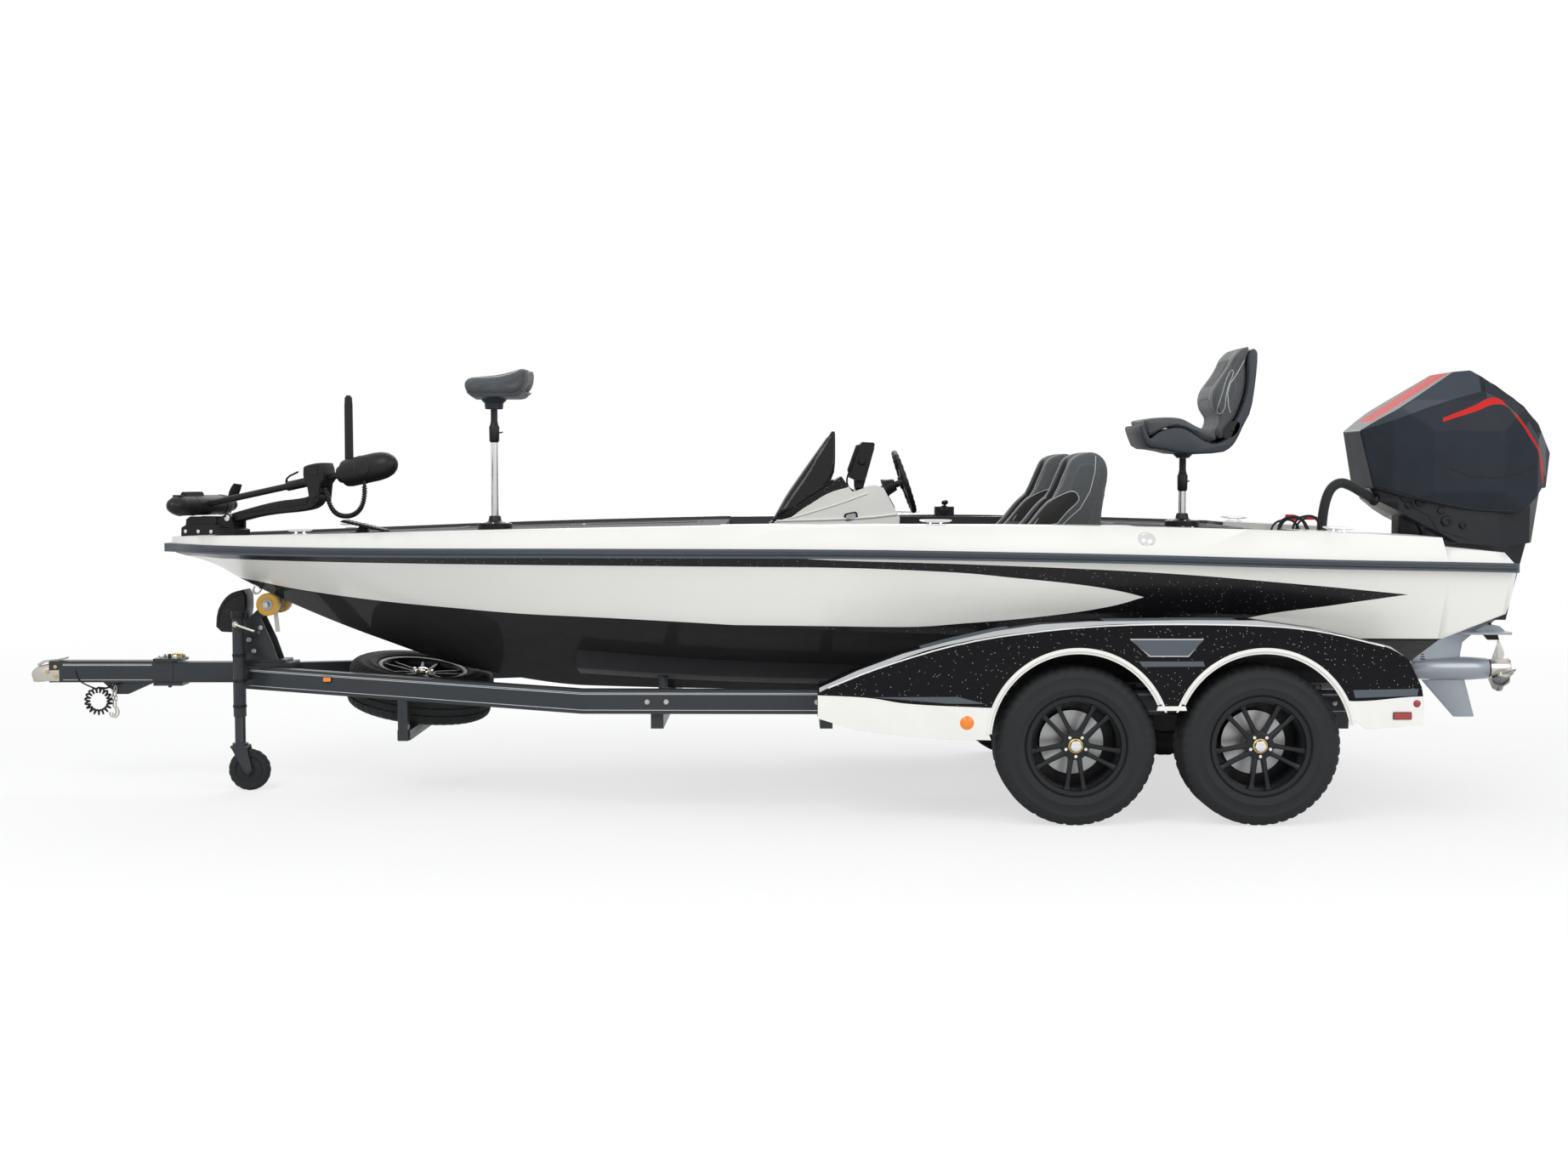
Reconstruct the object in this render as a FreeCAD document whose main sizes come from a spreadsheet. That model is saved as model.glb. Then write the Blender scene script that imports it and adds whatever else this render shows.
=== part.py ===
"""A 21-foot bass boat on its tandem-axle trailer, as separate named pieces in millimetres.

The frame: +X runs aft, +Y to starboard and +Z up. The origin is on the ground, on the centreline,
half way between the front of the coupler and the back of the outboard's cowl.
"""
import FreeCAD, Part
import math
import os
import re
import Sketcher

V = FreeCAD.Vector
doc = FreeCAD.newDocument("BassBoat")
sheet = doc.addObject("Spreadsheet::Sheet", "Sizes")

# Driving dimensions: a name, its value in millimetres or degrees, and what it is.
SIZES = [
    ("keel_z", 503, "height of the keel pad above the ground"),
    ("nose_x", -3133, "bow end of the hull"),
    ("sole_z", 870, "cockpit floor"),
    ("well_front_x", -300, "forward wall of the cockpit"),
    ("well_back_x", 1640, "after wall of the cockpit"),
    ("well_half", 780, "half width of the cockpit"),
    ("splash_front_x", 2400, "forward wall of the splash well"),
    ("splash_half", 610, "half width of the splash well"),
    ("splash_z", 950, "floor of the splash well"),
    ("transom_x", 3030, "back of the transom"),
    ("transom_thick", 70, "transom board"),
    ("transom_top_z", 1080, "top of the transom board"),
    ("hull_end_x", 3345, "after end of the hull's side extensions"),
    ("deck_drop", 35, "depth of the casting decks below the gunwale"),
    ("gunwale_w", 95, "width of the gunwale beside a casting deck"),
    ("carpet", 18, "thickness of a carpeted deck panel"),
    ("rail_out", 25, "how far the rub rail stands out"),
    ("rail_half", 21, "half the height of the rub rail"),
    ("lid_ledge", 14, "width of the ledge a locker lid rests on"),
    ("lid_gap", 6, "gap round a locker lid"),
    ("rod_lid_x0", -1750, "forward end of the rod locker lids"),
    ("rod_lid_x1", -450, "after end of the rod locker lids"),
    ("aft_lid_x0", 1720, "forward end of the aft locker lids"),
    ("aft_lid_x1", 2340, "after end of the aft locker lids"),
    ("rod_lid_in", 330, "inner edge of the rod locker lids"),
    ("aft_lid_in", 170, "inner edge of the aft locker lids"),
    ("lid_out", 700, "outer edge of the lids"),
    ("rod_locker_z", 1100, "floor of the rod lockers"),
    ("aft_locker_z", 1010, "floor of the aft lockers"),
    ("console_gap", 20, "gap between the console and the side of the cockpit"),
    ("console_w", 470, "width of the console"),
    ("screen_thick", 6, "windscreen sheet"),
    ("helm_x", 650, "steering wheel centre"),
    ("helm_in", 260, "steering wheel centre from the side of the cockpit"),
    ("helm_z", 1567, "steering wheel centre"),
    ("helm_r", 165, "steering wheel rim, to the middle of its tube"),
    ("helm_tube", 14, "steering wheel rim tube radius"),
    ("helm_tilt", 19, "steering column above level, in degrees"),
    ("seat_y", 430, "bucket seat centre from the centreline"),
    ("seat_w", 440, "bucket seat width"),
    ("bolster_w", 85, "width of a bucket seat's side bolster"),
    ("bench_top_z", 1115, "top of the bucket seat boxes"),
    ("bow_post_x", -1490, "bow seat pedestal"),
    ("aft_post_x", 2052, "aft seat pedestal"),
    ("post_r", 34, "pedestal tube radius"),
    ("post_base_r", 95, "pedestal foot plate radius"),
    ("bow_post_top_z", 1940, "top of the bow pedestal"),
    ("aft_post_top_z", 1690, "top of the aft pedestal"),
    ("spigot_r", 16, "swivel pin on top of a pedestal"),
    ("spigot_len", 36, "length of the swivel pin"),
    ("pin_gap", 0.1, "radial clearance of a hinge pin"),
    ("bow_seat_half", 190, "half width of the bow seat"),
    ("aft_seat_half", 225, "half width of the aft seat"),
    ("tilt_x", 3140, "tilt tube"),
    ("tilt_z", 1240, "tilt tube"),
    ("tilt_pin_r", 22, "tilt tube radius"),
    ("steer_x", 3190, "king pin"),
    ("king_r", 20, "king pin radius"),
    ("cowl_half", 290, "half width of the cowl"),
    ("prop_z", 579, "propeller shaft"),
    ("torpedo_r", 56, "gearcase torpedo radius"),
    ("prop_hub_x", 3645, "forward end of the propeller hub"),
    ("prop_hub_r", 50, "propeller hub radius"),
    ("prop_hub_len", 92, "propeller hub length"),
    ("prop_r", 178, "propeller tip radius"),
    ("prop_shaft_r", 14, "propeller shaft radius"),
    ("tyre_r", 368, "tyre radius"),
    ("tyre_w", 235, "tyre width"),
    ("rim_r", 228, "rim flange radius"),
    ("bead_r", 216, "radius where the tyre sits on the rim"),
    ("rim_w", 196, "rim width"),
    ("wheel_y", 1108, "wheel centre plane"),
    ("axle_front_x", 1334, "front axle"),
    ("axle_rear_x", 2178, "rear axle"),
    ("spindle_r", 24, "wheel spindle radius"),
    ("rail_y", 915, "outer face of the trailer's side rails"),
    ("rail_w", 60, "width of a trailer rail"),
    ("rail_top_z", 590, "top of the trailer rails"),
    ("rail_h", 115, "height of a trailer rail"),
    ("rail_bend_x", -950, "where the rails start to converge"),
    ("rail_front_x", -2760, "where the rails meet"),
    ("rail_back_x", 2800, "back end of the rails"),
    ("cross_h", 70, "height of a cross member"),
    ("fender_y", 1270, "outer face of the fenders"),
    ("fender_in", 1112, "inner edge of the fender tops"),
    ("fender_skin", 8, "thickness of a fender skin"),
    ("arch_gap", 44, "clearance of a wheel arch round its tyre"),
    ("arch_rise", 36, "height of a wheel arch centre above its axle"),
    ("bunk_y", 420, "bunk centre from the centreline"),
    ("bunk_w", 150, "bunk board width"),
    ("bunk_h", 60, "bunk board depth at its thin side"),
    ("seat_gap", 0.3, "clearance between faces that rest on each other"),
    ("tongue_top_z", 645, "top of the tongue"),
    ("tongue_h", 110, "height of the tongue"),
    ("tongue_half", 42, "half width of the tongue"),
    ("hitch_x", -3190, "swing-away joint of the tongue"),
    ("coupler_x", -3900, "front of the coupler"),
    ("ball_r", 29.4, "hollow for the hitch ball"),
    ("jack_x", -2768, "jack tube"),
    ("jack_y", -190, "jack tube"),
    ("jack_tube_r", 32, "jack outer tube radius"),
    ("jack_wall", 5, "jack outer tube wall"),
    ("jack_top_z", 912, "top of the jack tube"),
    ("jack_bottom_z", 378, "bottom of the jack tube"),
    ("jack_leg_z", 232, "bottom of the jack leg"),
    ("caster_r", 106, "jack wheel radius"),
    ("caster_w", 56, "jack wheel width"),
    ("caster_back", 46, "trail of the jack wheel"),
    ("roller_x", -2634, "bow rollers"),
    ("roller_z", 944, "bow rollers"),
    ("roller_r", 58, "bow roller radius"),
    ("roller_in", 92, "inner face of a bow roller"),
    ("roller_w", 52, "bow roller width"),
    ("spare_gap", 28.5, "gap between the spare tyre and the rails on both sides"),
    ("spare_z", 508, "spare wheel centre"),
    ("spare_tilt", 8, "how far the spare leans aft, in degrees"),
    ("spare_lean", 6, "how far the spare leans to port, in degrees"),
    ("tm_yaw", 22, "trolling motor's angle to the centreline, in degrees"),
    ("tm_x", -2990, "trolling motor pod centre"),
    ("tm_y", -20, "trolling motor pod centre"),
    ("tm_z", 1449, "trolling motor pod centre"),
    ("tm_deck_z", 1305, "deck under the trolling motor mount"),
    ("tm_rise", 10.5, "slope of the stowed shaft, in degrees"),
    ("tm_pod_r", 52, "trolling motor pod radius"),
    ("tm_pod_len", 400, "trolling motor pod length"),
    ("tm_shaft_r", 17, "trolling motor shaft radius"),
    ("tm_arm_s", 200, "arm pivot aft of the pod centre"),
    ("tm_arm_z", 1385, "arm pivot height"),
    ("tm_yoke_s", 723, "yoke pivot aft of the pod centre"),
    ("tm_yoke_z", 1500, "yoke pivot height"),
    ("tm_head_s", 1175, "after end of the trolling motor head"),
    ("hose_r", 25, "rigging hose radius"),
    ("console_front_x", -79, "lower front corner of the console's top"),
    ("console_front_z", 1347, "lower front corner of the console's top"),
    ("console_peak_x", 305, "peak of the console"),
    ("console_peak_z", 1596, "peak of the console"),
    ("dash_low_x", 363, "lower end of the dash under the display"),
    ("dash_low_z", 1513, "lower end of the dash under the display"),
    ("dash_high_x", 481, "upper end of the dash under the display"),
    ("dash_high_z", 1550, "upper end of the dash under the display"),
    ("column_r", 18, "steering column radius"),
    ("column_len", 190, "steering column length"),
    ("bore_depth", 75, "how far the column goes into the console"),
    ("shell_t", 26, "aft seat shell thickness"),
    ("cowl_front_x", 2916, "front of the cowl"),
    ("cowl_back_x", 3900, "back of the cowl"),
    ("leg_half", 88, "half width of the outboard's midsection"),
    ("swivel_half", 92, "half width of the swivel bracket"),
    ("disc_r", 150, "brake disc radius"),
    ("hub_r", 62, "wheel hub radius"),
]
for row, (alias, value, meaning) in enumerate(SIZES, start=1):
    sheet.set(f"A{row}", alias)
    sheet.set(f"B{row}", str(value))
    sheet.set(f"C{row}", meaning)
    sheet.setAlias(f"B{row}", alias)
doc.recompute()
NAMES = {alias for alias, _, _ in SIZES}


def cell(alias):
    """The value of a driving dimension, for shapes that are worked out in code."""
    return float(sheet.get(alias))


def formula(text):
    """An expression whose dimension names point at the spreadsheet."""
    return re.sub(r"[a-z_][a-z_0-9]*", lambda m: "Sizes." + m[0] if m[0] in NAMES else m[0], str(text))


def bind(item, **values):
    """Binds properties to formulas; x, y and z stand for the placement's base."""
    for name, text in values.items():
        path = f"Placement.Base.{name}" if name in "xyz" else name
        item.setExpression(path, formula(text))
    return item


def block(name, x, y, z):
    """A box between two limits along each axis."""
    item = doc.addObject("Part::Box", name)
    for prop, low, high in (("Length", *x), ("Width", *y), ("Height", *z)):
        item.setExpression(prop, formula(f"({high}) - ({low})"))
    return bind(item, x=x[0], y=y[0], z=z[0])


TURN_TO = {
    "x": FreeCAD.Rotation(V(0, 1, 0), 90),
    "y": FreeCAD.Rotation(V(1, 0, 0), -90),
    "z": FreeCAD.Rotation(),
}


def rod(name, radius, at, axis, length):
    """A round bar that starts at a point and runs along +X, +Y or +Z."""
    item = doc.addObject("Part::Cylinder", name)
    item.Placement = FreeCAD.Placement(V(), TURN_TO[axis])
    bind(item, Radius=radius, Height=length)
    return bind(item, x=at[0], y=at[1], z=at[2])


def fuse(name, *parts):
    """Several shapes joined into one."""
    item = doc.addObject("Part::MultiFuse", name)
    item.Shapes = list(parts)
    return item


def cut(name, base, *tools):
    """A shape with others cut away from it."""
    item = doc.addObject("Part::Cut", name)
    item.Base = base
    item.Tool = tools[0] if len(tools) == 1 else fuse(name + "_tools", *tools)
    return item


def common(name, first, second):
    """What two shapes share."""
    item = doc.addObject("Part::Common", name)
    item.Base, item.Tool = first, second
    return item


def sketch_on(body, plane, outline, offset="0"):
    """A closed outline of straight lines, each corner bound to its two formulas."""
    sketch = body.newObject("Sketcher::SketchObject", body.Name + "_sketch")
    sketch.AttachmentSupport = [(next(f for f in body.Origin.OriginFeatures if f.Role == plane + "_Plane"), "")]
    sketch.MapMode = "FlatFace"
    sketch.setExpression("AttachmentOffset.Base.z", formula(offset))
    corners = [V(*(worked_out(c) for c in corner)) for corner in outline]
    for i, corner in enumerate(corners):
        sketch.addGeometry(Part.LineSegment(corner, corners[(i + 1) % len(corners)]))
    for i in range(len(corners)):
        sketch.addConstraint(Sketcher.Constraint("Coincident", i, 2, (i + 1) % len(corners), 1))
    for i, (across, up) in enumerate(outline):
        for kind, text in (("DistanceX", across), ("DistanceY", up)):
            number = sketch.addConstraint(Sketcher.Constraint(kind, -1, 1, i, 1, worked_out(text)))
            sketch.setExpression(f"Constraints[{number}]", formula(text))
    return sketch


def worked_out(text):
    """The number that a formula gives now."""
    sheet.set("E1", f"={text}")
    sheet.recompute()
    return float(sheet.get("E1"))


def slab(name, plane, outline, low, high):
    """A plate with that outline, between two heights along the plane's own axis."""
    body = doc.addObject("PartDesign::Body", name)
    start = f"-({high})" if plane == "XZ" else low
    sketch = sketch_on(body, plane, outline, start)
    pad = body.newObject("PartDesign::Pad", name + "_pad")
    pad.Profile = sketch
    pad.setExpression("Length", formula(f"({high}) - ({low})"))
    sketch.Visibility = False
    return body


def turned(name, outline, plane="XY", axis="V_Axis"):
    """An outline turned about an axis of its sketch."""
    body = doc.addObject("PartDesign::Body", name)
    sketch = sketch_on(body, plane, outline)
    turn = body.newObject("PartDesign::Revolution", name + "_turn")
    turn.Profile = sketch
    turn.ReferenceAxis = (sketch, [axis])
    turn.Angle = 360
    return body


def solid(name, shape):
    """A shape that was worked out in code."""
    item = doc.addObject("Part::Feature", name)
    item.Shape = shape
    return item


NODES = []


def keep(item, label):
    """Marks an object as a finished piece of the boat or its trailer."""
    item.Label = label
    NODES.append(item)
    return item


def piece(label):
    """The finished piece with that name."""
    return next(node for node in NODES if node.Label == label)


# The hull's sections. Columns: distance aft of the nose; heights above the keel pad and half widths of
# the keel, the chine, the joint under the rub rail, and the gunwale's top.
COLUMNS = ("x", "pad_y", "keel_z", "chine_y", "chine_z", "joint_y", "joint_z", "top_y", "top_z")
STATIONS = [
    (0, 8, 702, 25, 708, 100, 733, 70, 785),
    (173, 12, 655, 40, 667, 330, 735, 270, 795),
    (373, 15, 549, 60, 565, 500, 735, 420, 801),
    (633, 30, 427, 250, 533, 655, 735, 560, 808),
    (1033, 45, 269, 470, 497, 830, 736, 725, 820),
    (1533, 60, 109, 680, 463, 975, 739, 865, 837),
    (2133, 60, 20, 850, 434, 1090, 743, 975, 853),
    (3133, 60, 2, 985, 389, 1175, 744, 1060, 871),
    (4533, 60, 0, 1035, 349, 1208, 725, 1093, 867),
    (5633, 60, 0, 1040, 339, 1205, 697, 1090, 839),
    (6163, 60, 0, 1035, 335, 1195, 687, 1080, 815),
]


def slope_at(index, column):
    """The slope of a column at a row of the table, flat where the column turns round."""
    steps = [(b[column] - a[column]) / (b[0] - a[0]) for a, b in zip(STATIONS, STATIONS[1:])]
    left, right = steps[max(index - 1, 0)], steps[min(index, len(steps) - 1)]
    return 0.0 if left * right <= 0 else 2 * left * right / (left + right)


def station(x):
    """The hull's section at a place along the boat, as a dict in the row frame. Between the rows of the
    table each column follows a smooth curve that doesn't overshoot."""
    aft = min(max(x - cell("nose_x"), STATIONS[0][0]), STATIONS[-1][0])
    index = max(i for i in range(len(STATIONS) - 1) if STATIONS[i][0] <= aft)
    before, after = STATIONS[index], STATIONS[index + 1]
    run = after[0] - before[0]
    share = (aft - before[0]) / run
    found = {}
    for column, name in enumerate(COLUMNS):
        bend_in = slope_at(index, column) * share * (1 - share) ** 2
        bend_out = slope_at(index + 1, column) * share ** 2 * (share - 1)
        found[name] = (before[column] * (1 + 2 * share) * (1 - share) ** 2
                       + after[column] * share ** 2 * (3 - 2 * share) + run * (bend_in + bend_out))
    found["x"] = x
    for column in ("keel_z", "chine_z", "joint_z", "top_z"):
        found[column] += cell("keel_z")
    return found


BETWEEN = 3  # runs that the hull's skin makes between two rows of the table


def stations(low, high):
    """The sections between two places, with one at each end."""
    inner = [cell("nose_x") + before[0] + (after[0] - before[0]) * part / BETWEEN
             for before, after in zip(STATIONS, STATIONS[1:]) for part in range(BETWEEN)]
    return [station(x) for x in [low] + [x for x in inner if low + 5 < x < high - 5] + [high]]


def mirrored_loft(rows, half_outline):
    """A closed skin through sections that are alike to port and starboard. half_outline gives each
    section's starboard points, from the bottom up."""
    wires = []
    for row in rows:
        half = half_outline(row)
        points = [V(row["x"], y, z) for y, z in half] + [V(row["x"], -y, z) for y, z in reversed(half)]
        wires.append(Part.makePolygon(points + points[:1]))
    return Part.makeLoft(wires, True, True)


def box_shape(x, y, z):
    """A plain box between limits."""
    return Part.makeBox(x[1] - x[0], y[1] - y[0], z[1] - z[0], V(x[0], y[0], z[0]))


def both_sides(shape):
    """A starboard shape and its mirror image to port."""
    return [shape, shape.mirror(V(), V(0, 1, 0))]


def prism(points, y):
    """An outline in the XZ plane carried from one side to another."""
    face = Part.Face(Part.makePolygon([V(a, y[0], b) for a, b in points + points[:1]]))
    return face.extrude(V(0, y[1] - y[0], 0))


HIGH = 2000
nose, transom = cell("nose_x"), cell("transom_x")
well = box_shape((cell("well_front_x"), cell("well_back_x")), (-cell("well_half"), cell("well_half")),
                 (cell("sole_z"), HIGH))
splash = box_shape((cell("splash_front_x"), transom - cell("transom_thick")),
                   (-cell("splash_half"), cell("splash_half")), (cell("splash_z"), HIGH))
over_transom = box_shape((transom - 100, transom + 1), (-cell("splash_half"), cell("splash_half")),
                         (cell("transom_top_z"), HIGH))
LOCKERS = {
    "rod": (cell("rod_lid_x0"), cell("rod_lid_x1"), cell("rod_lid_in"), cell("rod_locker_z")),
    "aft": (cell("aft_lid_x0"), cell("aft_lid_x1"), cell("aft_lid_in"), cell("aft_locker_z")),
}
gap = cell("lid_gap")
ledge = cell("lid_ledge")
lockers, lid_holes = [], []
for x0, x1, inner, floor in LOCKERS.values():
    lockers += both_sides(box_shape((x0 + ledge, x1 - ledge), (inner + ledge, cell("lid_out") - ledge),
                                    (floor, HIGH)))
    lid_holes += both_sides(box_shape((x0 - gap, x1 + gap), (inner - gap, cell("lid_out") + gap), (floor, HIGH)))
openings = [well, splash, over_transom] + lockers

# Hull: bottom and sides up to the joint, with the two side extensions abaft the transom.
hull = mirrored_loft(stations(nose, transom), lambda r: [
    (r["pad_y"], r["keel_z"]), (r["chine_y"], r["chine_z"]), (r["joint_y"], r["joint_z"])])
last = station(transom)
end_x, side = cell("hull_end_x"), cell("splash_half") + 30
joint_end_z = last["joint_z"] - 8


def quad(x, low_y, low_z, high_z, bottom_y, top_y):
    """A four-cornered section of a hull extension."""
    points = [V(x, low_y, low_z), V(x, bottom_y, low_z), V(x, top_y, high_z), V(x, low_y, high_z)]
    return Part.makePolygon(points + points[:1])


extension = Part.makeLoft([
    quad(transom, side, last["chine_z"], last["joint_z"], last["chine_y"], last["joint_y"]),
    quad(end_x - 15, side, last["chine_z"] + 127, joint_end_z, last["chine_y"] + 40, last["joint_y"] - 22),
    quad(end_x, side, last["chine_z"] + 172, joint_end_z, last["chine_y"] + 48, last["joint_y"] - 24),
], True, True)
hull = hull.fuse(both_sides(extension)).cut(openings).removeSplitter()
keep(solid("Hull", hull), "hull")

# Deck moulding: gunwales and the ledge that carries the casting decks.
gunwale = cell("gunwale_w")
deck_x = [(nose + 250, cell("well_front_x")), (cell("well_back_x"), cell("splash_front_x"))]


def deck_outline(low, high):
    """A section of a casting deck between two depths below the gunwale."""
    return lambda r: [(r["top_y"] - gunwale, r["top_z"] - low), (r["top_y"] - gunwale, r["top_z"] - high)]


lift = cell("seat_gap")
moulding = mirrored_loft(stations(nose, transom), lambda r: [
    (r["joint_y"], r["joint_z"] + lift), (r["top_y"], r["top_z"])])
cap_low_z, cap_end_z = last["joint_z"] + lift, joint_end_z + lift
cap = Part.makeLoft([
    quad(transom, side, cap_low_z, cap_low_z + 86, last["joint_y"], last["top_y"] + 22),
    quad(end_x - 32, side, cap_end_z, cap_end_z + 67, last["joint_y"] - 20, last["top_y"] + 12),
    quad(end_x, side, cap_end_z, cap_end_z + 6, last["joint_y"] - 24, last["joint_y"] - 28),
], True, True)
moulding = moulding.fuse(both_sides(cap))
moulding = moulding.cut([mirrored_loft(stations(*x), deck_outline(cell("deck_drop"), -60)) for x in deck_x])
moulding = moulding.cut(openings + [hull]).removeSplitter()
moulding = max(moulding.Solids, key=lambda part: part.Volume)
keep(solid("Deck_Moulding", moulding), "deck_moulding")

# Casting decks: carpeted panels in the moulding's recesses, round the lids and pedestals.
depth = (cell("deck_drop"), cell("deck_drop") - cell("carpet"))
panels = [mirrored_loft(stations(x[0] + 1, x[1]), deck_outline(*depth)) for x in deck_x]
panels = [panel.cut(lid_holes + [moulding]).removeSplitter() for panel in panels]
decks = Part.makeCompound([max(panel.Solids, key=lambda part: part.Volume) for panel in panels])
keep(solid("Casting_Decks", decks), "casting_decks")


def lid(kind, side_name):
    """A locker lid whose top is flush with the casting deck."""
    x0, x1, inner, _ = LOCKERS[kind]
    sheet_of = mirrored_loft(stations(x0, x1), deck_outline(depth[0] - cell("seat_gap"), depth[1]))
    half = box_shape((x0, x1), (inner, cell("lid_out")), (0, HIGH))
    chosen = both_sides(half)[0 if side_name == "starboard" else 1]
    return solid(f"{side_name}_{kind}_lid", sheet_of.common(chosen).removeSplitter())


for kind in LOCKERS:
    for side_name in ("port", "starboard"):
        keep(lid(kind, side_name), f"{side_name}_{kind}_locker_lid")

# Rub rail round the joint of hull and deck moulding.
out, half_rail = cell("rail_out"), cell("rail_half")
rail_rows = stations(nose, transom)
rail_rows[0] = dict(rail_rows[0], x=nose - out)
rail_rows.append(dict(last, x=end_x, joint_y=last["joint_y"] - 24, joint_z=joint_end_z))
rail = mirrored_loft(rail_rows, lambda r: [
    (r["joint_y"] + out, r["joint_z"] - half_rail), (r["joint_y"] + out, r["joint_z"] + half_rail)])
inside = mirrored_loft(rail_rows[1:-1] + [dict(rail_rows[-1], x=end_x + 5)], lambda r: [
    (r["joint_y"] - 30, r["joint_z"] - 90), (r["joint_y"] - 30, r["joint_z"] + 90)])
rail = rail.cut([inside, hull, moulding]).removeSplitter()
rail = max(rail.Solids, key=lambda s: s.Volume)
keep(solid("Rub_Rail", rail), "rub_rail")


def along(x, start, end):
    """The height of the line between two named corners, at a place along the boat."""
    return f"{start}_z + (({x}) - {start}_x) * ({end}_z - {start}_z) / ({end}_x - {start}_x)"


# Console with the helm, beside the cockpit's starboard wall.
CONSOLE_OUT = "well_half - console_gap"
CONSOLE_IN = f"{CONSOLE_OUT} - console_w"
HELM_Y = "well_half - helm_in"
helm = [("helm_x", HELM_Y, "helm_z"), FreeCAD.Rotation(V(0, 1, 0), 90 - cell("helm_tilt"))]


def place(item, at, rotation):
    """Gives a piece its bound place and its turn."""
    item.Placement = FreeCAD.Placement(V(), rotation)
    return bind(item, x=at[0], y=at[1], z=at[2])


console_body = slab("Console_body", "XZ", [
    ("-90", "sole_z"), ("560", "sole_z"), ("615", "1375"), ("527", "1536"), ("dash_high_x", "dash_high_z"),
    ("dash_low_x", "dash_low_z"), ("console_peak_x", "console_peak_z"),
    ("console_front_x", "console_front_z")], CONSOLE_IN, CONSOLE_OUT)
bore = rod("Column_bore", "column_r + pin_gap", ("0", "0", "-column_len"), "z", "column_len")
bore_part = fuse("Column_bore_part", bore, rod("Column_bore_2", "1", ("0", "0", "-column_len"), "z", "10"))
keep(cut("Console", console_body, place(bore_part, *helm)), "console")

wheel_parts = [doc.addObject("Part::Torus", "Helm_rim")]
bind(wheel_parts[0], Radius1="helm_r", Radius2="helm_tube")
wheel_parts.append(rod("Helm_hub", "34", ("0", "0", "-28"), "z", "44"))
wheel_parts.append(rod("Helm_column", "column_r", ("0", "0", "-column_len + 6"), "z", "column_len - 6"))
for turn in (0, 120, 240):
    spoke = block(f"Helm_spoke_{turn}", ("0", "helm_r"), ("-14", "14"), ("-6", "6"))
    arm = fuse(f"Helm_spoke_arm_{turn}", spoke, block(f"Helm_spoke_root_{turn}", ("0", "60"), ("-20", "20"),
                                                      ("-7", "7")))
    arm.Placement = FreeCAD.Placement(V(), FreeCAD.Rotation(V(0, 0, 1), turn + 90))
    wheel_parts.append(arm)
keep(place(fuse("Helm", *wheel_parts), *helm), "steering_wheel")


def screen_outline(inset):
    """The windscreen seen from the side, its foot on the console's top."""
    foot = along("{0}", "console_front", "console_peak")
    return [(f"-62 + {inset}", foot.format(f"-62 + {inset}") + " + seat_gap"),
            (f"0 + {inset}", "1481"), (f"252 + {inset}", "1836"), ("272", "1836"),
            ("272", foot.format("272") + " + seat_gap")]


glass_out = slab("Screen_outer", "XZ", screen_outline("0"), f"{CONSOLE_IN} + 4",
                 f"{CONSOLE_OUT} - 4")
glass_in = slab("Screen_inner", "XZ", screen_outline("screen_thick"), f"{CONSOLE_IN} + 4 + screen_thick",
                f"{CONSOLE_OUT} - 4 - screen_thick")
glass_in_low = block("Screen_open_back", ("250", "280"), (f"{CONSOLE_IN} + 4 + screen_thick",
                                                          f"{CONSOLE_OUT} - 4 - screen_thick"), ("1400", "1900"))
keep(cut("Windscreen", glass_out, glass_in, glass_in_low), "windscreen")

dash = along("{0}", "dash_low", "dash_high")
display = slab("Display_body", "XZ", [
    ("385", dash.format("385") + " + seat_gap"), ("425", dash.format("425") + " + seat_gap"),
    ("432", "1572"), ("485", "1765"), ("410", "1781"), ("345", "1590"), ("385", "1575")],
    f"{HELM_Y} - 150", f"{HELM_Y} + 150")
keep(display, "sonar_display")

throttle_x = 892
gunwale_top = f"{station(throttle_x)['top_z'] + 1.0:.2f}"
throttle = fuse("Throttle",
                block("Throttle_foot", ("840", "950"), ("well_half + 35", "well_half + 110"), (gunwale_top, "1428")),
                slab("Throttle_lever", "XZ", [("880", "1400"), ("905", "1400"), ("912", "1465"), ("885", "1465")],
                     "well_half + 20", "well_half + 34"),
                rod("Throttle_pin", "14", ("892", "well_half + 20", "1410"), "y", "40"))
keep(cut("Throttle_box", throttle, piece("deck_moulding")), "throttle_box")

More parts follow.
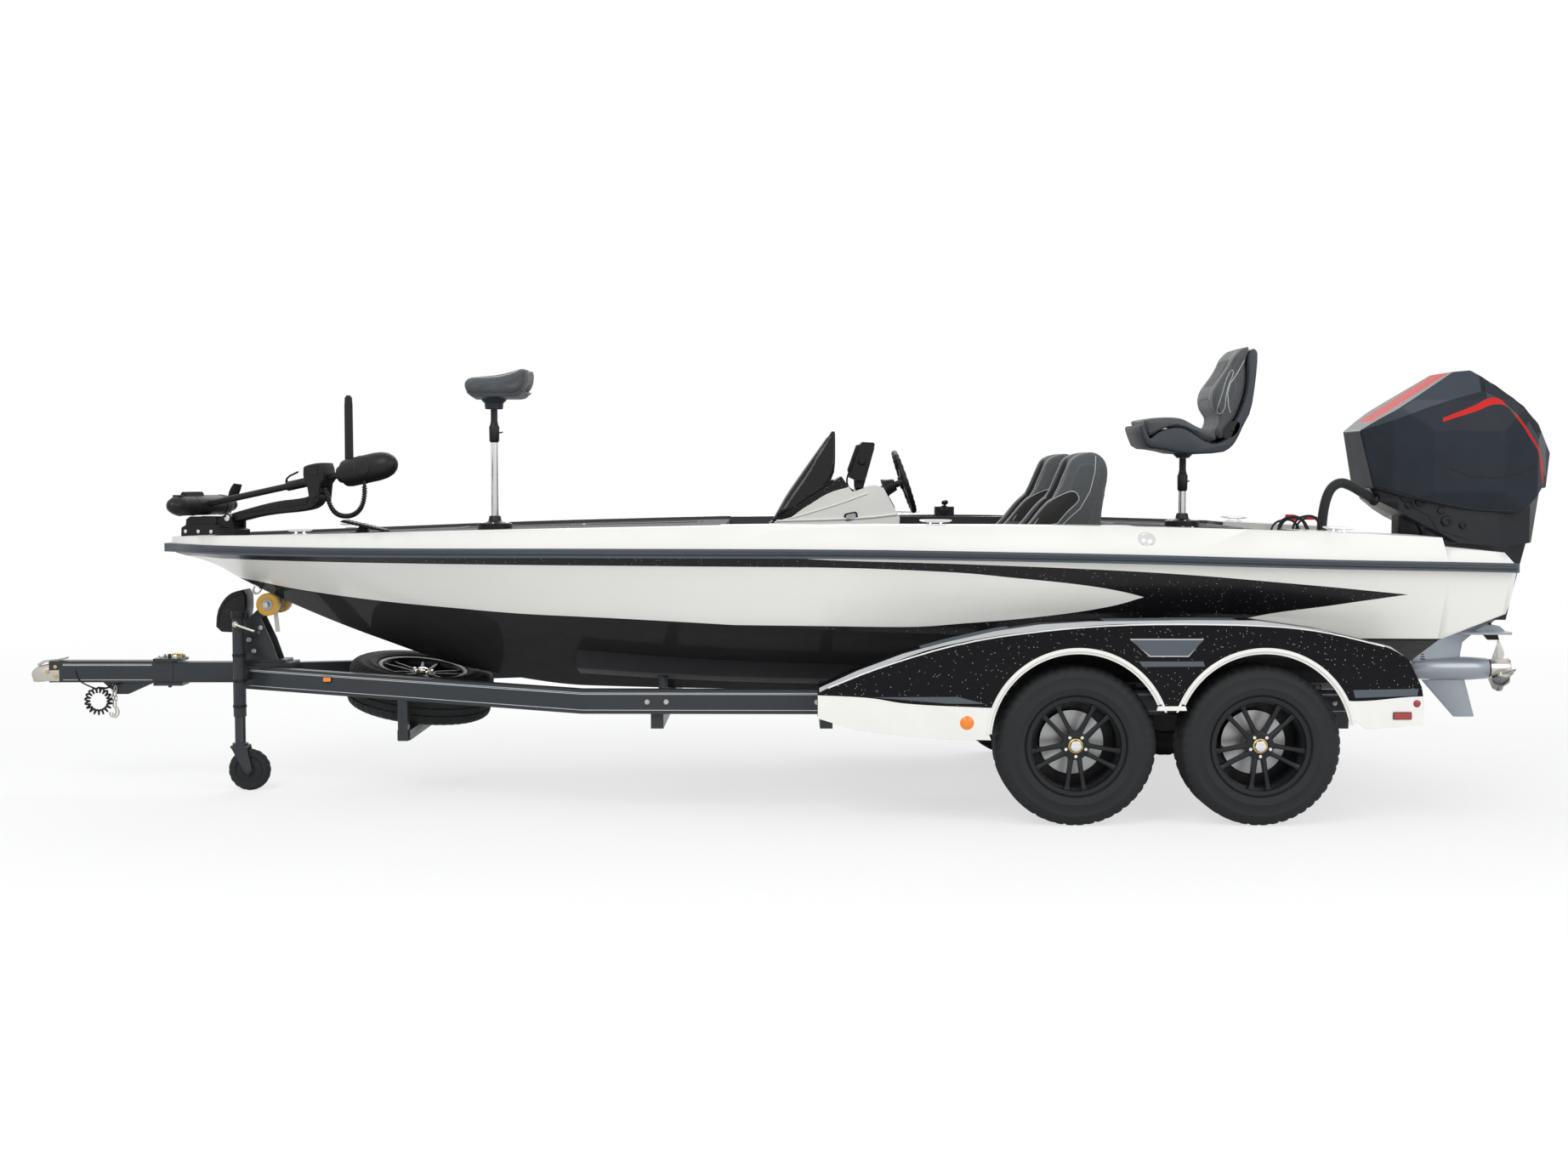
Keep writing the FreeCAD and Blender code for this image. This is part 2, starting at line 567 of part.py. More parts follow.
# Seat boxes and bucket seats, side by side. A bucket has a tall side bolster on each side of its middle.
SEAT_BACK = [("1000", "bench_top_z"), ("1535", "bench_top_z"), ("1540", "1380"), ("1569", "1582"),
             ("1567", "1674"), ("1535", "1715"), ("1486", "1733")]
SEAT_MIDDLE = SEAT_BACK + [("1430", "1722"), ("1408", "1690"), ("1400", "1640"), ("1388", "1500"),
                           ("1360", "1380"), ("1325", "1290"), ("1290", "1222"), ("1020", "1250"),
                           ("985", "1200")]
SEAT_BOLSTER = SEAT_BACK + [("1425", "1718"), ("1388", "1690"), ("1365", "1640"), ("1313", "1524"),
                            ("1244", "1467"), ("1170", "1370"), ("1090", "1300"), ("1010", "1270"),
                            ("985", "1200")]
boxes, buckets = [], []
for side_name, sign in (("port", "-1"), ("starboard", "1")):
    low, high = (f"{sign} * seat_y - seat_w / 2", f"{sign} * seat_y + seat_w / 2")
    boxes.append(block(f"Seat_box_{side_name}", ("1040", "1560"), (low, high), ("sole_z", "bench_top_z")))
    buckets += [
        slab(f"Bucket_{side_name}", "XZ", SEAT_MIDDLE, f"{low} + 12", f"{high} - 12"),
        slab(f"Bolster_in_{side_name}", "XZ", SEAT_BOLSTER, f"{low} + 10", f"{low} + bolster_w"),
        slab(f"Bolster_out_{side_name}", "XZ", SEAT_BOLSTER, f"{high} - bolster_w", f"{high} - 10")]
boxes.append(block("Seat_box_middle", ("1080", "1540"), ("-seat_y", "seat_y"), ("sole_z", "bench_top_z - 40")))
keep(fuse("Seat_boxes", *boxes), "seat_bases")
keep(fuse("Bucket_seats", *buckets), "bucket_seats")

on_deck = (piece("deck_moulding"), piece("casting_decks"))


def pedestal(name, post_x, top_z, label):
    """A seat post with a foot that follows the deck and a swivel pin on top."""
    foot_z = station(cell(post_x))["top_z"] - cell("deck_drop") - 3
    body = turned(name + "_body", [
        ("0", f"{foot_z:.2f}"), ("post_base_r", f"{foot_z:.2f}"), ("post_base_r", f"{foot_z + 34:.2f}"),
        ("post_r + 14", f"{foot_z + 52:.2f}"), ("post_r", f"{foot_z + 62:.2f}"), ("post_r", f"{top_z} - 160"),
        ("post_r + 8", f"{top_z} - 150"), ("post_r + 8", f"{top_z} - 90"), ("post_r", f"{top_z} - 80"),
        ("post_r", top_z), ("spigot_r", top_z), ("spigot_r", f"{top_z} + spigot_len"),
        ("0", f"{top_z} + spigot_len")], "XZ")
    bind(body, x=post_x)
    keep(cut(name, body, *on_deck), label)


pedestal("Bow_post", "bow_post_x", "bow_post_top_z", "bow_seat_post")
pedestal("Aft_post", "aft_post_x", "aft_post_top_z", "aft_seat_post")


def swivel_hub(name, post_x, top_z, height):
    """The ring under a seat that turns on the swivel pin, and the hole for the pin."""
    ring = rod(name + "_ring", "post_r + 16", (post_x, "0", f"{top_z} + seat_gap"), "z", height)
    hole = rod(name + "_hole", "spigot_r + pin_gap", (post_x, "0", f"{top_z} - 10"), "z",
               "spigot_len + 14")
    return ring, hole


ring, hole = swivel_hub("Bow_hub", "bow_post_x", "bow_post_top_z", "70")
pad = slab("Bow_pad", "XZ", [
    ("-1638", "2052"), ("-1608", "1992"), ("-1345", "1992"), ("-1290", "2050"), ("-1283", "2150"),
    ("-1310", "2155"), ("-1420", "2118"), ("-1600", "2104"), ("-1632", "2088")],
    "-bow_seat_half", "bow_seat_half")
keep(cut("Bow_seat", fuse("Bow_seat_body", ring, pad), hole), "bow_seat")

ring, hole = swivel_hub("Aft_hub", "aft_post_x", "aft_post_top_z", "50")
SHELL_TOP = [("2310", "2250"), ("2340", "2170"), ("2332", "2040"), ("2300", "1925"), ("2262", "1850"),
             ("2238", "1787"), ("2200", "1761"), ("2154", "1757"), ("2116", "1772"), ("2062", "1810"),
             ("2008", "1841"), ("1947", "1841"), ("1886", "1818"), ("1848", "1783"), ("1836", "1790")]
shell = slab("Aft_shell_body", "XZ", [
    ("1786", "1858"), ("1802", "1802"), ("1829", "1741"), ("1917", "1734"), ("2017", "1707"), ("2201", "1711"),
    ("2254", "1741"), ("2284", "1787"), ("2315", "1856"), ("2358", "1930"), ("2379", "2076"), ("2388", "2206"),
    ("2384", "2236"), ("2365", "2259"), ("2338", "2266")] + SHELL_TOP + [("1812", "1860")],
    "-aft_seat_half", "aft_seat_half")
aft_shell = cut("Aft_shell", fuse("Aft_shell_parts", ring, shell), hole)
keep(aft_shell, "aft_seat_shell")
cushion = slab("Aft_cushion_body", "XZ", SHELL_TOP + [
    ("1797", "1885"), ("1831", "1894"), ("1923", "1902"), ("1984", "1900"), ("2022", "1890"), ("2061", "1867"),
    ("2107", "1841"), ("2168", "1833"), ("2187", "1852"), ("2194", "1894"), ("2163", "1940"), ("2155", "1985"),
    ("2162", "2023"), ("2218", "2111"), ("2266", "2202")],
    "-aft_seat_half + 12", "aft_seat_half - 12")
keep(cut("Aft_cushion", cushion, aft_shell), "aft_seat_cushion")

# Small deck hardware: cleats on the gunwales, the bow light and the stern light's base.
CLEATS = [(-2350, 40), (700, 40), (2560, 40)]
fittings = []
for number, (x, inset) in enumerate(CLEATS):
    row = station(x)
    for sign in (1, -1):
        y = row["top_y"] - inset
        top = row["top_z"]
        foot = box_shape((x - 40, x + 40), (y - 14, y + 14), (top - 12, top + 14))
        horn = box_shape((x - 75, x + 75), (y - 9, y + 9), (top + 14, top + 28))
        shape = foot.fuse(horn)
        fittings.append(shape if sign > 0 else shape.mirror(V(), V(0, 1, 0)))
bow_row = station(nose + 150)
fittings.append(box_shape((nose + 125, nose + 175), (70, 110), (bow_row["top_z"] - 12, bow_row["top_z"] + 26)))
fittings = Part.makeCompound(fittings).cut([d.Shape for d in on_deck])
keep(solid("Deck_fittings", fittings), "deck_fittings")

pedal = slab("Foot_pedal_body", "XZ", [("-2330", "1250"), ("-2080", "1250"), ("-2080", "1318"), ("-2310", "1372"),
                                       ("-2330", "1368")], "120", "255")
keep(cut("Foot_pedal", pedal, *on_deck), "foot_pedal")

# Outboard: clamp bracket, swivel bracket, cowl, midsection, gearcase and propeller.
INBOARD = "transom_x - transom_thick - seat_gap"
clamp = [slab(f"Clamp_{n}", "XZ", [
    ("transom_x + seat_gap", "770"), ("3075", "770"), ("3082", "1120"), ("3120", "1190"), ("tilt_x + 34", "tilt_z - 50"),
    ("tilt_x + 34", "tilt_z + 30"), ("3120", "tilt_z + 44"), ("2935", "transom_top_z + 30"),
    ("2930", "transom_top_z - 70"), (INBOARD, "transom_top_z - 70"), (INBOARD, "transom_top_z + seat_gap"),
    ("transom_x + seat_gap", "transom_top_z + seat_gap")], low, high)
    for n, (low, high) in enumerate((("-142", "-112"), ("112", "142")))]
clamp.append(block("Clamp_web", ("transom_x + seat_gap", "3060"), ("-130", "130"), ("790", "1060")))
clamp.append(rod("Tilt_tube", "tilt_pin_r", ("tilt_x", "-165", "tilt_z"), "y", "330"))
clamp.append(block("Clamp_top", ("2935", "3040"), ("-130", "130"), ("transom_top_z + seat_gap", "transom_top_z + 22")))
keep(fuse("Transom_bracket", *clamp), "transom_bracket")

swivel_body = fuse(
    "Swivel_body",
    rod("Swivel_barrel", "50", ("steer_x", "0", "1000"), "z", "292"),
    slab("Swivel_yoke", "XZ", [("3102", "tilt_z - 34"), ("3150", "1080"), ("3190", "1080"), ("3190", "1285"),
                               ("3110", "1285"), ("3102", "tilt_z + 34")], "-swivel_half", "swivel_half"))
keep(cut("Swivel", swivel_body,
         rod("Tilt_bore", "tilt_pin_r + pin_gap", ("tilt_x", "-150", "tilt_z"), "y", "300"),
         rod("King_bore", "king_r + pin_gap", ("steer_x", "0", "900"), "z", "500")), "swivel_bracket")

COWL_LOW = [("3835", "1538"), ("3706", "1407"), ("3403", "1431"), ("3100", "1496"), ("2979", "1538")]
cowl_side = slab("Cowl_side", "XZ", [
    ("cowl_front_x", "1828"), ("2996", "1884"), ("3375", "2124"), ("3464", "2132"), ("3519", "2098"),
    ("3660", "1990"), ("3790", "1862"), ("cowl_back_x", "1716"), ("3868", "1538")] + COWL_LOW,
    "-cowl_half", "cowl_half")
cowl_top = slab("Cowl_plan", "XY", [
    ("cowl_front_x", "-150"), ("3060", "-250"), ("3250", "-cowl_half"), ("3600", "-cowl_half"),
    ("3790", "-235"), ("cowl_back_x", "-110"), ("cowl_back_x", "110"), ("3790", "235"), ("3600", "cowl_half"),
    ("3250", "cowl_half"), ("3060", "250"), ("cowl_front_x", "150")], "1300", "2200")
cowl_end = slab("Cowl_section", "YZ", [
    ("-205", "1300"), ("-cowl_half", "1520"), ("-cowl_half", "1830"), ("-245", "1980"), ("-170", "2140"),
    ("170", "2140"), ("245", "1980"), ("cowl_half", "1830"), ("cowl_half", "1520"), ("205", "1300")],
    "2850", "3950")
cowl = common("Cowl", common("Cowl_rounded", cowl_side, cowl_top), cowl_end)
keep(cowl, "outboard_cowl")

pan = common(
    "Pan", slab("Pan_side", "XZ", [
        ("2982", "1540"), ("3005", "1480"), ("3160", "1386"), ("3275", "1330"), ("3400", "1262"),
        ("3640", "1240"), ("3795", "1262"), ("3862", "1540"), ("3840", "1560"), ("3000", "1560")],
        "-240", "240"),
    slab("Pan_plan", "XY", [
        ("2982", "-110"), ("3100", "-215"), ("3300", "-236"), ("3600", "-225"), ("3780", "-170"),
        ("3862", "-80"), ("3862", "80"), ("3780", "170"), ("3600", "225"), ("3300", "236"), ("3100", "215"),
        ("2982", "110")], "1200", "1600"))
leg_outline = [("3264", "870"), ("3264", "1306"), ("3240", "1360"), ("3300", "1400"), ("3830", "1400"),
               ("3735", "1023"), ("3700", "862"), ("3300", "862")]
leg = [slab("Leg_column", "XZ", leg_outline, "-leg_half", "leg_half"), pan,
       block("King_top", ("3150", "3290"), ("-56", "56"), ("1298", "1400")),
       block("King_foot", ("3150", "3290"), ("-48", "48"), ("930", "994")),
       rod("King_pin", "king_r", ("steer_x", "0", "940"), "z", "400")]
keep(cut("Outboard_leg", fuse("Leg_parts", *leg), cowl), "outboard_leg")

torpedo = turned("Torpedo", [
    ("0", "3216"), ("22", "3232"), ("torpedo_r - 12", "3275"), ("torpedo_r", "3340"), ("torpedo_r", "3560"),
    ("prop_hub_r + 2", "prop_hub_x - 3"), ("0", "prop_hub_x - 3")])
torpedo.Placement = FreeCAD.Placement(V(), FreeCAD.Rotation(V(0, 0, 1), -90))
bind(torpedo, z="prop_z")
strut = slab("Strut", "XZ", [
    ("3228", "862"), ("3217", "760"), ("3220", "640"), ("3250", "590"), ("3500", "590"), ("3502", "700"),
    ("3508", "745"), ("3560", "795"), ("3600", "862")], "-36", "36")
cavitation_plate = slab("Cavitation_plate", "XY", [
    ("3390", "-60"), ("3480", "-128"), ("3733", "-128"), ("3733", "128"), ("3480", "128"), ("3390", "60")],
    "788", "802")
plate_rib = slab("Plate_rib", "XZ", [("3380", "800"), ("3733", "800"), ("3690", "861"), ("3400", "861")],
                 "-50", "50")
skeg = slab("Skeg", "XZ", [("3300", "560"), ("3463", "351"), ("3582", "351"), ("3525", "560")], "-8", "8")
gearcase = fuse("Gearcase_parts", torpedo, strut, cavitation_plate, plate_rib, skeg)
keep(cut("Gearcase", gearcase, rod("Prop_shaft_bore", "prop_shaft_r + pin_gap", ("prop_hub_x - 150", "0",
                                                                                "prop_z"), "x", "200")),
     "outboard_gearcase")

prop = [rod("Prop_hub", "prop_hub_r", ("prop_hub_x", "0", "prop_z"), "x", "prop_hub_len"),
        rod("Prop_shaft", "prop_shaft_r", ("prop_hub_x - 140", "0", "prop_z"), "x", "160")]
for turn in (0, 120, 240):
    blade = block(f"Blade_{turn}", ("-62", "62"), ("-5", "5"), ("prop_hub_r - 12", "prop_r"))
    pitched = fuse(f"Blade_pitched_{turn}", blade, block(f"Blade_root_{turn}", ("-34", "34"), ("-8", "8"),
                                                         ("prop_hub_r - 14", "prop_hub_r + 24")))
    pitched.Placement = FreeCAD.Placement(V(), FreeCAD.Rotation(V(1, 0, 0), turn).multiply(
        FreeCAD.Rotation(V(0, 0, 1), 42)))
    bind(pitched, x="prop_hub_x + prop_hub_len / 2", z="prop_z")
    prop.append(pitched)
keep(fuse("Propeller", *prop), "propeller")


def tube(points, radius):
    """A hose: straight runs joined by tangent arcs, each arc as large as its two runs allow."""
    nodes = [V(*p) for p in points]
    edges, start = [], nodes[0]
    for before, corner, after in zip(nodes, nodes[1:], nodes[2:]):
        back, ahead = (before - corner).normalize(), (after - corner).normalize()
        half_turn = (math.pi - back.getAngle(ahead)) / 2
        reach = 0.45 * min((before - corner).Length, (after - corner).Length)
        bend = reach / math.tan(half_turn)
        first, end = corner + back * reach, corner + ahead * reach
        bisector = (back + ahead).normalize()
        middle = corner + bisector * (bend / math.cos(half_turn) - bend)
        print(f"hose bend radius {bend:.0f} mm")
        edges += [Part.makeLine(start, first), Part.Arc(first, middle, end).toShape()]
        start = end
    edges.append(Part.makeLine(start, nodes[-1]))
    path = Part.Wire(edges)
    ring = Part.makeCircle(radius, nodes[0], nodes[1] - nodes[0])
    swept = path.makePipeShell([Part.Wire([ring])], True, False)
    print(f"hose length {path.Length:.0f} mm, volume over section {swept.Volume / (math.pi * radius ** 2):.0f} mm")
    return swept


doc.recompute()
ROUTE = [(2752, -206, 930), (2724, -205, 1110), (2714, -203, 1280), (2722, -201, 1425), (2752, -196, 1530),
         (2808, -186, 1570), (2872, -172, 1550), (2935, -150, 1514), (3010, -120, 1480)]
hose = tube(ROUTE, cell("hose_r"))
hose = hose.cut([hull, piece("outboard_leg").Shape, piece("outboard_cowl").Shape])
keep(solid("Rigging_hose", max(hose.Solids, key=lambda part: part.Volume)), "rigging_hose")

# Trolling motor on the bow. Its pieces are drawn along its own length, then turned to its stowed angle.
YAW = FreeCAD.Rotation(V(0, 0, 1), -cell("tm_yaw"))


def stow(item):
    """Sets a trolling motor piece in its place on the bow."""
    return place(item, ("tm_x", "tm_y", "0"), YAW)


mount = fuse(
    "Mount_parts",
    slab("Mount_base", "XZ", [("-95", "1270"), ("250", "1270"), ("250", "1330"), ("170", "1352"),
                              ("-60", "1352"), ("-95", "1335")], "-62", "62"),
    slab("Mount_lug_a", "XZ", [("150", "1330"), ("tm_arm_s + 26", "1330"), ("tm_arm_s + 26", "tm_arm_z + 8"),
                               ("tm_arm_s", "tm_arm_z + 24"), ("150", "tm_arm_z")], "-62", "-42"),
    slab("Mount_lug_b", "XZ", [("150", "1330"), ("tm_arm_s + 26", "1330"), ("tm_arm_s + 26", "tm_arm_z + 8"),
                               ("tm_arm_s", "tm_arm_z + 24"), ("150", "tm_arm_z")], "42", "62"),
    rod("Mount_pin", "10", ("tm_arm_s", "-50", "tm_arm_z"), "y", "100"))
keep(cut("Trolling_mount", stow(mount), *on_deck), "trolling_mount")

arm_holes = [rod(f"Arm_bore_{n}", "10 + pin_gap", (s, "-60", z), "y", "120")
             for n, (s, z) in enumerate((("tm_arm_s", "tm_arm_z"), ("tm_yoke_s", "tm_yoke_z")))]
arm_body = slab("Arm_body", "XZ", [
    ("tm_arm_s - 20", "tm_arm_z - 4"), ("tm_arm_s", "tm_arm_z - 22"), ("tm_arm_s + 30", "tm_arm_z - 22"),
    ("tm_yoke_s - 60", "tm_yoke_z - 78"), ("tm_yoke_s + 10", "tm_yoke_z - 46"),
    ("tm_yoke_s + 22", "tm_yoke_z"), ("tm_yoke_s", "tm_yoke_z + 22"), ("tm_yoke_s - 24", "tm_yoke_z + 8"),
    ("tm_yoke_s - 90", "tm_yoke_z - 12"), ("tm_arm_s + 30", "tm_arm_z + 34"), ("tm_arm_s", "tm_arm_z + 24"),
    ("tm_arm_s - 16", "tm_arm_z + 14")], "-36", "36")
keep(stow(cut("Trolling_arm", arm_body, *arm_holes)), "trolling_arm")

shaft_line = FreeCAD.Rotation(V(0, 1, 0), 90 - cell("tm_rise"))
shaft_tube = rod("Shaft_tube", "tm_shaft_r", ("0", "0", "0"), "z", "tm_head_s / cos(tm_rise)")
place(shaft_tube, ("0", "0", "tm_z"), shaft_line)
head = rod("Head", "70", ("0", "0", "0"), "z", "310")
rise = "tm_z + {0} * tan(tm_rise)"
place(head, ("tm_head_s - 300", "0", rise.format("(tm_head_s - 300)")), shaft_line)
yoke = [slab(f"Yoke_{n}", "XZ", [
    ("tm_yoke_s - 26", "tm_yoke_z - 30"), ("tm_yoke_s + 26", "tm_yoke_z - 30"), ("tm_yoke_s + 34", "1650"),
    ("tm_yoke_s - 40", "1640")], low, high) for n, (low, high) in enumerate((("-58", "-42"), ("42", "58")))]
yoke.append(slab("Yoke_housing", "XZ", [
    ("tm_yoke_s - 60", "1530"), ("tm_yoke_s + 66", "1552"), ("tm_yoke_s + 52", "1668"),
    ("tm_yoke_s - 72", "1640")], "-58", "58"))
yoke.append(rod("Yoke_pin", "10", ("tm_yoke_s", "-50", "tm_yoke_z"), "y", "100"))
wand = block("Wand", ("tm_head_s - 300", "tm_head_s - 255"), ("-12", "12"), ("1640", "2002"))
keep(stow(fuse("Trolling_shaft", shaft_tube, head, wand, *yoke)), "trolling_shaft")

pod = rod("Pod", "tm_pod_r", ("0", "-tm_pod_len / 2", "tm_z"), "y", "tm_pod_len")
pod_tip = turned("Pod_tip", [("0", "0"), ("tm_pod_r", "0"), ("tm_pod_r - 14", "44"), ("0", "66")])
pod_tip.Placement = FreeCAD.Placement(V(), FreeCAD.Rotation(V(0, 0, 1), 180))
bind(pod_tip, y="-tm_pod_len / 2", z="tm_z")
pod_all = fuse("Pod_parts", pod, pod_tip)
pod_hole = rod("Pod_bore", "8 + pin_gap", ("0", "tm_pod_len / 2 - 50", "tm_z"), "y", "80")
shaft_clear = rod("Shaft_clear", "tm_shaft_r", ("0", "0", "0"), "z", "400")
place(shaft_clear, ("0", "0", "tm_z"), shaft_line)
keep(stow(cut("Trolling_pod", pod_all, pod_hole, shaft_clear)), "trolling_pod")

small_prop = [rod("Small_hub", "34", ("0", "tm_pod_len / 2 + 3", "tm_z"), "y", "58"),
              rod("Small_shaft", "8", ("0", "tm_pod_len / 2 - 44", "tm_z"), "y", "60")]
for turn in (10, 190):
    leaf = block(f"Leaf_{turn}", ("-30", "30"), ("-4", "4"), ("24", "116"))
    pitched = fuse(f"Leaf_pitched_{turn}", leaf, block(f"Leaf_root_{turn}", ("-18", "18"), ("-6", "6"),
                                                       ("20", "46")))
    pitched.Placement = FreeCAD.Placement(V(), FreeCAD.Rotation(V(0, 1, 0), turn).multiply(
        FreeCAD.Rotation(V(0, 0, 1), 38)))
    bind(pitched, y="tm_pod_len / 2 + 32", z="tm_z")
    small_prop.append(pitched)
keep(stow(fuse("Trolling_propeller", *small_prop)), "trolling_propeller")

# Wheels: rims with hub, brake disc and five pairs of spokes, and their tyres.
def rim_shape(name):
    """A rim about the Y axis, its outer face toward +Y."""
    half = "rim_w / 2"
    barrel = turned(name + "_barrel", [
        ("bead_r - 12", f"-{half}"), ("bead_r", f"-{half}"), ("bead_r", half), ("bead_r - 12", half)])
    flanges = [turned(f"{name}_flange_{n}", [("bead_r - 12", low), ("rim_r", low), ("rim_r", high),
                                            ("bead_r - 12", high)])
               for n, (low, high) in enumerate(((f"-{half} - 8", f"-{half}"), (half, f"{half} + 8")))]
    hub = rod(name + "_hub", "hub_r", ("0", "-105", "0"), "y", "190")
    disc = rod(name + "_disc", "disc_r", ("0", "-72", "0"), "y", "24")
    spokes = []
    for pair in range(5):
        for lean in (-9, 9):
            bar = block(f"{name}_spoke_{pair}_{lean + 9}", ("hub_r - 12", "bead_r - 6"), ("62", "86"), ("-11", "11"))
            bar.Placement = FreeCAD.Placement(V(), FreeCAD.Rotation(V(0, 1, 0), 72 * pair + lean + 90))
            reach = FreeCAD.Rotation(V(0, 1, 0), 72 * pair + lean + 90).multVec(V(1, 0, 0))
            side = FreeCAD.Rotation(V(0, 1, 0), 72 * pair + lean + 90).multVec(V(0, 0, 1))
            bind(bar, x=f"(hub_r - 12) * {reach.x:.6f} - 11 * {side.x:.6f}",
                 z=f"(hub_r - 12) * {reach.z:.6f} - 11 * {side.z:.6f}")
            bar.setExpression("Placement.Base.y", formula("62"))
            spokes.append(bar)
    whole = fuse(name + "_parts", barrel, *flanges, hub, disc, *spokes)
    return cut(name, whole, rod(name + "_bore", "spindle_r + pin_gap", ("0", "-110", "0"), "y", "170"))


def tyre_shape(name):
    """A hollow tyre about the Y axis."""
    return turned(name, [
        ("bead_r", "-rim_w / 2"), ("rim_r + 3", "-rim_w / 2"), ("rim_r + 9", "-tyre_w / 2 + 2"),
        ("tyre_r - 70", "-tyre_w / 2"), ("tyre_r - 16", "-tyre_w / 2 + 14"), ("tyre_r", "-tyre_w / 2 + 38"),
        ("tyre_r", "tyre_w / 2 - 38"), ("tyre_r - 16", "tyre_w / 2 - 14"), ("tyre_r - 70", "tyre_w / 2"),
        ("rim_r + 9", "tyre_w / 2 - 2"), ("rim_r + 3", "rim_w / 2"), ("bead_r", "rim_w / 2"),
        ("bead_r", "rim_w / 2 - 22"), ("tyre_r - 22", "rim_w / 2 - 14"), ("tyre_r - 22", "-rim_w / 2 + 14"),
        ("bead_r", "-rim_w / 2 + 22")])


for end in ("front", "rear"):
    for side_name, sign, spin in (("port", "-", 180), ("starboard", "", 0)):
        at = (f"axle_{end}_x", f"{sign}wheel_y", "tyre_r")
        outward = FreeCAD.Rotation(V(0, 0, 1), spin)
        tag = f"{side_name}_{end}"
        keep(place(rim_shape("Rim_" + tag), at, outward), f"{tag}_rim")
        keep(place(tyre_shape("Tyre_" + tag), at, outward), f"{tag}_tyre")

# Trailer frame: two rails that run straight under the boat and meet at the tongue.
RAIL = ("x", "middle_y", "half_w", "top_z")
BEND = cell("rail_bend_x")
straight_y = cell("rail_y") - cell("rail_w") / 2
RAIL_ROWS = [
    (cell("rail_back_x"), straight_y, cell("rail_w") / 2, cell("rail_top_z")),
    (BEND, straight_y, cell("rail_w") / 2, cell("rail_top_z") + 6),
    (cell("rail_front_x"), 72, cell("rail_w") / 2 + 3, cell("rail_top_z") + 34),
]
rail_wires = []
for x, middle, half, top in RAIL_ROWS:
    low = top - cell("rail_h")
    corners = [V(x, middle - half, low), V(x, middle + half, low), V(x, middle + half, top), V(x, middle - half, top)]
    rail_wires.append(Part.makePolygon(corners + corners[:1]))
side_rail = Part.makeLoft(rail_wires, True, True)


def rail_at(x):
    """The rail's middle and its underside at a place forward of the bend."""
    share = (x - BEND) / (cell("rail_front_x") - BEND)
    return straight_y + share * (72 - straight_y), cell("rail_top_z") + 6 + share * 28 - cell("rail_h")


def spare_place():
    """Where the converging rails leave room for the spare tyre between them."""
    run, spread = BEND - cell("rail_front_x"), straight_y - 72
    slant = math.cos(math.atan2(spread, run))
    middle = (cell("tyre_r") + cell("spare_gap")) / slant + cell("rail_w") / 2 + 2
    return cell("rail_front_x") + (middle - 72) / spread * run


SPARE_X = spare_place()
CROSS_X = [1720, 2640, 880, 200, -600]
frame = both_sides(side_rail)
for x in CROSS_X:
    frame.append(box_shape((x - 30, x + 30), (-straight_y, straight_y), (cell("keel_z") - 96, cell("keel_z") - 24)))
carrier_y, carrier_z = rail_at(SPARE_X)
spare_low = cell("spare_z") - 165
frame.append(box_shape((SPARE_X - 32, SPARE_X + 32), (-carrier_y, carrier_y),
                       (spare_low - 50, spare_low)))
for turn in (1, -1):
    post = box_shape((SPARE_X - 24, SPARE_X + 24), (carrier_y - 26, carrier_y + 26),
                     (spare_low - 50, carrier_z + 12))
    frame.append(post if turn > 0 else post.mirror(V(), V(0, 1, 0)))
frame.append(box_shape((cell("rail_front_x") - 30, cell("rail_front_x") + 230), (-96, 96),
                       (cell("tongue_top_z") - 118, cell("tongue_top_z") - 4)))
frame.append(box_shape((cell("hitch_x") + 40, cell("rail_front_x")), (-cell("tongue_half"), cell("tongue_half")),
                       (cell("tongue_top_z") - cell("tongue_h"), cell("tongue_top_z") - 6)))
frame.append(Part.makeCylinder(22, 140, V(cell("hitch_x") + 20, 0, cell("tongue_top_z") - 125)))
lie = FreeCAD.Rotation(V(0, 1, 0), cell("spare_tilt")).multiply(
    FreeCAD.Rotation(V(1, 0, 0), cell("spare_lean"))).multiply(FreeCAD.Rotation(V(1, 0, 0), 90))
stud = Part.makeCylinder(cell("spindle_r"), 230, V(0, -175, 0), V(0, 1, 0))
stud = stud.fuse(Part.makeCylinder(cell("hub_r") - 4, 70, V(0, -105 - cell("seat_gap") - 70, 0), V(0, 1, 0)))
stud.Placement = FreeCAD.Placement(V(SPARE_X, 0, cell("spare_z")), lie)
frame.append(stud)
steel = frame[0].fuse(frame[1:]).removeSplitter()

# Bunks follow the hull's bottom. Their posts stand on the frame's cross members.
bunk_low, bunk_high = cell("bunk_y") - cell("bunk_w") / 2, cell("bunk_y") + cell("bunk_w") / 2


def bottom_z(x, y):
    """The height of the hull's bottom."""
    row = station(x)
    share = (y - row["pad_y"]) / (row["chine_y"] - row["pad_y"])
    return row["keel_z"] + share * (row["chine_z"] - row["keel_z"])


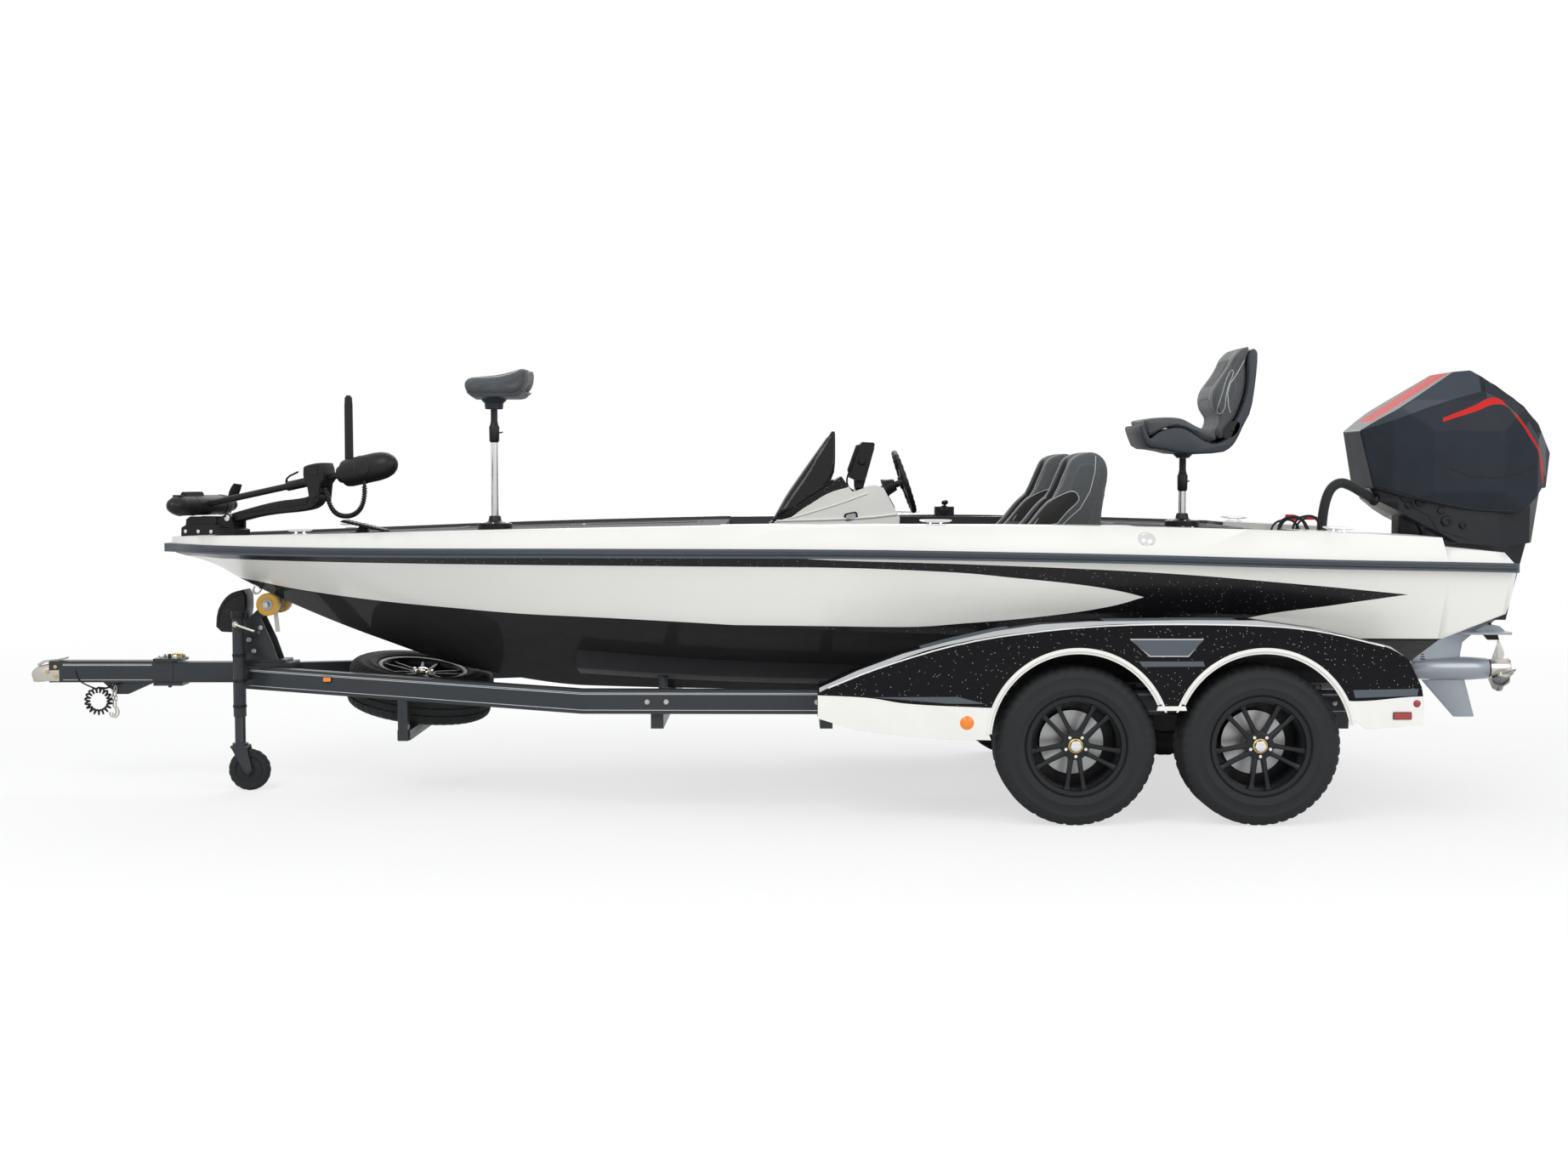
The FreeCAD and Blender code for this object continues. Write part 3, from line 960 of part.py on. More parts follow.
bunk_wires = []
for row in stations(-1020, 2780):
    x = row["x"]
    inner, outer = bottom_z(x, bunk_low), bottom_z(x, bunk_high)
    corners = [V(x, bunk_low, inner - cell("bunk_h")), V(x, bunk_high, inner - cell("bunk_h") + 40),
               V(x, bunk_high, outer), V(x, bunk_low, inner)]
    bunk_wires.append(Part.makePolygon(corners + corners[:1]))
lowered = hull.copy()
lowered.translate(V(0, 0, -cell("seat_gap")))
bunk = Part.makeLoft(bunk_wires, True, True).cut(lowered)
bunk = max(bunk.Solids, key=lambda part: part.Volume)
post_shapes = []
for x in CROSS_X:
    post = box_shape((x - 22, x + 22), (cell("bunk_y") - 26, cell("bunk_y") + 26), (cell("keel_z") - 60, 780))
    post = post.cut([bunk, hull])
    post_shapes.append(min(post.Solids, key=lambda part: part.CenterOfMass.z))
tall = [s for post in post_shapes for s in both_sides(post)]
steel = steel.fuse(tall).removeSplitter()
keep(solid("Bunks", Part.makeCompound(both_sides(bunk))), "bunks")

# Winch stand with its rollers, clear of the stem.
stand = fuse(
    "Stand_parts",
    *[slab(f"Stand_plate_{n}", "XZ", [
        ("-2812", "tongue_top_z"), ("-2600", "tongue_top_z"), ("-2640", "760"), ("-2690", "868"),
        ("roller_x + 14", "roller_z - 26"), ("roller_x + 20", "roller_z + 18"), ("roller_x - 18", "roller_z + 20"),
        ("-2740", "880"), ("-2790", "838"), ("-2820", "790")], low, high)
      for n, (low, high) in enumerate((("-64", "-56"), ("56", "64")))],
    block("Stand_web", ("-2800", "-2690"), ("-60", "60"), ("tongue_top_z", "790")),
    block("Stand_foot", ("-2830", "-2560"), ("-74", "74"), ("tongue_top_z - 4", "tongue_top_z + 10")),
    rod("Roller_axle", "11", ("roller_x", "-170", "roller_z"), "y", "340"))
keep(stand, "winch_post")
winch = slab("Winch", "XZ", [
    ("-2925", "800"), ("-2800", "792"), ("-2790", "842"), ("-2764", "884"), ("-2757", "1023"),
    ("-2830", "1010"), ("-2890", "958"), ("-2920", "900")], "-78", "78")
keep(cut("Winch_drum", winch, stand), "winch")
rollers = []
for sign in ("-", ""):
    low = "roller_in" if sign == "" else "-roller_in - roller_w"
    rollers.append(cut(f"Roller_{len(rollers)}", rod(f"Roller_body_{len(rollers)}", "roller_r",
                                                    ("roller_x", low, "roller_z"), "y", "roller_w"),
                       rod(f"Roller_bore_{len(rollers)}", "11 + pin_gap", ("roller_x", low, "roller_z"), "y",
                           "roller_w")))
for roller, side_name in zip(rollers, ("port", "starboard")):
    keep(roller, f"{side_name}_bow_roller")

# Tongue, pinned straight ahead at its swing-away joint, and the coupler.
tongue = [block("Tongue_beam", ("coupler_x + 108", "hitch_x + 38"), ("-tongue_half", "tongue_half"),
                ("tongue_top_z - tongue_h", "tongue_top_z")),
          block("Tongue_ear_top", ("hitch_x - 60", "hitch_x + 90"), ("-58", "58"),
                ("tongue_top_z + 0.5", "tongue_top_z + 14")),
          block("Tongue_ear_low", ("hitch_x - 60", "hitch_x + 90"), ("-58", "58"),
                ("tongue_top_z - tongue_h - 16", "tongue_top_z - tongue_h - 0.5")),
          slab("Tongue_gusset", "XZ", [("hitch_x - 330", "tongue_top_z - tongue_h + 1"), ("hitch_x - 260",
               "tongue_top_z - tongue_h - 62"), ("hitch_x - 200", "tongue_top_z - tongue_h - 62"),
               ("hitch_x - 60", "tongue_top_z - tongue_h + 1")], "-30", "30"),
          rod("Swing_pin", "9", ("hitch_x + 8", "0", "tongue_top_z - tongue_h - 30"), "z", "tongue_h + 64")]
steel_frame = keep(solid("Frame", steel), "trailer_frame")
keep(cut("Tongue", fuse("Tongue_parts", *tongue), steel_frame), "trailer_tongue")
coupler = fuse("Coupler_parts",
               block("Coupler_sleeve", ("coupler_x + 50", "coupler_x + 107.7"), ("-44", "44"),
                     ("tongue_top_z - 104", "tongue_top_z - 6")),
               slab("Coupler_nose", "XZ", [("coupler_x", "tongue_top_z - 92"), ("coupler_x + 90",
                    "tongue_top_z - 104"), ("coupler_x + 90", "tongue_top_z - 10"),
                    ("coupler_x + 30", "tongue_top_z - 24"), ("coupler_x", "tongue_top_z - 48")], "-40", "40"))
ball = doc.addObject("Part::Sphere", "Ball_hollow")
bind(ball, Radius="ball_r", x="coupler_x + 45", z="tongue_top_z - 92")
keep(cut("Coupler", coupler, ball), "coupler")

# Axles: a torsion tube across the frame, an arm and a spindle at each end.
axle_parts = []
for end in ("front", "rear"):
    x = f"axle_{end}_x"
    axle_parts.append(block(f"Axle_tube_{end}", (f"{x} - 168", f"{x} - 92"), ("-rail_y", "rail_y"),
                            ("rail_top_z - rail_h - 78", "rail_top_z - rail_h + 10")))
    for sign, (low, high) in (("-", ("-rail_y - 44", "-rail_y + 20")), ("", ("rail_y - 20", "rail_y + 44"))):
        axle_parts.append(slab(f"Axle_arm_{end}_{sign or 'p'}".replace("-", "m"), "XZ", [
            (f"{x} - 165", "tyre_r + 32"), (f"{x} + 10", "tyre_r - 34"), (f"{x} + 34", "tyre_r"),
            (f"{x} + 10", "tyre_r + 34"), (f"{x} - 150", "tyre_r + 104")], low, high))
        start = "-rail_y - 248" if sign else "rail_y + 30"
        axle_parts.append(rod(f"Spindle_{end}_{sign or 'p'}".replace("-", "m"), "spindle_r", (x, start, "tyre_r"),
                              "y", "218"))
keep(cut("Axles", fuse("Axle_parts", *axle_parts), steel_frame), "axles")

# Fenders over both wheels of a side, with an outer skirt, a top skin and arms to the frame.
CROWN = [(153, 504), (153, 640), (329, 720), (536, 798), (742, 853), (950, 900), (1157, 931), (1382, 945),
         (1846, 951), (2135, 949), (2426, 908), (2620, 862), (2742, 831), (2826, 772), (2887, 647), (2900, 564),
         (2897, 475)]
FOOT = [(328, 451), (536, 425), (742, 409), (939, 405)]
skin, arch = cell("fender_skin"), cell("tyre_r") + cell("arch_gap")
arch_z = cell("tyre_r") + cell("arch_rise")


def arch_points(axle_x, first, last):
    """The edge of a wheel arch between two directions in degrees."""
    turns = [first + (last - first) * n / 12 for n in range(13)]
    return [(axle_x + arch * math.cos(math.radians(t)), arch_z + arch * math.sin(math.radians(t))) for t in turns]


edge = (FOOT + arch_points(cell("axle_front_x"), 174, 18) + arch_points(cell("axle_rear_x"), 162, 14))
skirt_outline = CROWN + [(2640, 455)] + edge[::-1]
inner_crown = []
for before, here, after in zip(CROWN[:1] + CROWN, CROWN, CROWN[1:] + CROWN[-1:]):
    run, climb = after[0] - before[0], after[1] - before[1]
    size = math.hypot(run, climb)
    inner_crown.append((here[0] + skin * climb / size, here[1] - skin * run / size))
skirt = prism(skirt_outline, (cell("fender_y") - skin, cell("fender_y")))
crown = prism(CROWN + inner_crown[::-1], (cell("fender_in"), cell("fender_y") - skin))
arms = [box_shape((x - 16, x + 16), (cell("rail_y") + cell("seat_gap"), cell("fender_y") - skin), (z, z + 42))
        for x, z in ((262, 520), (1756, 548), (2760, 520))]
fender = skirt.fuse([crown] + arms).removeSplitter()
keep(solid("Fenders", Part.makeCompound(both_sides(fender))), "fenders")

# Jack with a leg that slides in its tube, a swivel fork and its wheel.
tube_wall = cut("Jack_tube_wall",
                fuse("Jack_tube_parts",
                     rod("Jack_tube_outer", "jack_tube_r", ("jack_x", "jack_y", "jack_bottom_z"), "z",
                         "jack_top_z - jack_bottom_z"),
                     rod("Jack_cap", "jack_tube_r + 6", ("jack_x", "jack_y", "jack_top_z - 30"), "z", "30"),
                     block("Jack_bracket", ("jack_x - 34", "jack_x + 34"), ("jack_y", "-40"),
                           ("tongue_top_z - 86", "tongue_top_z - 26")),
                     rod("Jack_crank_pin", "9", ("jack_x", "jack_y - 60", "jack_top_z - 60"), "y", "60")),
                rod("Jack_tube_inner", "jack_tube_r - jack_wall", ("jack_x", "jack_y", "jack_bottom_z"), "z",
                    "jack_top_z - jack_bottom_z - 20"))
keep(cut("Jack_tube", tube_wall, steel_frame), "jack_tube")
leg_parts = fuse("Jack_leg_parts",
                 rod("Jack_leg_bar", "jack_tube_r - jack_wall - pin_gap", ("jack_x", "jack_y", "jack_leg_z"), "z",
                     "jack_top_z - jack_leg_z - 160"),
                 rod("Jack_collar", "jack_tube_r + 8", ("jack_x", "jack_y", "jack_leg_z"), "z", "10"))
keep(cut("Jack_leg", leg_parts, rod("Jack_leg_bore", "12 + pin_gap", ("jack_x", "jack_y", "jack_leg_z"), "z",
                                    "24")), "jack_leg")
fork = [slab(f"Fork_plate_{n}", "XZ", [
    ("jack_x - 40", "jack_leg_z - 4"), ("jack_x + caster_back - 22", "caster_r"),
    ("jack_x + caster_back", "caster_r - 24"), ("jack_x + caster_back + 22", "caster_r"),
    ("jack_x + 42", "jack_leg_z - 4")], f"jack_y + {low}", f"jack_y + {high}")
    for n, (low, high) in enumerate((("-44", "-36"), ("36", "44")))]
fork.append(block("Fork_top", ("jack_x - 40", "jack_x + 42"), ("jack_y - 44", "jack_y + 44"),
                  ("jack_leg_z - 12", "jack_leg_z - seat_gap")))
fork.append(rod("Fork_pin", "12", ("jack_x", "jack_y", "jack_leg_z - 8"), "z", "22"))
fork.append(rod("Fork_axle", "9", ("jack_x + caster_back", "jack_y - 48", "caster_r"), "y", "96"))
keep(fuse("Caster_fork", *fork), "caster_fork")
keep(cut("Caster_wheel",
         rod("Caster_body", "caster_r", ("jack_x + caster_back", "jack_y - caster_w / 2", "caster_r"), "y",
             "caster_w"),
         rod("Caster_bore", "9 + pin_gap", ("jack_x + caster_back", "jack_y - caster_w / 2", "caster_r"), "y",
             "caster_w")), "caster_wheel")

# Spare wheel, lying on its carrier between the rails and leaning a little.
spare_at = (f"{SPARE_X:.3f}", "0", "spare_z")
keep(place(rim_shape("Spare_rim"), spare_at, lie), "spare_rim")
keep(place(tyre_shape("Spare_tyre"), spare_at, lie), "spare_tyre")

# Marker and tail lamps on the fenders and the rails.
LAMPS = [  # kind, x, y, z, length, width, height
    ("marker_lamps", -2290, 334, 568, 46, 34, 26),
    ("marker_lamps", 827, 1276, 478, 40, 12, 24),
    ("tail_lamps", 2900, 1190, 500, 12, 110, 60),
    ("tail_lamps", 2800, 1276, 500, 84, 12, 34),
]
for kind in ("marker_lamps", "tail_lamps"):
    lamps = []
    for label, x, y, z, length, width, height in LAMPS:
        if label == kind:
            lamps += both_sides(box_shape((x - length / 2, x + length / 2), (y - width, y), (z, z + height)))
    keep(solid(kind.title(), Part.makeCompound(lamps).cut([piece("fenders").Shape, steel])), kind)

doc.recompute()
os.makedirs("parts", exist_ok=True)
broken = [o.Name for o in doc.Objects if {"Invalid", "Error"} & set(o.State)]
broken += [n.Label for n in NODES if n.Shape.isNull() or not n.Shape.isValid() or n.Shape.Volume < 1]
if broken:
    raise RuntimeError("not sound: " + ", ".join(broken))
for node in NODES:
    node.Shape.exportStep(f"parts/{node.Label}.step")
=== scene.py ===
"""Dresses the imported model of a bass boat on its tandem-axle trailer and sets up the picture.

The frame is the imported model's own: metres, +X aft, +Y to starboard and +Z up, with the origin on the
ground. Each sub-assembly is a class that builds its pieces in place and lets every piece ride on the body
that carries it.
"""
from __future__ import annotations

import logging
import math
from dataclasses import dataclass
from enum import Enum
from typing import Callable, Iterable, Sequence

import bmesh
import bpy
from mathutils import Matrix, Vector
from mathutils.bvhtree import BVHTree

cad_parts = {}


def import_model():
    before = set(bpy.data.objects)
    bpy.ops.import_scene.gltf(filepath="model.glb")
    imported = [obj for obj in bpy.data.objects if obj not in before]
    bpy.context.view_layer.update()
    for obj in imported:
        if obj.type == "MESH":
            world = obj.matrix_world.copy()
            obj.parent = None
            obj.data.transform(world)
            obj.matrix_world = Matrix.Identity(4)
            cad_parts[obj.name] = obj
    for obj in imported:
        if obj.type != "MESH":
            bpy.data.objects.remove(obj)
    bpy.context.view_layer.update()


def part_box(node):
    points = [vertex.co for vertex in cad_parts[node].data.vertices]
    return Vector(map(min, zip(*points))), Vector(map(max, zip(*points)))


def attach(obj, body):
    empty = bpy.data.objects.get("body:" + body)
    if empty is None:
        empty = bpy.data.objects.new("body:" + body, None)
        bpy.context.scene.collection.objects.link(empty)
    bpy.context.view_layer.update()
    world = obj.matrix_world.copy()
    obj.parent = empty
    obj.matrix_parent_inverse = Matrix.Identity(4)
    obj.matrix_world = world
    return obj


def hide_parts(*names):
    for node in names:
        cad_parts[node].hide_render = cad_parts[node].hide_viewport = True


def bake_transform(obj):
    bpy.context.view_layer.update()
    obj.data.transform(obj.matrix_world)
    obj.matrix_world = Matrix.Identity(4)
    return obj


LOG = logging.getLogger("bass_boat")
Point = Sequence[float]
PORT, STARBOARD = -1.0, 1.0
SIDES = {"port": PORT, "starboard": STARBOARD}


class Grain(Enum):
    """The fine surface of a finish."""

    SMOOTH = "smooth"
    FLAKE = "flake"
    PILE = "pile"
    WEAVE = "weave"
    MOULDED = "moulded"
    LEATHER = "leather"
    BRUSHED = "brushed"
    CLEAR = "clear"


@dataclass(frozen=True)
class Finish:
    """One surface finish, as procedural nodes."""

    name: str
    slot: str
    colour: tuple[float, float, float]
    grain: Grain = Grain.SMOOTH
    rough: float = 0.4
    metal: float = 0.0
    coat: float = 0.0
    scale: float = 60.0
    depth: float = 0.0001
    second: tuple[float, float, float] | None = None
    shine: float = 0.25

    def material(self) -> bpy.types.Material:
        """Return the finish's material, made on first use."""
        known = bpy.data.materials.get(f"{self.name}_coat")
        return known or Shader(self.name).dress(self)


class Shader:
    """A material's node tree under construction."""

    def __init__(self, name: str) -> None:
        """Start an opaque material with one surface shader."""
        self.material = bpy.data.materials.new(f"{name}_coat")
        self.material.use_nodes = True
        self.tree = self.material.node_tree
        self.surface = self.tree.nodes["Principled BSDF"]
        self.place = self.node("ShaderNodeTexCoord").outputs["Object"]

    def node(self, kind: str, **sockets: object) -> bpy.types.Node:
        """Add a node and set or link the inputs named in sockets."""
        made = self.tree.nodes.new(kind)
        for key, value in sockets.items():
            self.feed(made.inputs[key.replace("_", " ")], value)
        return made

    def feed(self, socket: bpy.types.NodeSocket, value: object) -> None:
        """Link an output to a socket, or set the socket's own value."""
        if isinstance(value, bpy.types.NodeSocket):
            self.tree.links.new(value, socket)
        else:
            socket.default_value = value

    def maths(self, operation: str, first: object, second: object = 0.0) -> bpy.types.NodeSocket:
        """Return the result of one calculation on two numbers."""
        made = self.tree.nodes.new("ShaderNodeMath")
        made.operation = operation
        self.feed(made.inputs[0], first)
        self.feed(made.inputs[1], second)
        return made.outputs[0]

    def noise(self, scale: float, detail: float = 3.0) -> bpy.types.NodeSocket:
        """Return smooth noise from 0 to 1 over the piece."""
        return self.node("ShaderNodeTexNoise", Vector=self.place, Scale=scale, Detail=detail).outputs[0]

    def between(self, factor: object, low: float, high: float) -> bpy.types.NodeSocket:
        """Return factor stretched from 0..1 to low..high."""
        made = self.node("ShaderNodeMapRange", Value=factor)
        made.inputs["To Min"].default_value = low
        made.inputs["To Max"].default_value = high
        return made.outputs["Result"]

    def blend(self, factor: object, first: object, second: object) -> bpy.types.NodeSocket:
        """Return a mix of two colours."""
        made = self.tree.nodes.new("ShaderNodeMix")
        made.data_type = "RGBA"
        for socket, value in zip((made.inputs[0], made.inputs[6], made.inputs[7]), (factor, first, second)):
            self.feed(socket, (*value, 1.0) if isinstance(value, tuple) else value)
        return made.outputs[2]

    def curve(self, value: object, points: Sequence[Point]) -> bpy.types.NodeSocket:
        """Return the height at value of straight runs between points, both given in metres."""
        low_x, high_x = points[0][0], points[-1][0]
        low_z, high_z = min(p[1] for p in points), max(p[1] for p in points) + 1e-4
        made = self.tree.nodes.new("ShaderNodeFloatCurve")
        line = made.mapping.curves[0]
        spots = [((x - low_x) / (high_x - low_x), (z - low_z) / (high_z - low_z)) for x, z in points]
        for spot in spots[1:-1]:
            line.points.new(*spot)
        line.points[0].location, line.points[-1].location = spots[0], spots[-1]
        for point in line.points:
            point.handle_type = "AUTO_CLAMPED"
        made.mapping.update()
        share = self.node("ShaderNodeMapRange", Value=value)
        share.inputs["From Min"].default_value, share.inputs["From Max"].default_value = low_x, high_x
        self.feed(made.inputs["Value"], share.outputs["Result"])
        return self.between(made.outputs["Value"], low_z, high_z)

    def speckle(self, ground: object, speck: tuple[float, float, float]) -> bpy.types.NodeSocket:
        """Return a ground colour with small bright flakes in it."""
        cells = self.node("ShaderNodeTexVoronoi", Vector=self.place, Scale=130.0)
        near = self.maths("LESS_THAN", cells.outputs["Distance"], 0.17)
        shade = self.node("ShaderNodeSeparateColor", Color=cells.outputs["Color"])
        few = self.maths("GREATER_THAN", shade.outputs[0], 0.8)
        light = self.maths("MULTIPLY", self.maths("MULTIPLY", near, few), shade.outputs[1])
        return self.blend(light, ground, speck)

    def threads(self, scale: float) -> bpy.types.NodeSocket:
        """Return the height of crossing threads, from 0 to 1."""
        bands = []
        for direction in ("X", "Y", "Z"):
            made = self.node("ShaderNodeTexWave", Vector=self.place, Scale=scale, Distortion=0.8)
            made.bands_direction = direction
            bands.append(made.outputs["Fac"])
        return self.maths("MULTIPLY", self.maths("MAXIMUM", bands[0], bands[1]), bands[2])

    def coat_of(self, finish: Finish) -> tuple[bpy.types.NodeSocket, bpy.types.NodeSocket,
            bpy.types.NodeSocket]:
        """Build a finish's colour, roughness and height.

        Args:
            finish: the colours and the grain to build.

        Returns:
            The three outputs; the height is in metres.
        """
        colour, grain = finish.colour, finish.grain
        # deep and pale are a painted shade and a painted highlight: pile and weave are coloured darker in
        # their low hollows and lighter on their raised tops.
        deep, pale = tuple(c * 0.45 for c in colour), tuple(c * 1.5 for c in colour)
        rough = self.between(self.noise(9.0), finish.rough * 0.85, finish.rough * 1.15)
        tone = self.blend(self.noise(finish.scale / 8), tuple(c * 0.88 for c in colour), finish.second or
            colour)
        if grain is Grain.PILE:
            height = self.noise(finish.scale * 6, 6.0)
            # Painted shade in the pile's hollows and painted highlight on its tips, following the pile's
            # height.
            tone = self.blend(height, deep, pale)
        elif grain is Grain.WEAVE:
            height = self.threads(finish.scale)
            # Painted shade between the threads and painted highlight on their tops, following the weave's
            # height.
            tone = self.blend(height, deep, pale)
        elif grain is Grain.LEATHER:
            cells = self.node("ShaderNodeTexVoronoi", Vector=self.place, Scale=finish.scale * 5)
            cells.feature = "DISTANCE_TO_EDGE"
            height = self.maths("MINIMUM", cells.outputs["Distance"], 0.25)
        elif grain is Grain.BRUSHED:
            stretched = self.node("ShaderNodeMapping", Vector=self.place)
            stretched.inputs["Scale"].default_value = (1.0, 30.0, 30.0)
            height = self.node("ShaderNodeTexNoise", Vector=stretched.outputs[0],
                Scale=finish.scale).outputs[0]
        else:
            height = self.noise(finish.scale * (9 if grain is Grain.MOULDED else 1), 4.0)
        if grain is Grain.FLAKE:
            tone = self.speckle(tone, (0.8, 0.8, 0.78))
        return tone, rough, self.maths("MULTIPLY", height, finish.depth)

    def dress(self, base: Finish, *over: tuple[Finish, bpy.types.NodeSocket]) -> bpy.types.Material:
        """Build a finish, and others painted over it where their masks are 1.

        Args:
            base: the finish below, which also says how metallic and how glossy the whole is.
            over: the finishes painted over it, each with its mask.

        Returns:
            The finished material.
        """
        surface = self.surface.inputs
        surface["Metallic"].default_value = base.metal
        surface["Coat Weight"].default_value = base.coat
        surface["Coat Roughness"].default_value = 0.06
        surface["Specular IOR Level"].default_value = base.shine
        if base.grain in (Grain.PILE, Grain.WEAVE):
            surface["Sheen Weight"].default_value = 0.25
        if base.grain is Grain.CLEAR:
            surface["Transmission Weight"].default_value = 0.6
            surface["IOR"].default_value = 1.35
        colour, rough, height = self.coat_of(base)
        for finish, mask in over:
            painted = self.coat_of(finish)
            colour = self.blend(mask, colour, painted[0])
            rough = self.either(mask, rough, painted[1])
            height = self.either(mask, height, painted[2])
        self.feed(surface["Base Color"], colour)
        self.feed(surface["Roughness"], rough)
        relief = self.node("ShaderNodeBump", Height=height, Strength=1.0, Distance=1.0)
        self.feed(surface["Normal"], relief.outputs["Normal"])
        return self.material

    def either(self, mask: object, first: object, second: object) -> bpy.types.NodeSocket:
        """Return the first number where mask is 0 and the second where it is 1."""
        made = self.node("ShaderNodeMix")
        for socket, value in zip((made.inputs[0], made.inputs[2], made.inputs[3]), (mask, first, second)):
            self.feed(socket, value)
        return made.outputs[0]

    def axes(self) -> tuple[bpy.types.NodeSocket, bpy.types.NodeSocket, bpy.types.NodeSocket]:
        """Return the place along the boat, the distance from its centre plane and the height."""
        made = self.node("ShaderNodeSeparateXYZ", Vector=self.place)
        return made.outputs["X"], self.maths("ABSOLUTE", made.outputs["Y"]), made.outputs["Z"]

    def both(self, *masks: bpy.types.NodeSocket) -> bpy.types.NodeSocket:
        """Return a mask that is 1 where all the masks are 1."""
        found = masks[0]
        for mask in masks[1:]:
            found = self.maths("MULTIPLY", found, mask)
        return found

    def flip(self, mask: bpy.types.NodeSocket) -> bpy.types.NodeSocket:
        """Return a mask that is 1 where the given one is 0."""
        return self.maths("SUBTRACT", 1.0, mask)

    def under(self, value: object, limit: object) -> bpy.types.NodeSocket:
        """Return a mask that is 1 where value is under limit."""
        return self.maths("LESS_THAN", value, limit)

    def span(self, value: object, low: float, high: float) -> bpy.types.NodeSocket:
        """Return a mask that is 1 where value lies between two numbers."""
        return self.both(self.maths("GREATER_THAN", value, low), self.under(value, high))


GELCOAT = Finish("gelcoat", "gelcoat", (0.83, 0.82, 0.775), rough=0.22, coat=0.15, scale=12, depth=0.00003)
DECK_GELCOAT = Finish("deck_gelcoat", "deck_gelcoat", (0.82, 0.81, 0.77), rough=0.25, coat=0.15, scale=12,
    depth=0.00003)
FLAKE = Finish("metal_flake", "flake_black", (0.004, 0.004, 0.005), Grain.FLAKE, rough=0.3, coat=0.05,
    shine=0.1)
CARPET = Finish("deck_carpet", "carpet", (0.05, 0.046, 0.052), Grain.PILE, rough=0.95, scale=90,
    depth=0.0015)
BOTTOM = Finish("bottom_paint", "gelcoat", (0.011, 0.011, 0.011), rough=0.92, depth=0.00005, shine=0.08)
BUNK_CARPET = Finish("bunk_carpet", "bunk_carpet", (0.03, 0.03, 0.033), Grain.PILE, rough=0.95, scale=90,
    depth=0.0015)
RAIL = Finish("rub_rail_vinyl", "rail_rubber", (0.075, 0.088, 0.105), Grain.MOULDED, rough=0.38,
    depth=0.00015)
RAIL_INSERT = Finish("rail_insert", "rail_rubber", (0.04, 0.046, 0.055), Grain.MOULDED, rough=0.3,
    depth=0.0001)
HOSE = Finish("hose_sleeve", "rail_rubber", (0.012, 0.013, 0.015), Grain.WEAVE, rough=0.6, scale=120)
BLACK_PLASTIC = Finish("black_plastic", "black_plastic", (0.01, 0.01, 0.011), Grain.MOULDED, rough=0.42,
    depth=0.00025)
SCREEN = Finish("display_glass", "black_plastic", (0.004, 0.004, 0.005), rough=0.06, coat=1.0, depth=0.)
SMOKED = Finish("smoked_acrylic", "smoked_glass", (0.035, 0.035, 0.038), Grain.CLEAR, rough=0.04)
FABRIC = Finish("grey_weave", "seat_fabric", (0.085, 0.092, 0.096), Grain.WEAVE, rough=0.75, scale=70,
    depth=0.0006)
INSERT = Finish("black_insert", "seat_fabric", (0.02, 0.018, 0.017), Grain.WEAVE, rough=0.8, scale=95,
    depth=0.0006)
PIPING = Finish("pale_piping", "seat_fabric", (0.42, 0.43, 0.43), Grain.LEATHER, rough=0.5, depth=0.0001)
SEAT_SHELL = Finish("seat_shell", "slate_plastic", (0.045, 0.052, 0.062), Grain.MOULDED, rough=0.5,
    depth=0.0003)
BLACK_METAL = Finish("black_powder_coat", "black_metal", (0.012, 0.012, 0.013), Grain.MOULDED, rough=0.4,
    depth=0.00015)
CHROME = Finish("polished_stainless", "chrome", (0.78, 0.78, 0.78), Grain.BRUSHED, rough=0.12, metal=1.0,
    depth=0.00005)
COWL = Finish("cowl_paint", "cowl_paint", (0.016, 0.02, 0.027), rough=0.42, depth=0.00002, shine=0.12,
    second=(0.022, 0.028, 0.036))
COWL_RED = Finish("cowl_stripe", "cowl_paint", (0.55, 0.016, 0.014), rough=0.45, depth=0.00002, shine=0.1)
LEG = Finish("leg_paint", "leg_paint", (0.012, 0.014, 0.017), rough=0.28, coat=0.15, depth=0.00005)
GEARCASE = Finish("gearcase_silver", "gearcase_paint", (0.36, 0.39, 0.43), rough=0.3, metal=0.35, coat=0.3,
    depth=0.00005)
POLISHED = Finish("polished_blade", "polished_steel", (0.62, 0.6, 0.57), Grain.BRUSHED, rough=0.14,
    metal=1.0)
TRAILER = Finish("trailer_paint", "trailer_paint", (0.03, 0.034, 0.038), rough=0.35, coat=0.1, scale=30,
    depth=0.00008)
STRIPE = Finish("pin_stripe", "trailer_paint", (0.5, 0.52, 0.53), rough=0.35, depth=0.00002)
FENDER = Finish("fender_flake", "fender_paint", (0.004, 0.004, 0.005), Grain.FLAKE, rough=0.3, coat=0.05,
    shine=0.1)
LIP = Finish("fender_lip", "fender_paint", (0.8, 0.79, 0.75), rough=0.25, coat=0.5, depth=0.00002)
GREY_TRIM = Finish("fender_trim", "fender_paint", (0.46, 0.47, 0.48), rough=0.3, coat=0.5, depth=0.00002)
PAD = Finish("step_pad", "fender_paint", (0.085, 0.1, 0.115), Grain.MOULDED, rough=0.7, depth=0.0006)
TYRE = Finish("tyre_rubber", "tyre", (0.016, 0.017, 0.018), Grain.MOULDED, rough=0.62, depth=0.0003)
RIM = Finish("satin_black_rim", "rim_paint", (0.01, 0.011, 0.013), rough=0.35, coat=0.05, depth=0.00005)
DISC = Finish("brake_disc", "zinc", (0.42, 0.42, 0.42), Grain.BRUSHED, rough=0.3, metal=1.0)
ZINC = Finish("zinc_plate", "zinc", (0.52, 0.51, 0.46), Grain.BRUSHED, rough=0.35, metal=0.9)
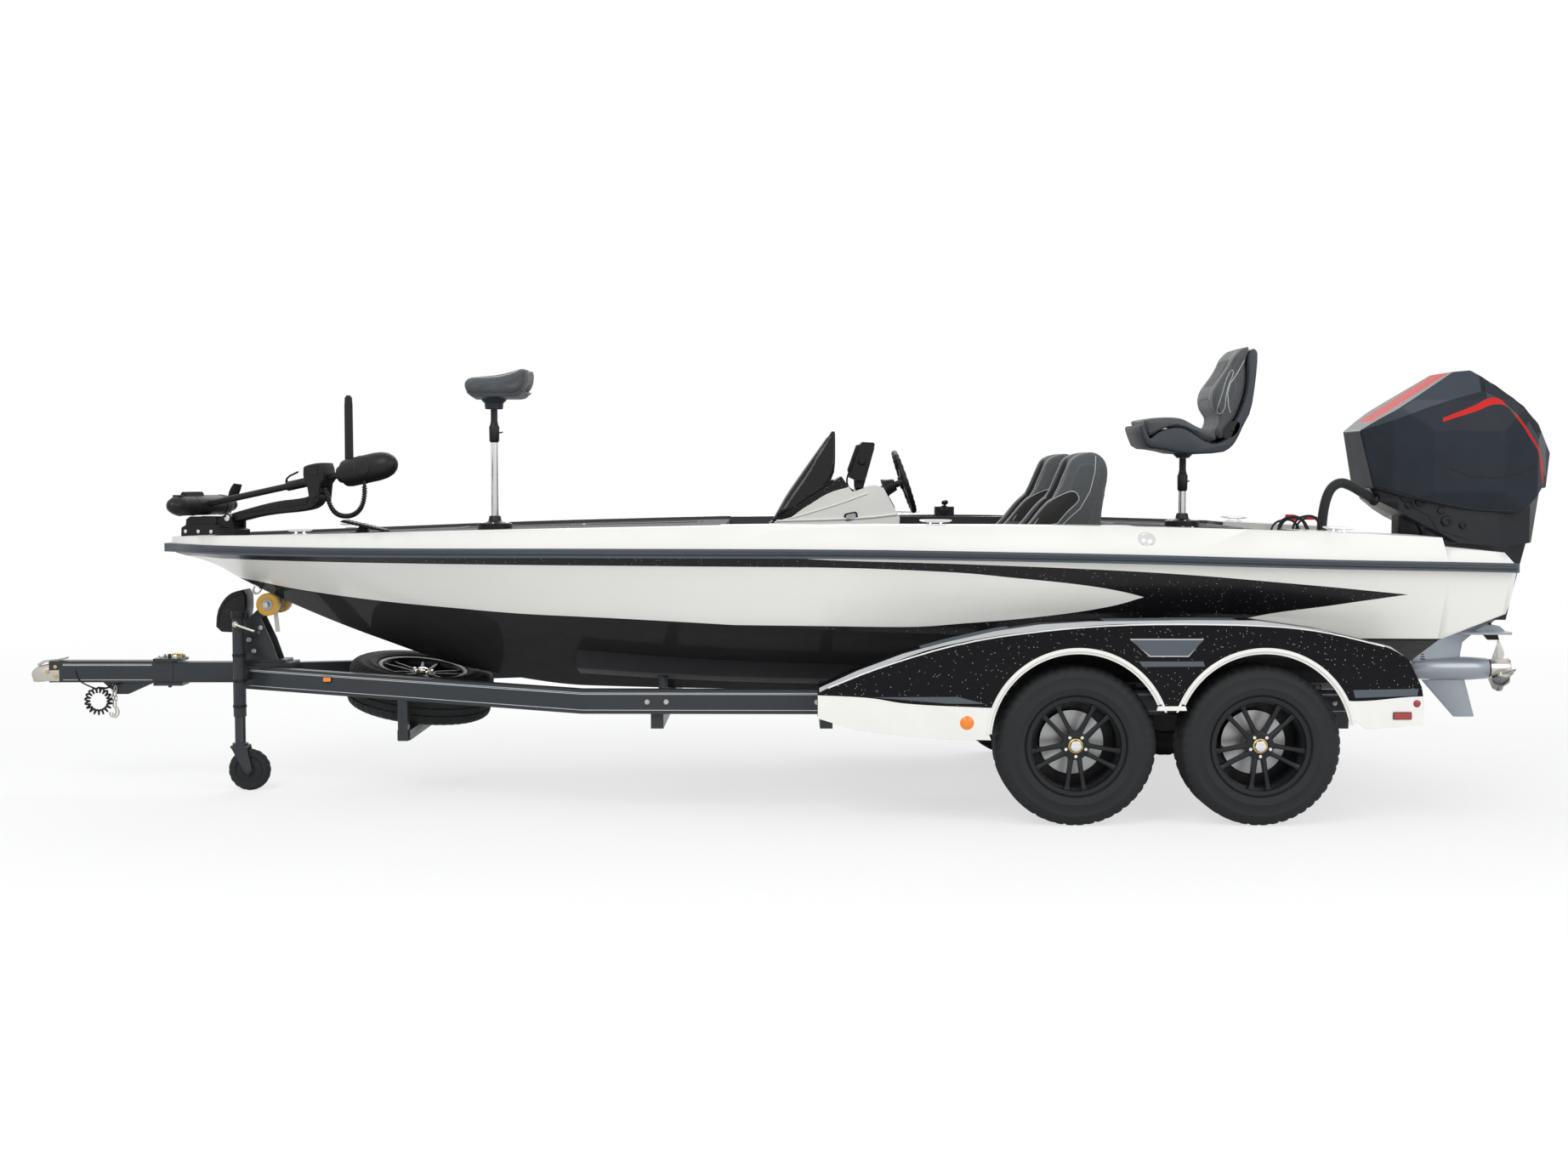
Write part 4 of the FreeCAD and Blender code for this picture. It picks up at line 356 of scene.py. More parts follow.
BRASS = Finish("yellow_zinc", "zinc", (0.58, 0.42, 0.14), Grain.BRUSHED, rough=0.3, metal=0.9)
AMBER = Finish("amber_poly", "amber", (0.62, 0.32, 0.015), rough=0.18, coat=0.8, depth=0.00003,
    second=(0.72, 0.4, 0.03))
AMBER_LENS = Finish("amber_lens", "amber", (0.85, 0.22, 0.01), rough=0.12, coat=1.0, depth=0.00002)
RED_LENS = Finish("red_lens", "red_lens", (0.34, 0.012, 0.016), rough=0.15, coat=1.0, depth=0.00002)


class Shell:
    """The vertices and faces of one piece under construction."""

    def __init__(self) -> None:
        """Start an empty piece."""
        self.points: list[Vector] = []
        self.faces: list[tuple[int, ...]] = []
        self.marks: list[int] = []

    def add(self, points: Iterable[Point], faces: Iterable[Sequence[int]], mark: int = 0) -> "Shell":
        """Add points, and faces that count from the first of them."""
        start = len(self.points)
        self.points += [Vector(p) for p in points]
        for face in faces:
            self.faces.append(tuple(start + i for i in face))
            self.marks.append(mark)
        return self

    def loft(self, rings: Sequence[Sequence[Point]], closed: bool = True, capped: bool = True, mark: int =
            0, looped: bool = False) -> "Shell":
        """Skin a row of rings that all have as many points.

        Args:
            rings: the sections, in order.
            closed: whether each ring goes round.
            capped: whether the first and last ring get a face each.
            mark: the index of the finish.
            looped: whether the last ring joins the first.

        Returns:
            This shell.
        """
        count = len(rings[0])
        span = count if closed else count - 1
        faces: list[tuple[int, ...]] = []
        rows = len(rings) if looped else len(rings) - 1
        for row in range(rows):
            here, there = row * count, ((row + 1) % len(rings)) * count
            faces += [(here + i, here + (i + 1) % count, there + (i + 1) % count, there + i) for i in
                range(span)]
        if capped and closed and not looped:
            faces += [tuple(range(count))[::-1], tuple(range((len(rings) - 1) * count, len(rings) * count))]
        return self.add([p for ring in rings for p in ring], faces, mark)

    def prism(self, outline: Sequence[Point], low: float, high: float, plane: str = "XZ", mark: int =
            0) -> "Shell":
        """Carry an outline in one of the frame's planes from low to high along the third axis."""
        place = {"XZ": lambda a, b, c: (a, c, b), "XY": lambda a, b, c: (a, b, c), "YZ": lambda a, b, c: (c,
                a, b)}
        rings = [[place[plane](a, b, c) for a, b in outline] for c in (low, high)]
        return self.loft(rings, mark=mark)

    def block(self, low: Point, high: Point, mark: int = 0) -> "Shell":
        """Add a box between two corners."""
        outline = [(low[0], low[1]), (high[0], low[1]), (high[0], high[1]), (low[0], high[1])]
        return self.prism(outline, low[2], high[2], "XY", mark)

    def lathe(self, profile: Sequence[Point], centre: Point, axis: Point, steps: int = 48, mark: int = 0,
            dent: Callable[[int, int], float] | None = None) -> "Shell":
        """Turn a profile of (radius, distance along the axis) about an axis.

        Args:
            profile: radii and distances; a radius of 0 at an end closes it.
            centre: a point on the axis, where the distance is 0.
            axis: the axis.
            steps: how many sections there are round it.
            mark: the index of the finish.
            dent: how much a radius shrinks at a step and a profile point.

        Returns:
            This shell.
        """
        along = Vector(axis).normalized()
        across = along.orthogonal().normalized()
        if abs(along.y) > 0.9:
            across = Vector((1, 0, 0))
        other = along.cross(across)
        rings = []
        for index, (radius, distance) in enumerate(profile):
            ring = []
            for step in range(steps):
                turn = 2 * math.pi * step / steps
                reach = max(radius - (dent(step, index) if dent else 0.0), 1e-5)
                ring.append(Vector(centre) + along * distance + (across * math.cos(turn) + other *
                    math.sin(turn)) * reach)
            rings.append(ring)
        return self.loft(rings, mark=mark, capped=True)

    def tube(self, points: Sequence[Point], radius: float | Sequence[float], sides: int = 14, mark: int = 0,
            smooth: int = 0) -> "Shell":
        """Run a round bar along points, which smooth rounds that many times over."""
        path = [Vector(p) for p in points]
        for _ in range(smooth):
            path = [path[0]] + [q for a, b in zip(path, path[1:]) for q in (a.lerp(b, 0.25), a.lerp(b,
                0.75))] + [path[-1]]
        across = (path[1] - path[0]).orthogonal().normalized()
        rings = []
        for index, here in enumerate(path):
            ahead = (path[min(index + 1, len(path) - 1)] - path[max(index - 1, 0)]).normalized()
            across = (across - ahead * across.dot(ahead)).normalized()
            other = ahead.cross(across)
            size = radius if isinstance(radius, float) else radius[min(index, len(radius) - 1)]
            rings.append([here + (across * math.cos(t) + other * math.sin(t)) * size for t in (2 * math.pi *
                k / sides for k in range(sides))])
        return self.loft(rings, mark=mark)

    def moved(self, matrix: Matrix) -> "Shell":
        """Move every point of the shell."""
        self.points = [matrix @ p for p in self.points]
        return self

    def joined(self, other: "Shell", matrix: Matrix | None = None) -> "Shell":
        """Add another shell's points and faces, moved by a matrix."""
        start = len(self.points)
        self.points += [(matrix @ p if matrix else p.copy()) for p in other.points]
        self.faces += [tuple(start + i for i in face) for face in other.faces]
        self.marks += other.marks
        return self

    def mirrored(self) -> "Shell":
        """Add the mirror image across the boat's centre plane."""
        start = len(self.points)
        self.points += [Vector((p.x, -p.y, p.z)) for p in self.points]
        self.faces += [tuple(start + i for i in reversed(face)) for face in self.faces[:]]
        self.marks += self.marks[:]
        return self

    def piece(self, name: str, finishes: Finish | Sequence[Finish], body: str = "root", bevel: float = 0.0,
            rounds: int = 0, soft: float = 35.0, replaces: Sequence[str] = ()) -> bpy.types.Object:
        """Make the Blender object.

        Args:
            name: the piece's name.
            finishes: its finish, or one for each mark.
            body: the body it rides on.
            bevel: how wide its sharp edges are rounded, in metres.
            rounds: how many times its surface is subdivided.
            soft: the largest angle between faces that shade smoothly, in degrees.
            replaces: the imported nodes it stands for.

        Returns:
            The object.
        """
        finishes = [finishes] if isinstance(finishes, Finish) else list(finishes)
        mesh = bpy.data.meshes.new(name)
        mesh.from_pydata(self.points, [], self.faces)
        for finish in finishes:
            mesh.materials.append(finish.material())
        mesh.polygons.foreach_set("material_index", self.marks)
        return settle(mesh, name, body, bevel, rounds, soft, replaces)


def settle(mesh: bpy.types.Mesh, name: str, body: str, bevel: float = 0.0, rounds: int = 0, soft:
        float = 35.0, replaces: Sequence[str] = (), flat: bool = False) -> bpy.types.Object:
    """Turn a mesh into a piece that rides on its body; flat joins the triangles of each flat face."""
    tidy = bmesh_of(mesh)
    bmesh.ops.remove_doubles(tidy, verts=tidy.verts, dist=1e-5)
    bmesh.ops.recalc_face_normals(tidy, faces=tidy.faces)
    if flat:
        bmesh.ops.dissolve_limit(tidy, angle_limit=math.radians(0.6), verts=tidy.verts, edges=tidy.edges)
    tidy.to_mesh(mesh)
    tidy.free()
    mesh.shade_smooth()
    mesh.set_sharp_from_angle(angle=math.radians(soft))
    made = bpy.data.objects.new(name, mesh)
    bpy.context.scene.collection.objects.link(made)
    if bevel:
        edge = made.modifiers.new("edges", "BEVEL")
        edge.width, edge.segments, edge.limit_method = bevel, 2, "ANGLE"
        edge.angle_limit = math.radians(soft)
        edge.harden_normals = True
    if flat:
        made.modifiers.new("normals", "WEIGHTED_NORMAL").keep_sharp = True
    if rounds:
        surface = made.modifiers.new("surface", "SUBSURF")
        surface.levels = surface.render_levels = rounds
    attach(made, body)
    if replaces:
        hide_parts(*replaces)
    LOG.info("%s: %d faces on %s", name, len(mesh.polygons), body)
    return made


def bmesh_of(mesh: bpy.types.Mesh) -> bmesh.types.BMesh:
    """Return an editable copy of a mesh."""
    made = bmesh.new()
    made.from_mesh(mesh)
    return made


def node_copy(node: str, finish: Finish, body: str = "root", soft: float = 30.0, bevel: float = 0.0, flat:
        bool = False) -> bpy.types.Object:
    """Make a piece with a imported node's own shape, shaded smoothly where it curves."""
    source = bpy.data.objects[node]
    mesh = source.data.copy()
    mesh.transform(source.matrix_world)
    mesh.materials.clear()
    mesh.materials.append(finish.material())
    return settle(mesh, f"{node}_skin", body, bevel, 0, soft, [node], flat)


def dress_nodes(finish: Finish, *nodes: str) -> None:
    """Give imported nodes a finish."""
    for node in nodes:
        made = bpy.data.objects[node]
        made.data.materials.clear()
        made.data.materials.append(finish.material())
        LOG.info("%s: dressed in %s", node, finish.name)


def arc(centre: Point, radius: float, start: float, end: float, steps: int = 12) -> list[tuple[float,
        float]]:
    """Return the points of an arc in a plane, its angles in degrees."""
    turns = [math.radians(start + (end - start) * n / steps) for n in range(steps + 1)]
    return [(centre[0] + radius * math.cos(t), centre[1] + radius * math.sin(t)) for t in turns]


def at(x: float = 0.0, y: float = 0.0, z: float = 0.0) -> Matrix:
    """Return a shift."""
    return Matrix.Translation((x, y, z))


def spin(degrees: float, axis: str) -> Matrix:
    """Return a turn about one of the frame's axes."""
    return Matrix.Rotation(math.radians(degrees), 4, axis)


def straight(rows: Sequence[Point], columns: Sequence[str], x: float) -> dict[str, float]:
    """Return a table's values at x, by a smooth curve that doesn't overshoot between its rows.

    Args:
        rows: the table, whose first column is x.
        columns: the names of the columns.
        x: where to read it.

    Returns:
        The values by column name.
    """
    x = min(max(x, rows[0][0]), rows[-1][0])
    index = max(i for i in range(len(rows) - 1) if rows[i][0] <= x)
    before, after = rows[index], rows[index + 1]
    run = after[0] - before[0]
    share = (x - before[0]) / run
    found = {}
    for column, name in enumerate(columns):
        slopes = []
        for here in (index, index + 1):
            steps = [(b[column] - a[column]) / (b[0] - a[0]) for a, b in zip(rows, rows[1:])]
            left, right = steps[max(here - 1, 0)], steps[min(here, len(steps) - 1)]
            slopes.append(0.0 if left * right <= 0 else 2 * left * right / (left + right))
        found[name] = (before[column] * (1 + 2 * share) * (1 - share) ** 2 + after[column] * share ** 2 * (3
            - 2 * share) + run * (slopes[0] * share * (1 - share) ** 2 + slopes[1] * share ** 2 * (share -
            1)))
    return found


class Surface:
    """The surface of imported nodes, to set fittings on."""

    def __init__(self, *nodes: str) -> None:
        """Gather the nodes' triangles."""
        points: list[Vector] = []
        faces: list[list[int]] = []
        for node in nodes:
            mesh = bpy.data.objects[node].data
            start = len(points)
            points += [v.co.copy() for v in mesh.vertices]
            faces += [[start + i for i in face.vertices] for face in mesh.polygons]
        self.tree = BVHTree.FromPolygons(points, faces)

    def point(self, start: Point, direction: Point) -> Vector:
        """Return where a ray first meets the surface."""
        return self.tree.ray_cast(Vector(start), Vector(direction).normalized())[0]

    def seat(self, start: Point, direction: Point, forward: Point = (1, 0, 0)) -> Matrix:
        """Return a frame where a ray meets the surface, with Z out of it and X along forward."""
        where, normal, _, _ = self.tree.ray_cast(Vector(start), Vector(direction).normalized())
        if normal.dot(Vector(direction)) > 0:
            normal = -normal
        ahead = (Vector(forward) - normal * normal.dot(Vector(forward))).normalized()
        made = Matrix((ahead, normal.cross(ahead), normal)).transposed().to_4x4()
        return Matrix.Translation(where) @ made




@dataclass
class Hull:
    """The hull, deck moulding, rub rail, casting decks and deck hardware on the trailer."""

    nose: float = -3.133
    keel: float = 0.503
    well: tuple[float, float] = (-0.3, 1.64)
    well_half: float = 0.78
    gunwale: float = 0.095
    transom: float = 3.03
    lift: float = 0.0016
    columns: tuple[str, ...] = ("x", "pad_y", "keel_z", "chine_y", "chine_z", "joint_y", "joint_z", "top_y",
        "top_z")
    rows: tuple[tuple[float, ...], ...] = ((0.000, 0.008, 0.702, 0.025, 0.708, 0.1, 0.733, 0.07, 0.785),
        (0.173, 0.012, 0.655, 0.04, 0.667, 0.33, 0.735, 0.27, 0.795), (0.373, 0.015, 0.549, 0.06, 0.565,
        0.5, 0.735, 0.42, 0.801), (0.633, 0.03, 0.427, 0.25, 0.533, 0.655, 0.735, 0.56, 0.808),
        (1.033, 0.045, 0.269, 0.47, 0.497, 0.83, 0.736, 0.725, 0.82), (1.533, 0.06, 0.109, 0.68, 0.463,
        0.975, 0.739, 0.865, 0.837), (2.133, 0.06, 0.02, 0.85, 0.434, 1.09, 0.743, 0.975, 0.853),
        (3.133, 0.06, 0.002, 0.985, 0.389, 1.175, 0.744, 1.06, 0.871), (4.533, 0.06, 0.000, 1.035, 0.349,
        1.208, 0.725, 1.093, 0.867), (5.633, 0.06, 0.000, 1.04, 0.339, 1.205, 0.697, 1.09, 0.839),
        (6.163, 0.06, 0.000, 1.035, 0.335, 1.195, 0.687, 1.08, 0.815),)
    flake_top: tuple[Point, ...] = ((-3.2, 1.3), (0.0, 1.245), (0.109, 1.223), (0.851, 1.199), (1.594,
        1.167), (2.338, 1.109), (2.859, 1.059))
    flake_low: tuple[Point, ...] = ((0.5, 0.5), (1.5, 0.7), (2.136, 0.947), (2.525, 1.009), (2.859, 1.059))
    spear_top: tuple[Point, ...] = ((-3.2, 1.19), (0.109, 1.184), (0.666, 1.167), (1.075, 1.134), (1.372,
        1.102), (1.539, 1.074), (1.651, 1.046))
    spear_low: tuple[Point, ...] = ((-0.3, 0.906), (0.109, 0.904), (0.518, 0.901), (0.853, 0.921), (1.225,
        0.958), (1.484, 0.999), (1.651, 1.046))
    bottom_top: tuple[Point, ...] = ((-3.2, 1.13), (-2.757, 1.072), (-2.298, 1.018), (-1.936, 0.987),
        (-1.591, 0.966), (-1.264, 0.946), (-0.944, 0.936), (-0.644, 0.925), (-0.087, 0.899), (0.54, 0.873),
        (1.5, 0.858), (3.4, 0.845))

    def at(self, x: float) -> dict[str, float]:
        """Return the hull's section at a place along the boat."""
        found = straight(self.rows, self.columns, x - self.nose)
        for name in ("keel_z", "chine_z", "joint_z", "top_z"):
            found[name] += self.keel
        return found

    def build(self) -> None:
        """Build the boat's shell and what is fixed to its outside."""
        self.skin()
        node_copy("deck_moulding", self.moulding_paint())
        self.rail()
        self.decks()
        self.cleats()
        self.small_fittings()

    def skin(self) -> None:
        """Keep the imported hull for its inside, and lay the fair outer skin over its outside."""
        node_copy("hull", self.paint("hull_lining", True))
        outer = Shell()
        rings = []
        for step in range(151):
            x = self.nose + 0.002 + (self.transom - self.nose - 0.001) * (step / 150) ** 1.15
            row = self.at(x)
            corners = [(row["joint_y"], row["joint_z"] - 0.002), (row["chine_y"], row["chine_z"]),
                (row["pad_y"], row["keel_z"])]
            half = []
            for (ay, az), (by, bz) in zip(corners, corners[1:]):
                length = math.hypot(by - ay, bz - az)
                out_y, out_z = (az - bz) / length * self.lift, (by - ay) / length * self.lift
                half += [(ay + (by - ay) * k / 6 + out_y, az + (bz - az) * k / 6 + out_z) for k in range(7)]
            inner = [(y - 0.004, z + 0.003) for y, z in (half[-1], half[7], half[0])]
            whole = half + [(-y, z) for y, z in reversed(half)]
            whole += [(-y, z) for y, z in reversed(inner)] + inner
            rings.append([(x, y, z) for y, z in whole])
        outer.loft(rings)
        outer.piece("hull_outer_skin", self.paint("hull_paint", False), soft=22)

    def paint(self, name: str, lined: bool) -> Finish:
        """Paint the sides off-white with a band and a wedge of black flake, and the bottom matt black.

        Args:
            name: the finish's name.
            lined: whether the cockpit's floor and sides are painted too.

        Returns:
            The finish.
        """
        shader = Shader(name)
        x, y, z = shader.axes()
        top, low = shader.curve(x, self.flake_top), shader.curve(x, self.flake_low)
        spear = shader.both(shader.under(z, shader.curve(x, self.spear_top)), shader.under(x,
            self.spear_top[-1][0]), shader.flip(shader.under(z, shader.curve(x, self.spear_low))))
        band = shader.both(shader.under(z, top), shader.flip(shader.under(z, low)), shader.flip(spear),
            shader.under(x, self.flake_top[-1][0]))
        inside = shader.both(shader.under(y, self.well_half + 0.004), shader.maths("GREATER_THAN", z,
            0.866), shader.maths("GREATER_THAN", x, -1.78), shader.under(x, 3.0))
        bottom = shader.under(z, shader.curve(x, self.bottom_top))
        if lined:
            shader.dress(GELCOAT, (FLAKE, shader.both(band, shader.flip(inside))), (BOTTOM,
                shader.both(bottom, shader.flip(inside))), (CARPET, shader.both(inside, shader.span(x,
                *self.well))))
        else:
            shader.dress(GELCOAT, (FLAKE, band), (BOTTOM, bottom))
        return Finish(name, "gelcoat", GELCOAT.colour)

    def moulding_paint(self) -> Finish:
        """Paint the deck moulding off-white, with carpet down the inner faces of the cockpit."""
        shader = Shader("moulding_paint")
        x, y, _ = shader.axes()
        edge = [(row[0] + self.nose, row[7] - self.gunwale + 0.0015) for row in self.rows]
        recess = shader.both(shader.under(y, shader.curve(x, edge)), shader.flip(shader.span(x, self.well[0]
            + 0.002, self.well[1] - 0.002)), shader.under(x, 2.402))
        well = shader.both(shader.under(y, self.well_half + 0.001), shader.span(x, *self.well))
        wall = shader.maths("MAXIMUM", recess, well)
        shader.dress(DECK_GELCOAT, (CARPET, shader.both(wall, shader.maths("GREATER_THAN", x, -2.884))))
        return Finish("moulding_paint", "deck_gelcoat", DECK_GELCOAT.colour)

    def rail(self) -> None:
        """Build the rub rail with a half-round insert along its middle."""
        node_copy("rub_rail", RAIL, bevel=0.005)
        path = []
        for step in range(61):
            x = self.nose + 0.03 + (3.33 - self.nose - 0.03) * step / 60
            row = self.at(min(x, 3.03))
            drop = max(0.0, x - 3.03) / 0.315
            path.append((x, row["joint_y"] + 0.025 - 0.022 * drop, row["joint_z"] - 0.008 * drop))
        bead = Shell().tube(path, 0.009, sides=12)
        bead.mirrored().piece("rub_rail_insert", RAIL_INSERT)

    def decks(self) -> None:
        """Dress the carpeted decks and give each locker lid a binding and a flush latch."""
        dress_nodes(CARPET, "casting_decks")
        for side, sign in SIDES.items():
            for kind, latch_x in (("rod", -1.1), ("aft", 2.03)):
                node = f"{side}_{kind}_locker_lid"
                dress_nodes(CARPET, node)
                low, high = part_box(node)
                body = f"{side}_{kind}_lid"
                top = Surface(node)
                corners = [(low.x + 0.012, low.y + 0.012), (high.x - 0.012, low.y + 0.012), (high.x - 0.012,
                    high.y - 0.012), (low.x + 0.012, high.y - 0.012)]
                path = []
                for (ax, ay), (bx, by) in zip(corners, corners[1:] + corners[:1]):
                    for step in range(8):
                        x, y = ax + (bx - ax) * step / 8, ay + (by - ay) * step / 8
                        path.append(top.point((x, y, 1.6), (0, 0, -1)) + Vector((0, 0, 0.0005)))
                rings = []
                for here in path:
                    out = Vector((here.x - (low.x + high.x) / 2, here.y - (low.y + high.y) / 2,
                        0)).normalized()
                    rings.append([here - out * 0.004, here + Vector((0, 0, 0.0025)), here + out * 0.004])
                Shell().loft(rings, closed=False, looped=True).piece(f"{node}_binding", BLACK_PLASTIC, body)
                inner = low.y + 0.05 if sign > 0 else high.y - 0.05
                self.latch(node, top.seat((latch_x, inner, 1.6), (0, 0, -1)), body)

    def latch(self, node: str, seat: Matrix, body: str) -> None:
        """Set a flush pull into a lid.

        Args:
            node: the lid.
            seat: where it sits.
            body: the lid's body.
        """
        plate = Shell().prism(rounded(0.044, 0.03, 0.01), -0.001, 0.0022, "XY")
        plate.prism(rounded(0.03, 0.018, 0.006), 0.0022, 0.0026, "XY", mark=1)
        plate.lathe([(0.008, 0.0026), (0.0075, 0.0046), (0.002, 0.005)], (0.03, 0, 0), (0, 0, 1), 20)
        plate.tube([(-0.018, 0.01, 0.003), (-0.018, -0.01, 0.003)], 0.0028, sides=10)
        plate.moved(seat).piece(f"{node}_latch", (CHROME, BLACK_PLASTIC), body, bevel=0.0006)

    def cleats(self) -> None:
        """Build the horned cleats on both gunwales, and the bow light."""
        top = Surface("deck_moulding")
        cleat = Shell().prism(rounded(0.046, 0.015, 0.012), -0.002, 0.004, "XY")
        for end in (-1, 1):
            cleat.lathe([(0.0095, 0.003), (0.0065, 0.009), (0.0065, 0.022)], (end * 0.024, 0, 0), (0, 0, 1),
                16)
            cleat.lathe([(0.004, 0.004), (0.0035, 0.0055), (0.001, 0.006)], (end * 0.038, 0, 0), (0, 0, 1),
                12)
        horn = [(-0.074, 0, 0.0235), (-0.06, 0, 0.0215), (-0.03, 0, 0.0205), (0.03, 0, 0.0205), (0.06, 0,
            0.0215), (0.074, 0, 0.0235)]
        cleat.tube(horn, (0.003, 0.006, 0.0075, 0.0075, 0.006, 0.003), sides=12)
        whole = Shell()
        for x in (-2.35, 0.7, 2.56):
            for sign in SIDES.values():
                y = (self.at(x)["top_y"] - 0.04) * sign
                ahead = self.at(x + 0.05)["top_y"] - self.at(x - 0.05)["top_y"]
                whole.joined(cleat, top.seat((x, y, 1.8), (0, 0, -1), (0.1, ahead * sign, 0)))
        seat = top.seat((-2.983, 0.09, 1.8), (0, 0, -1))
        lamp = Shell().prism(rounded(0.025, 0.018, 0.01), -0.002, 0.006, "XY")
        lamp.lathe([(0.015, 0.006), (0.0165, 0.012), (0.0165, 0.02), (0.012, 0.0245), (0.002, 0.026)], (0,
            0, 0), (0, 0, 1), 24, mark=1)
        whole.joined(lamp, seat)
        whole.piece("deck_hardware", (CHROME, RED_LENS), bevel=0.0008, replaces=["deck_fittings"])

    def small_fittings(self) -> None:
        """Build the bow eye, the chrome gunwale lights, the tow eyes and the drain."""
        side = Surface("deck_moulding")
        light = Shell().lathe([(0.04, -0.004), (0.04, 0.002), (0.036, 0.006), (0.03, 0.0065)], (0, 0, 0),
            (0, 0, 1), 40)
        light.lathe([(0.03, 0.005), (0.024, 0.01), (0.012, 0.013), (0.001, 0.014)], (0, 0, 0), (0, 0, 1),
            40)
        whole = Shell()
        for sign in SIDES.values():
            whole.joined(light, side.seat((1.659, 3.0 * sign, 1.312), (0, -sign, 0)))
        whole.piece("gunwale_lights", CHROME)
        stem = Surface("hull")
        eye = stem.seat((-4.0, 0, 1.03), (1, 0, 0), (0, 0, 1))
        ring = Shell().lathe([(0.03, -0.003), (0.03, 0.003), (0.024, 0.005), (0.002, 0.005)], (0, 0, 0),
            (0, 0, 1), 24)
        loop = [(0.017, 0, -0.004), (0.019, 0, 0.02), (0.012, 0, 0.036), (0, 0, 0.042), (-0.012, 0, 0.036),
            (-0.019, 0, 0.02), (-0.017, 0, -0.004)]
        ring.tube(loop, 0.0055, sides=12, smooth=2)
        ring.moved(eye).piece("bow_eye", CHROME)
        back = Surface("hull")
        drain = Shell()
        for place in ((0.1, 0.6), (-0.46, 0.92), (0.46, 0.92)):
            where = back.seat((4.2, place[0], place[1]), (-1, 0, 0), (0, 0, 1))
            drain.joined(Shell().lathe([(0.026, -0.002), (0.026, 0.003), (0.02, 0.006), (0.009, 0.006),
                (0.009, 0.012), (0.001, 0.012)], (0, 0, 0), (0, 0, 1), 24), where)
        drain.piece("stern_fittings", CHROME)


def rounded(half_x: float, half_y: float, radius: float, steps: int = 5) -> list[tuple[float, float]]:
    """Return the outline of a rectangle with round corners."""
    points: list[tuple[float, float]] = []
    for sx, sy, start in ((1, 1, 0), (-1, 1, 90), (-1, -1, 180), (1, -1, 270)):
        points += arc((sx * (half_x - radius), sy * (half_y - radius)), radius, start, start + 90, steps)
    return points


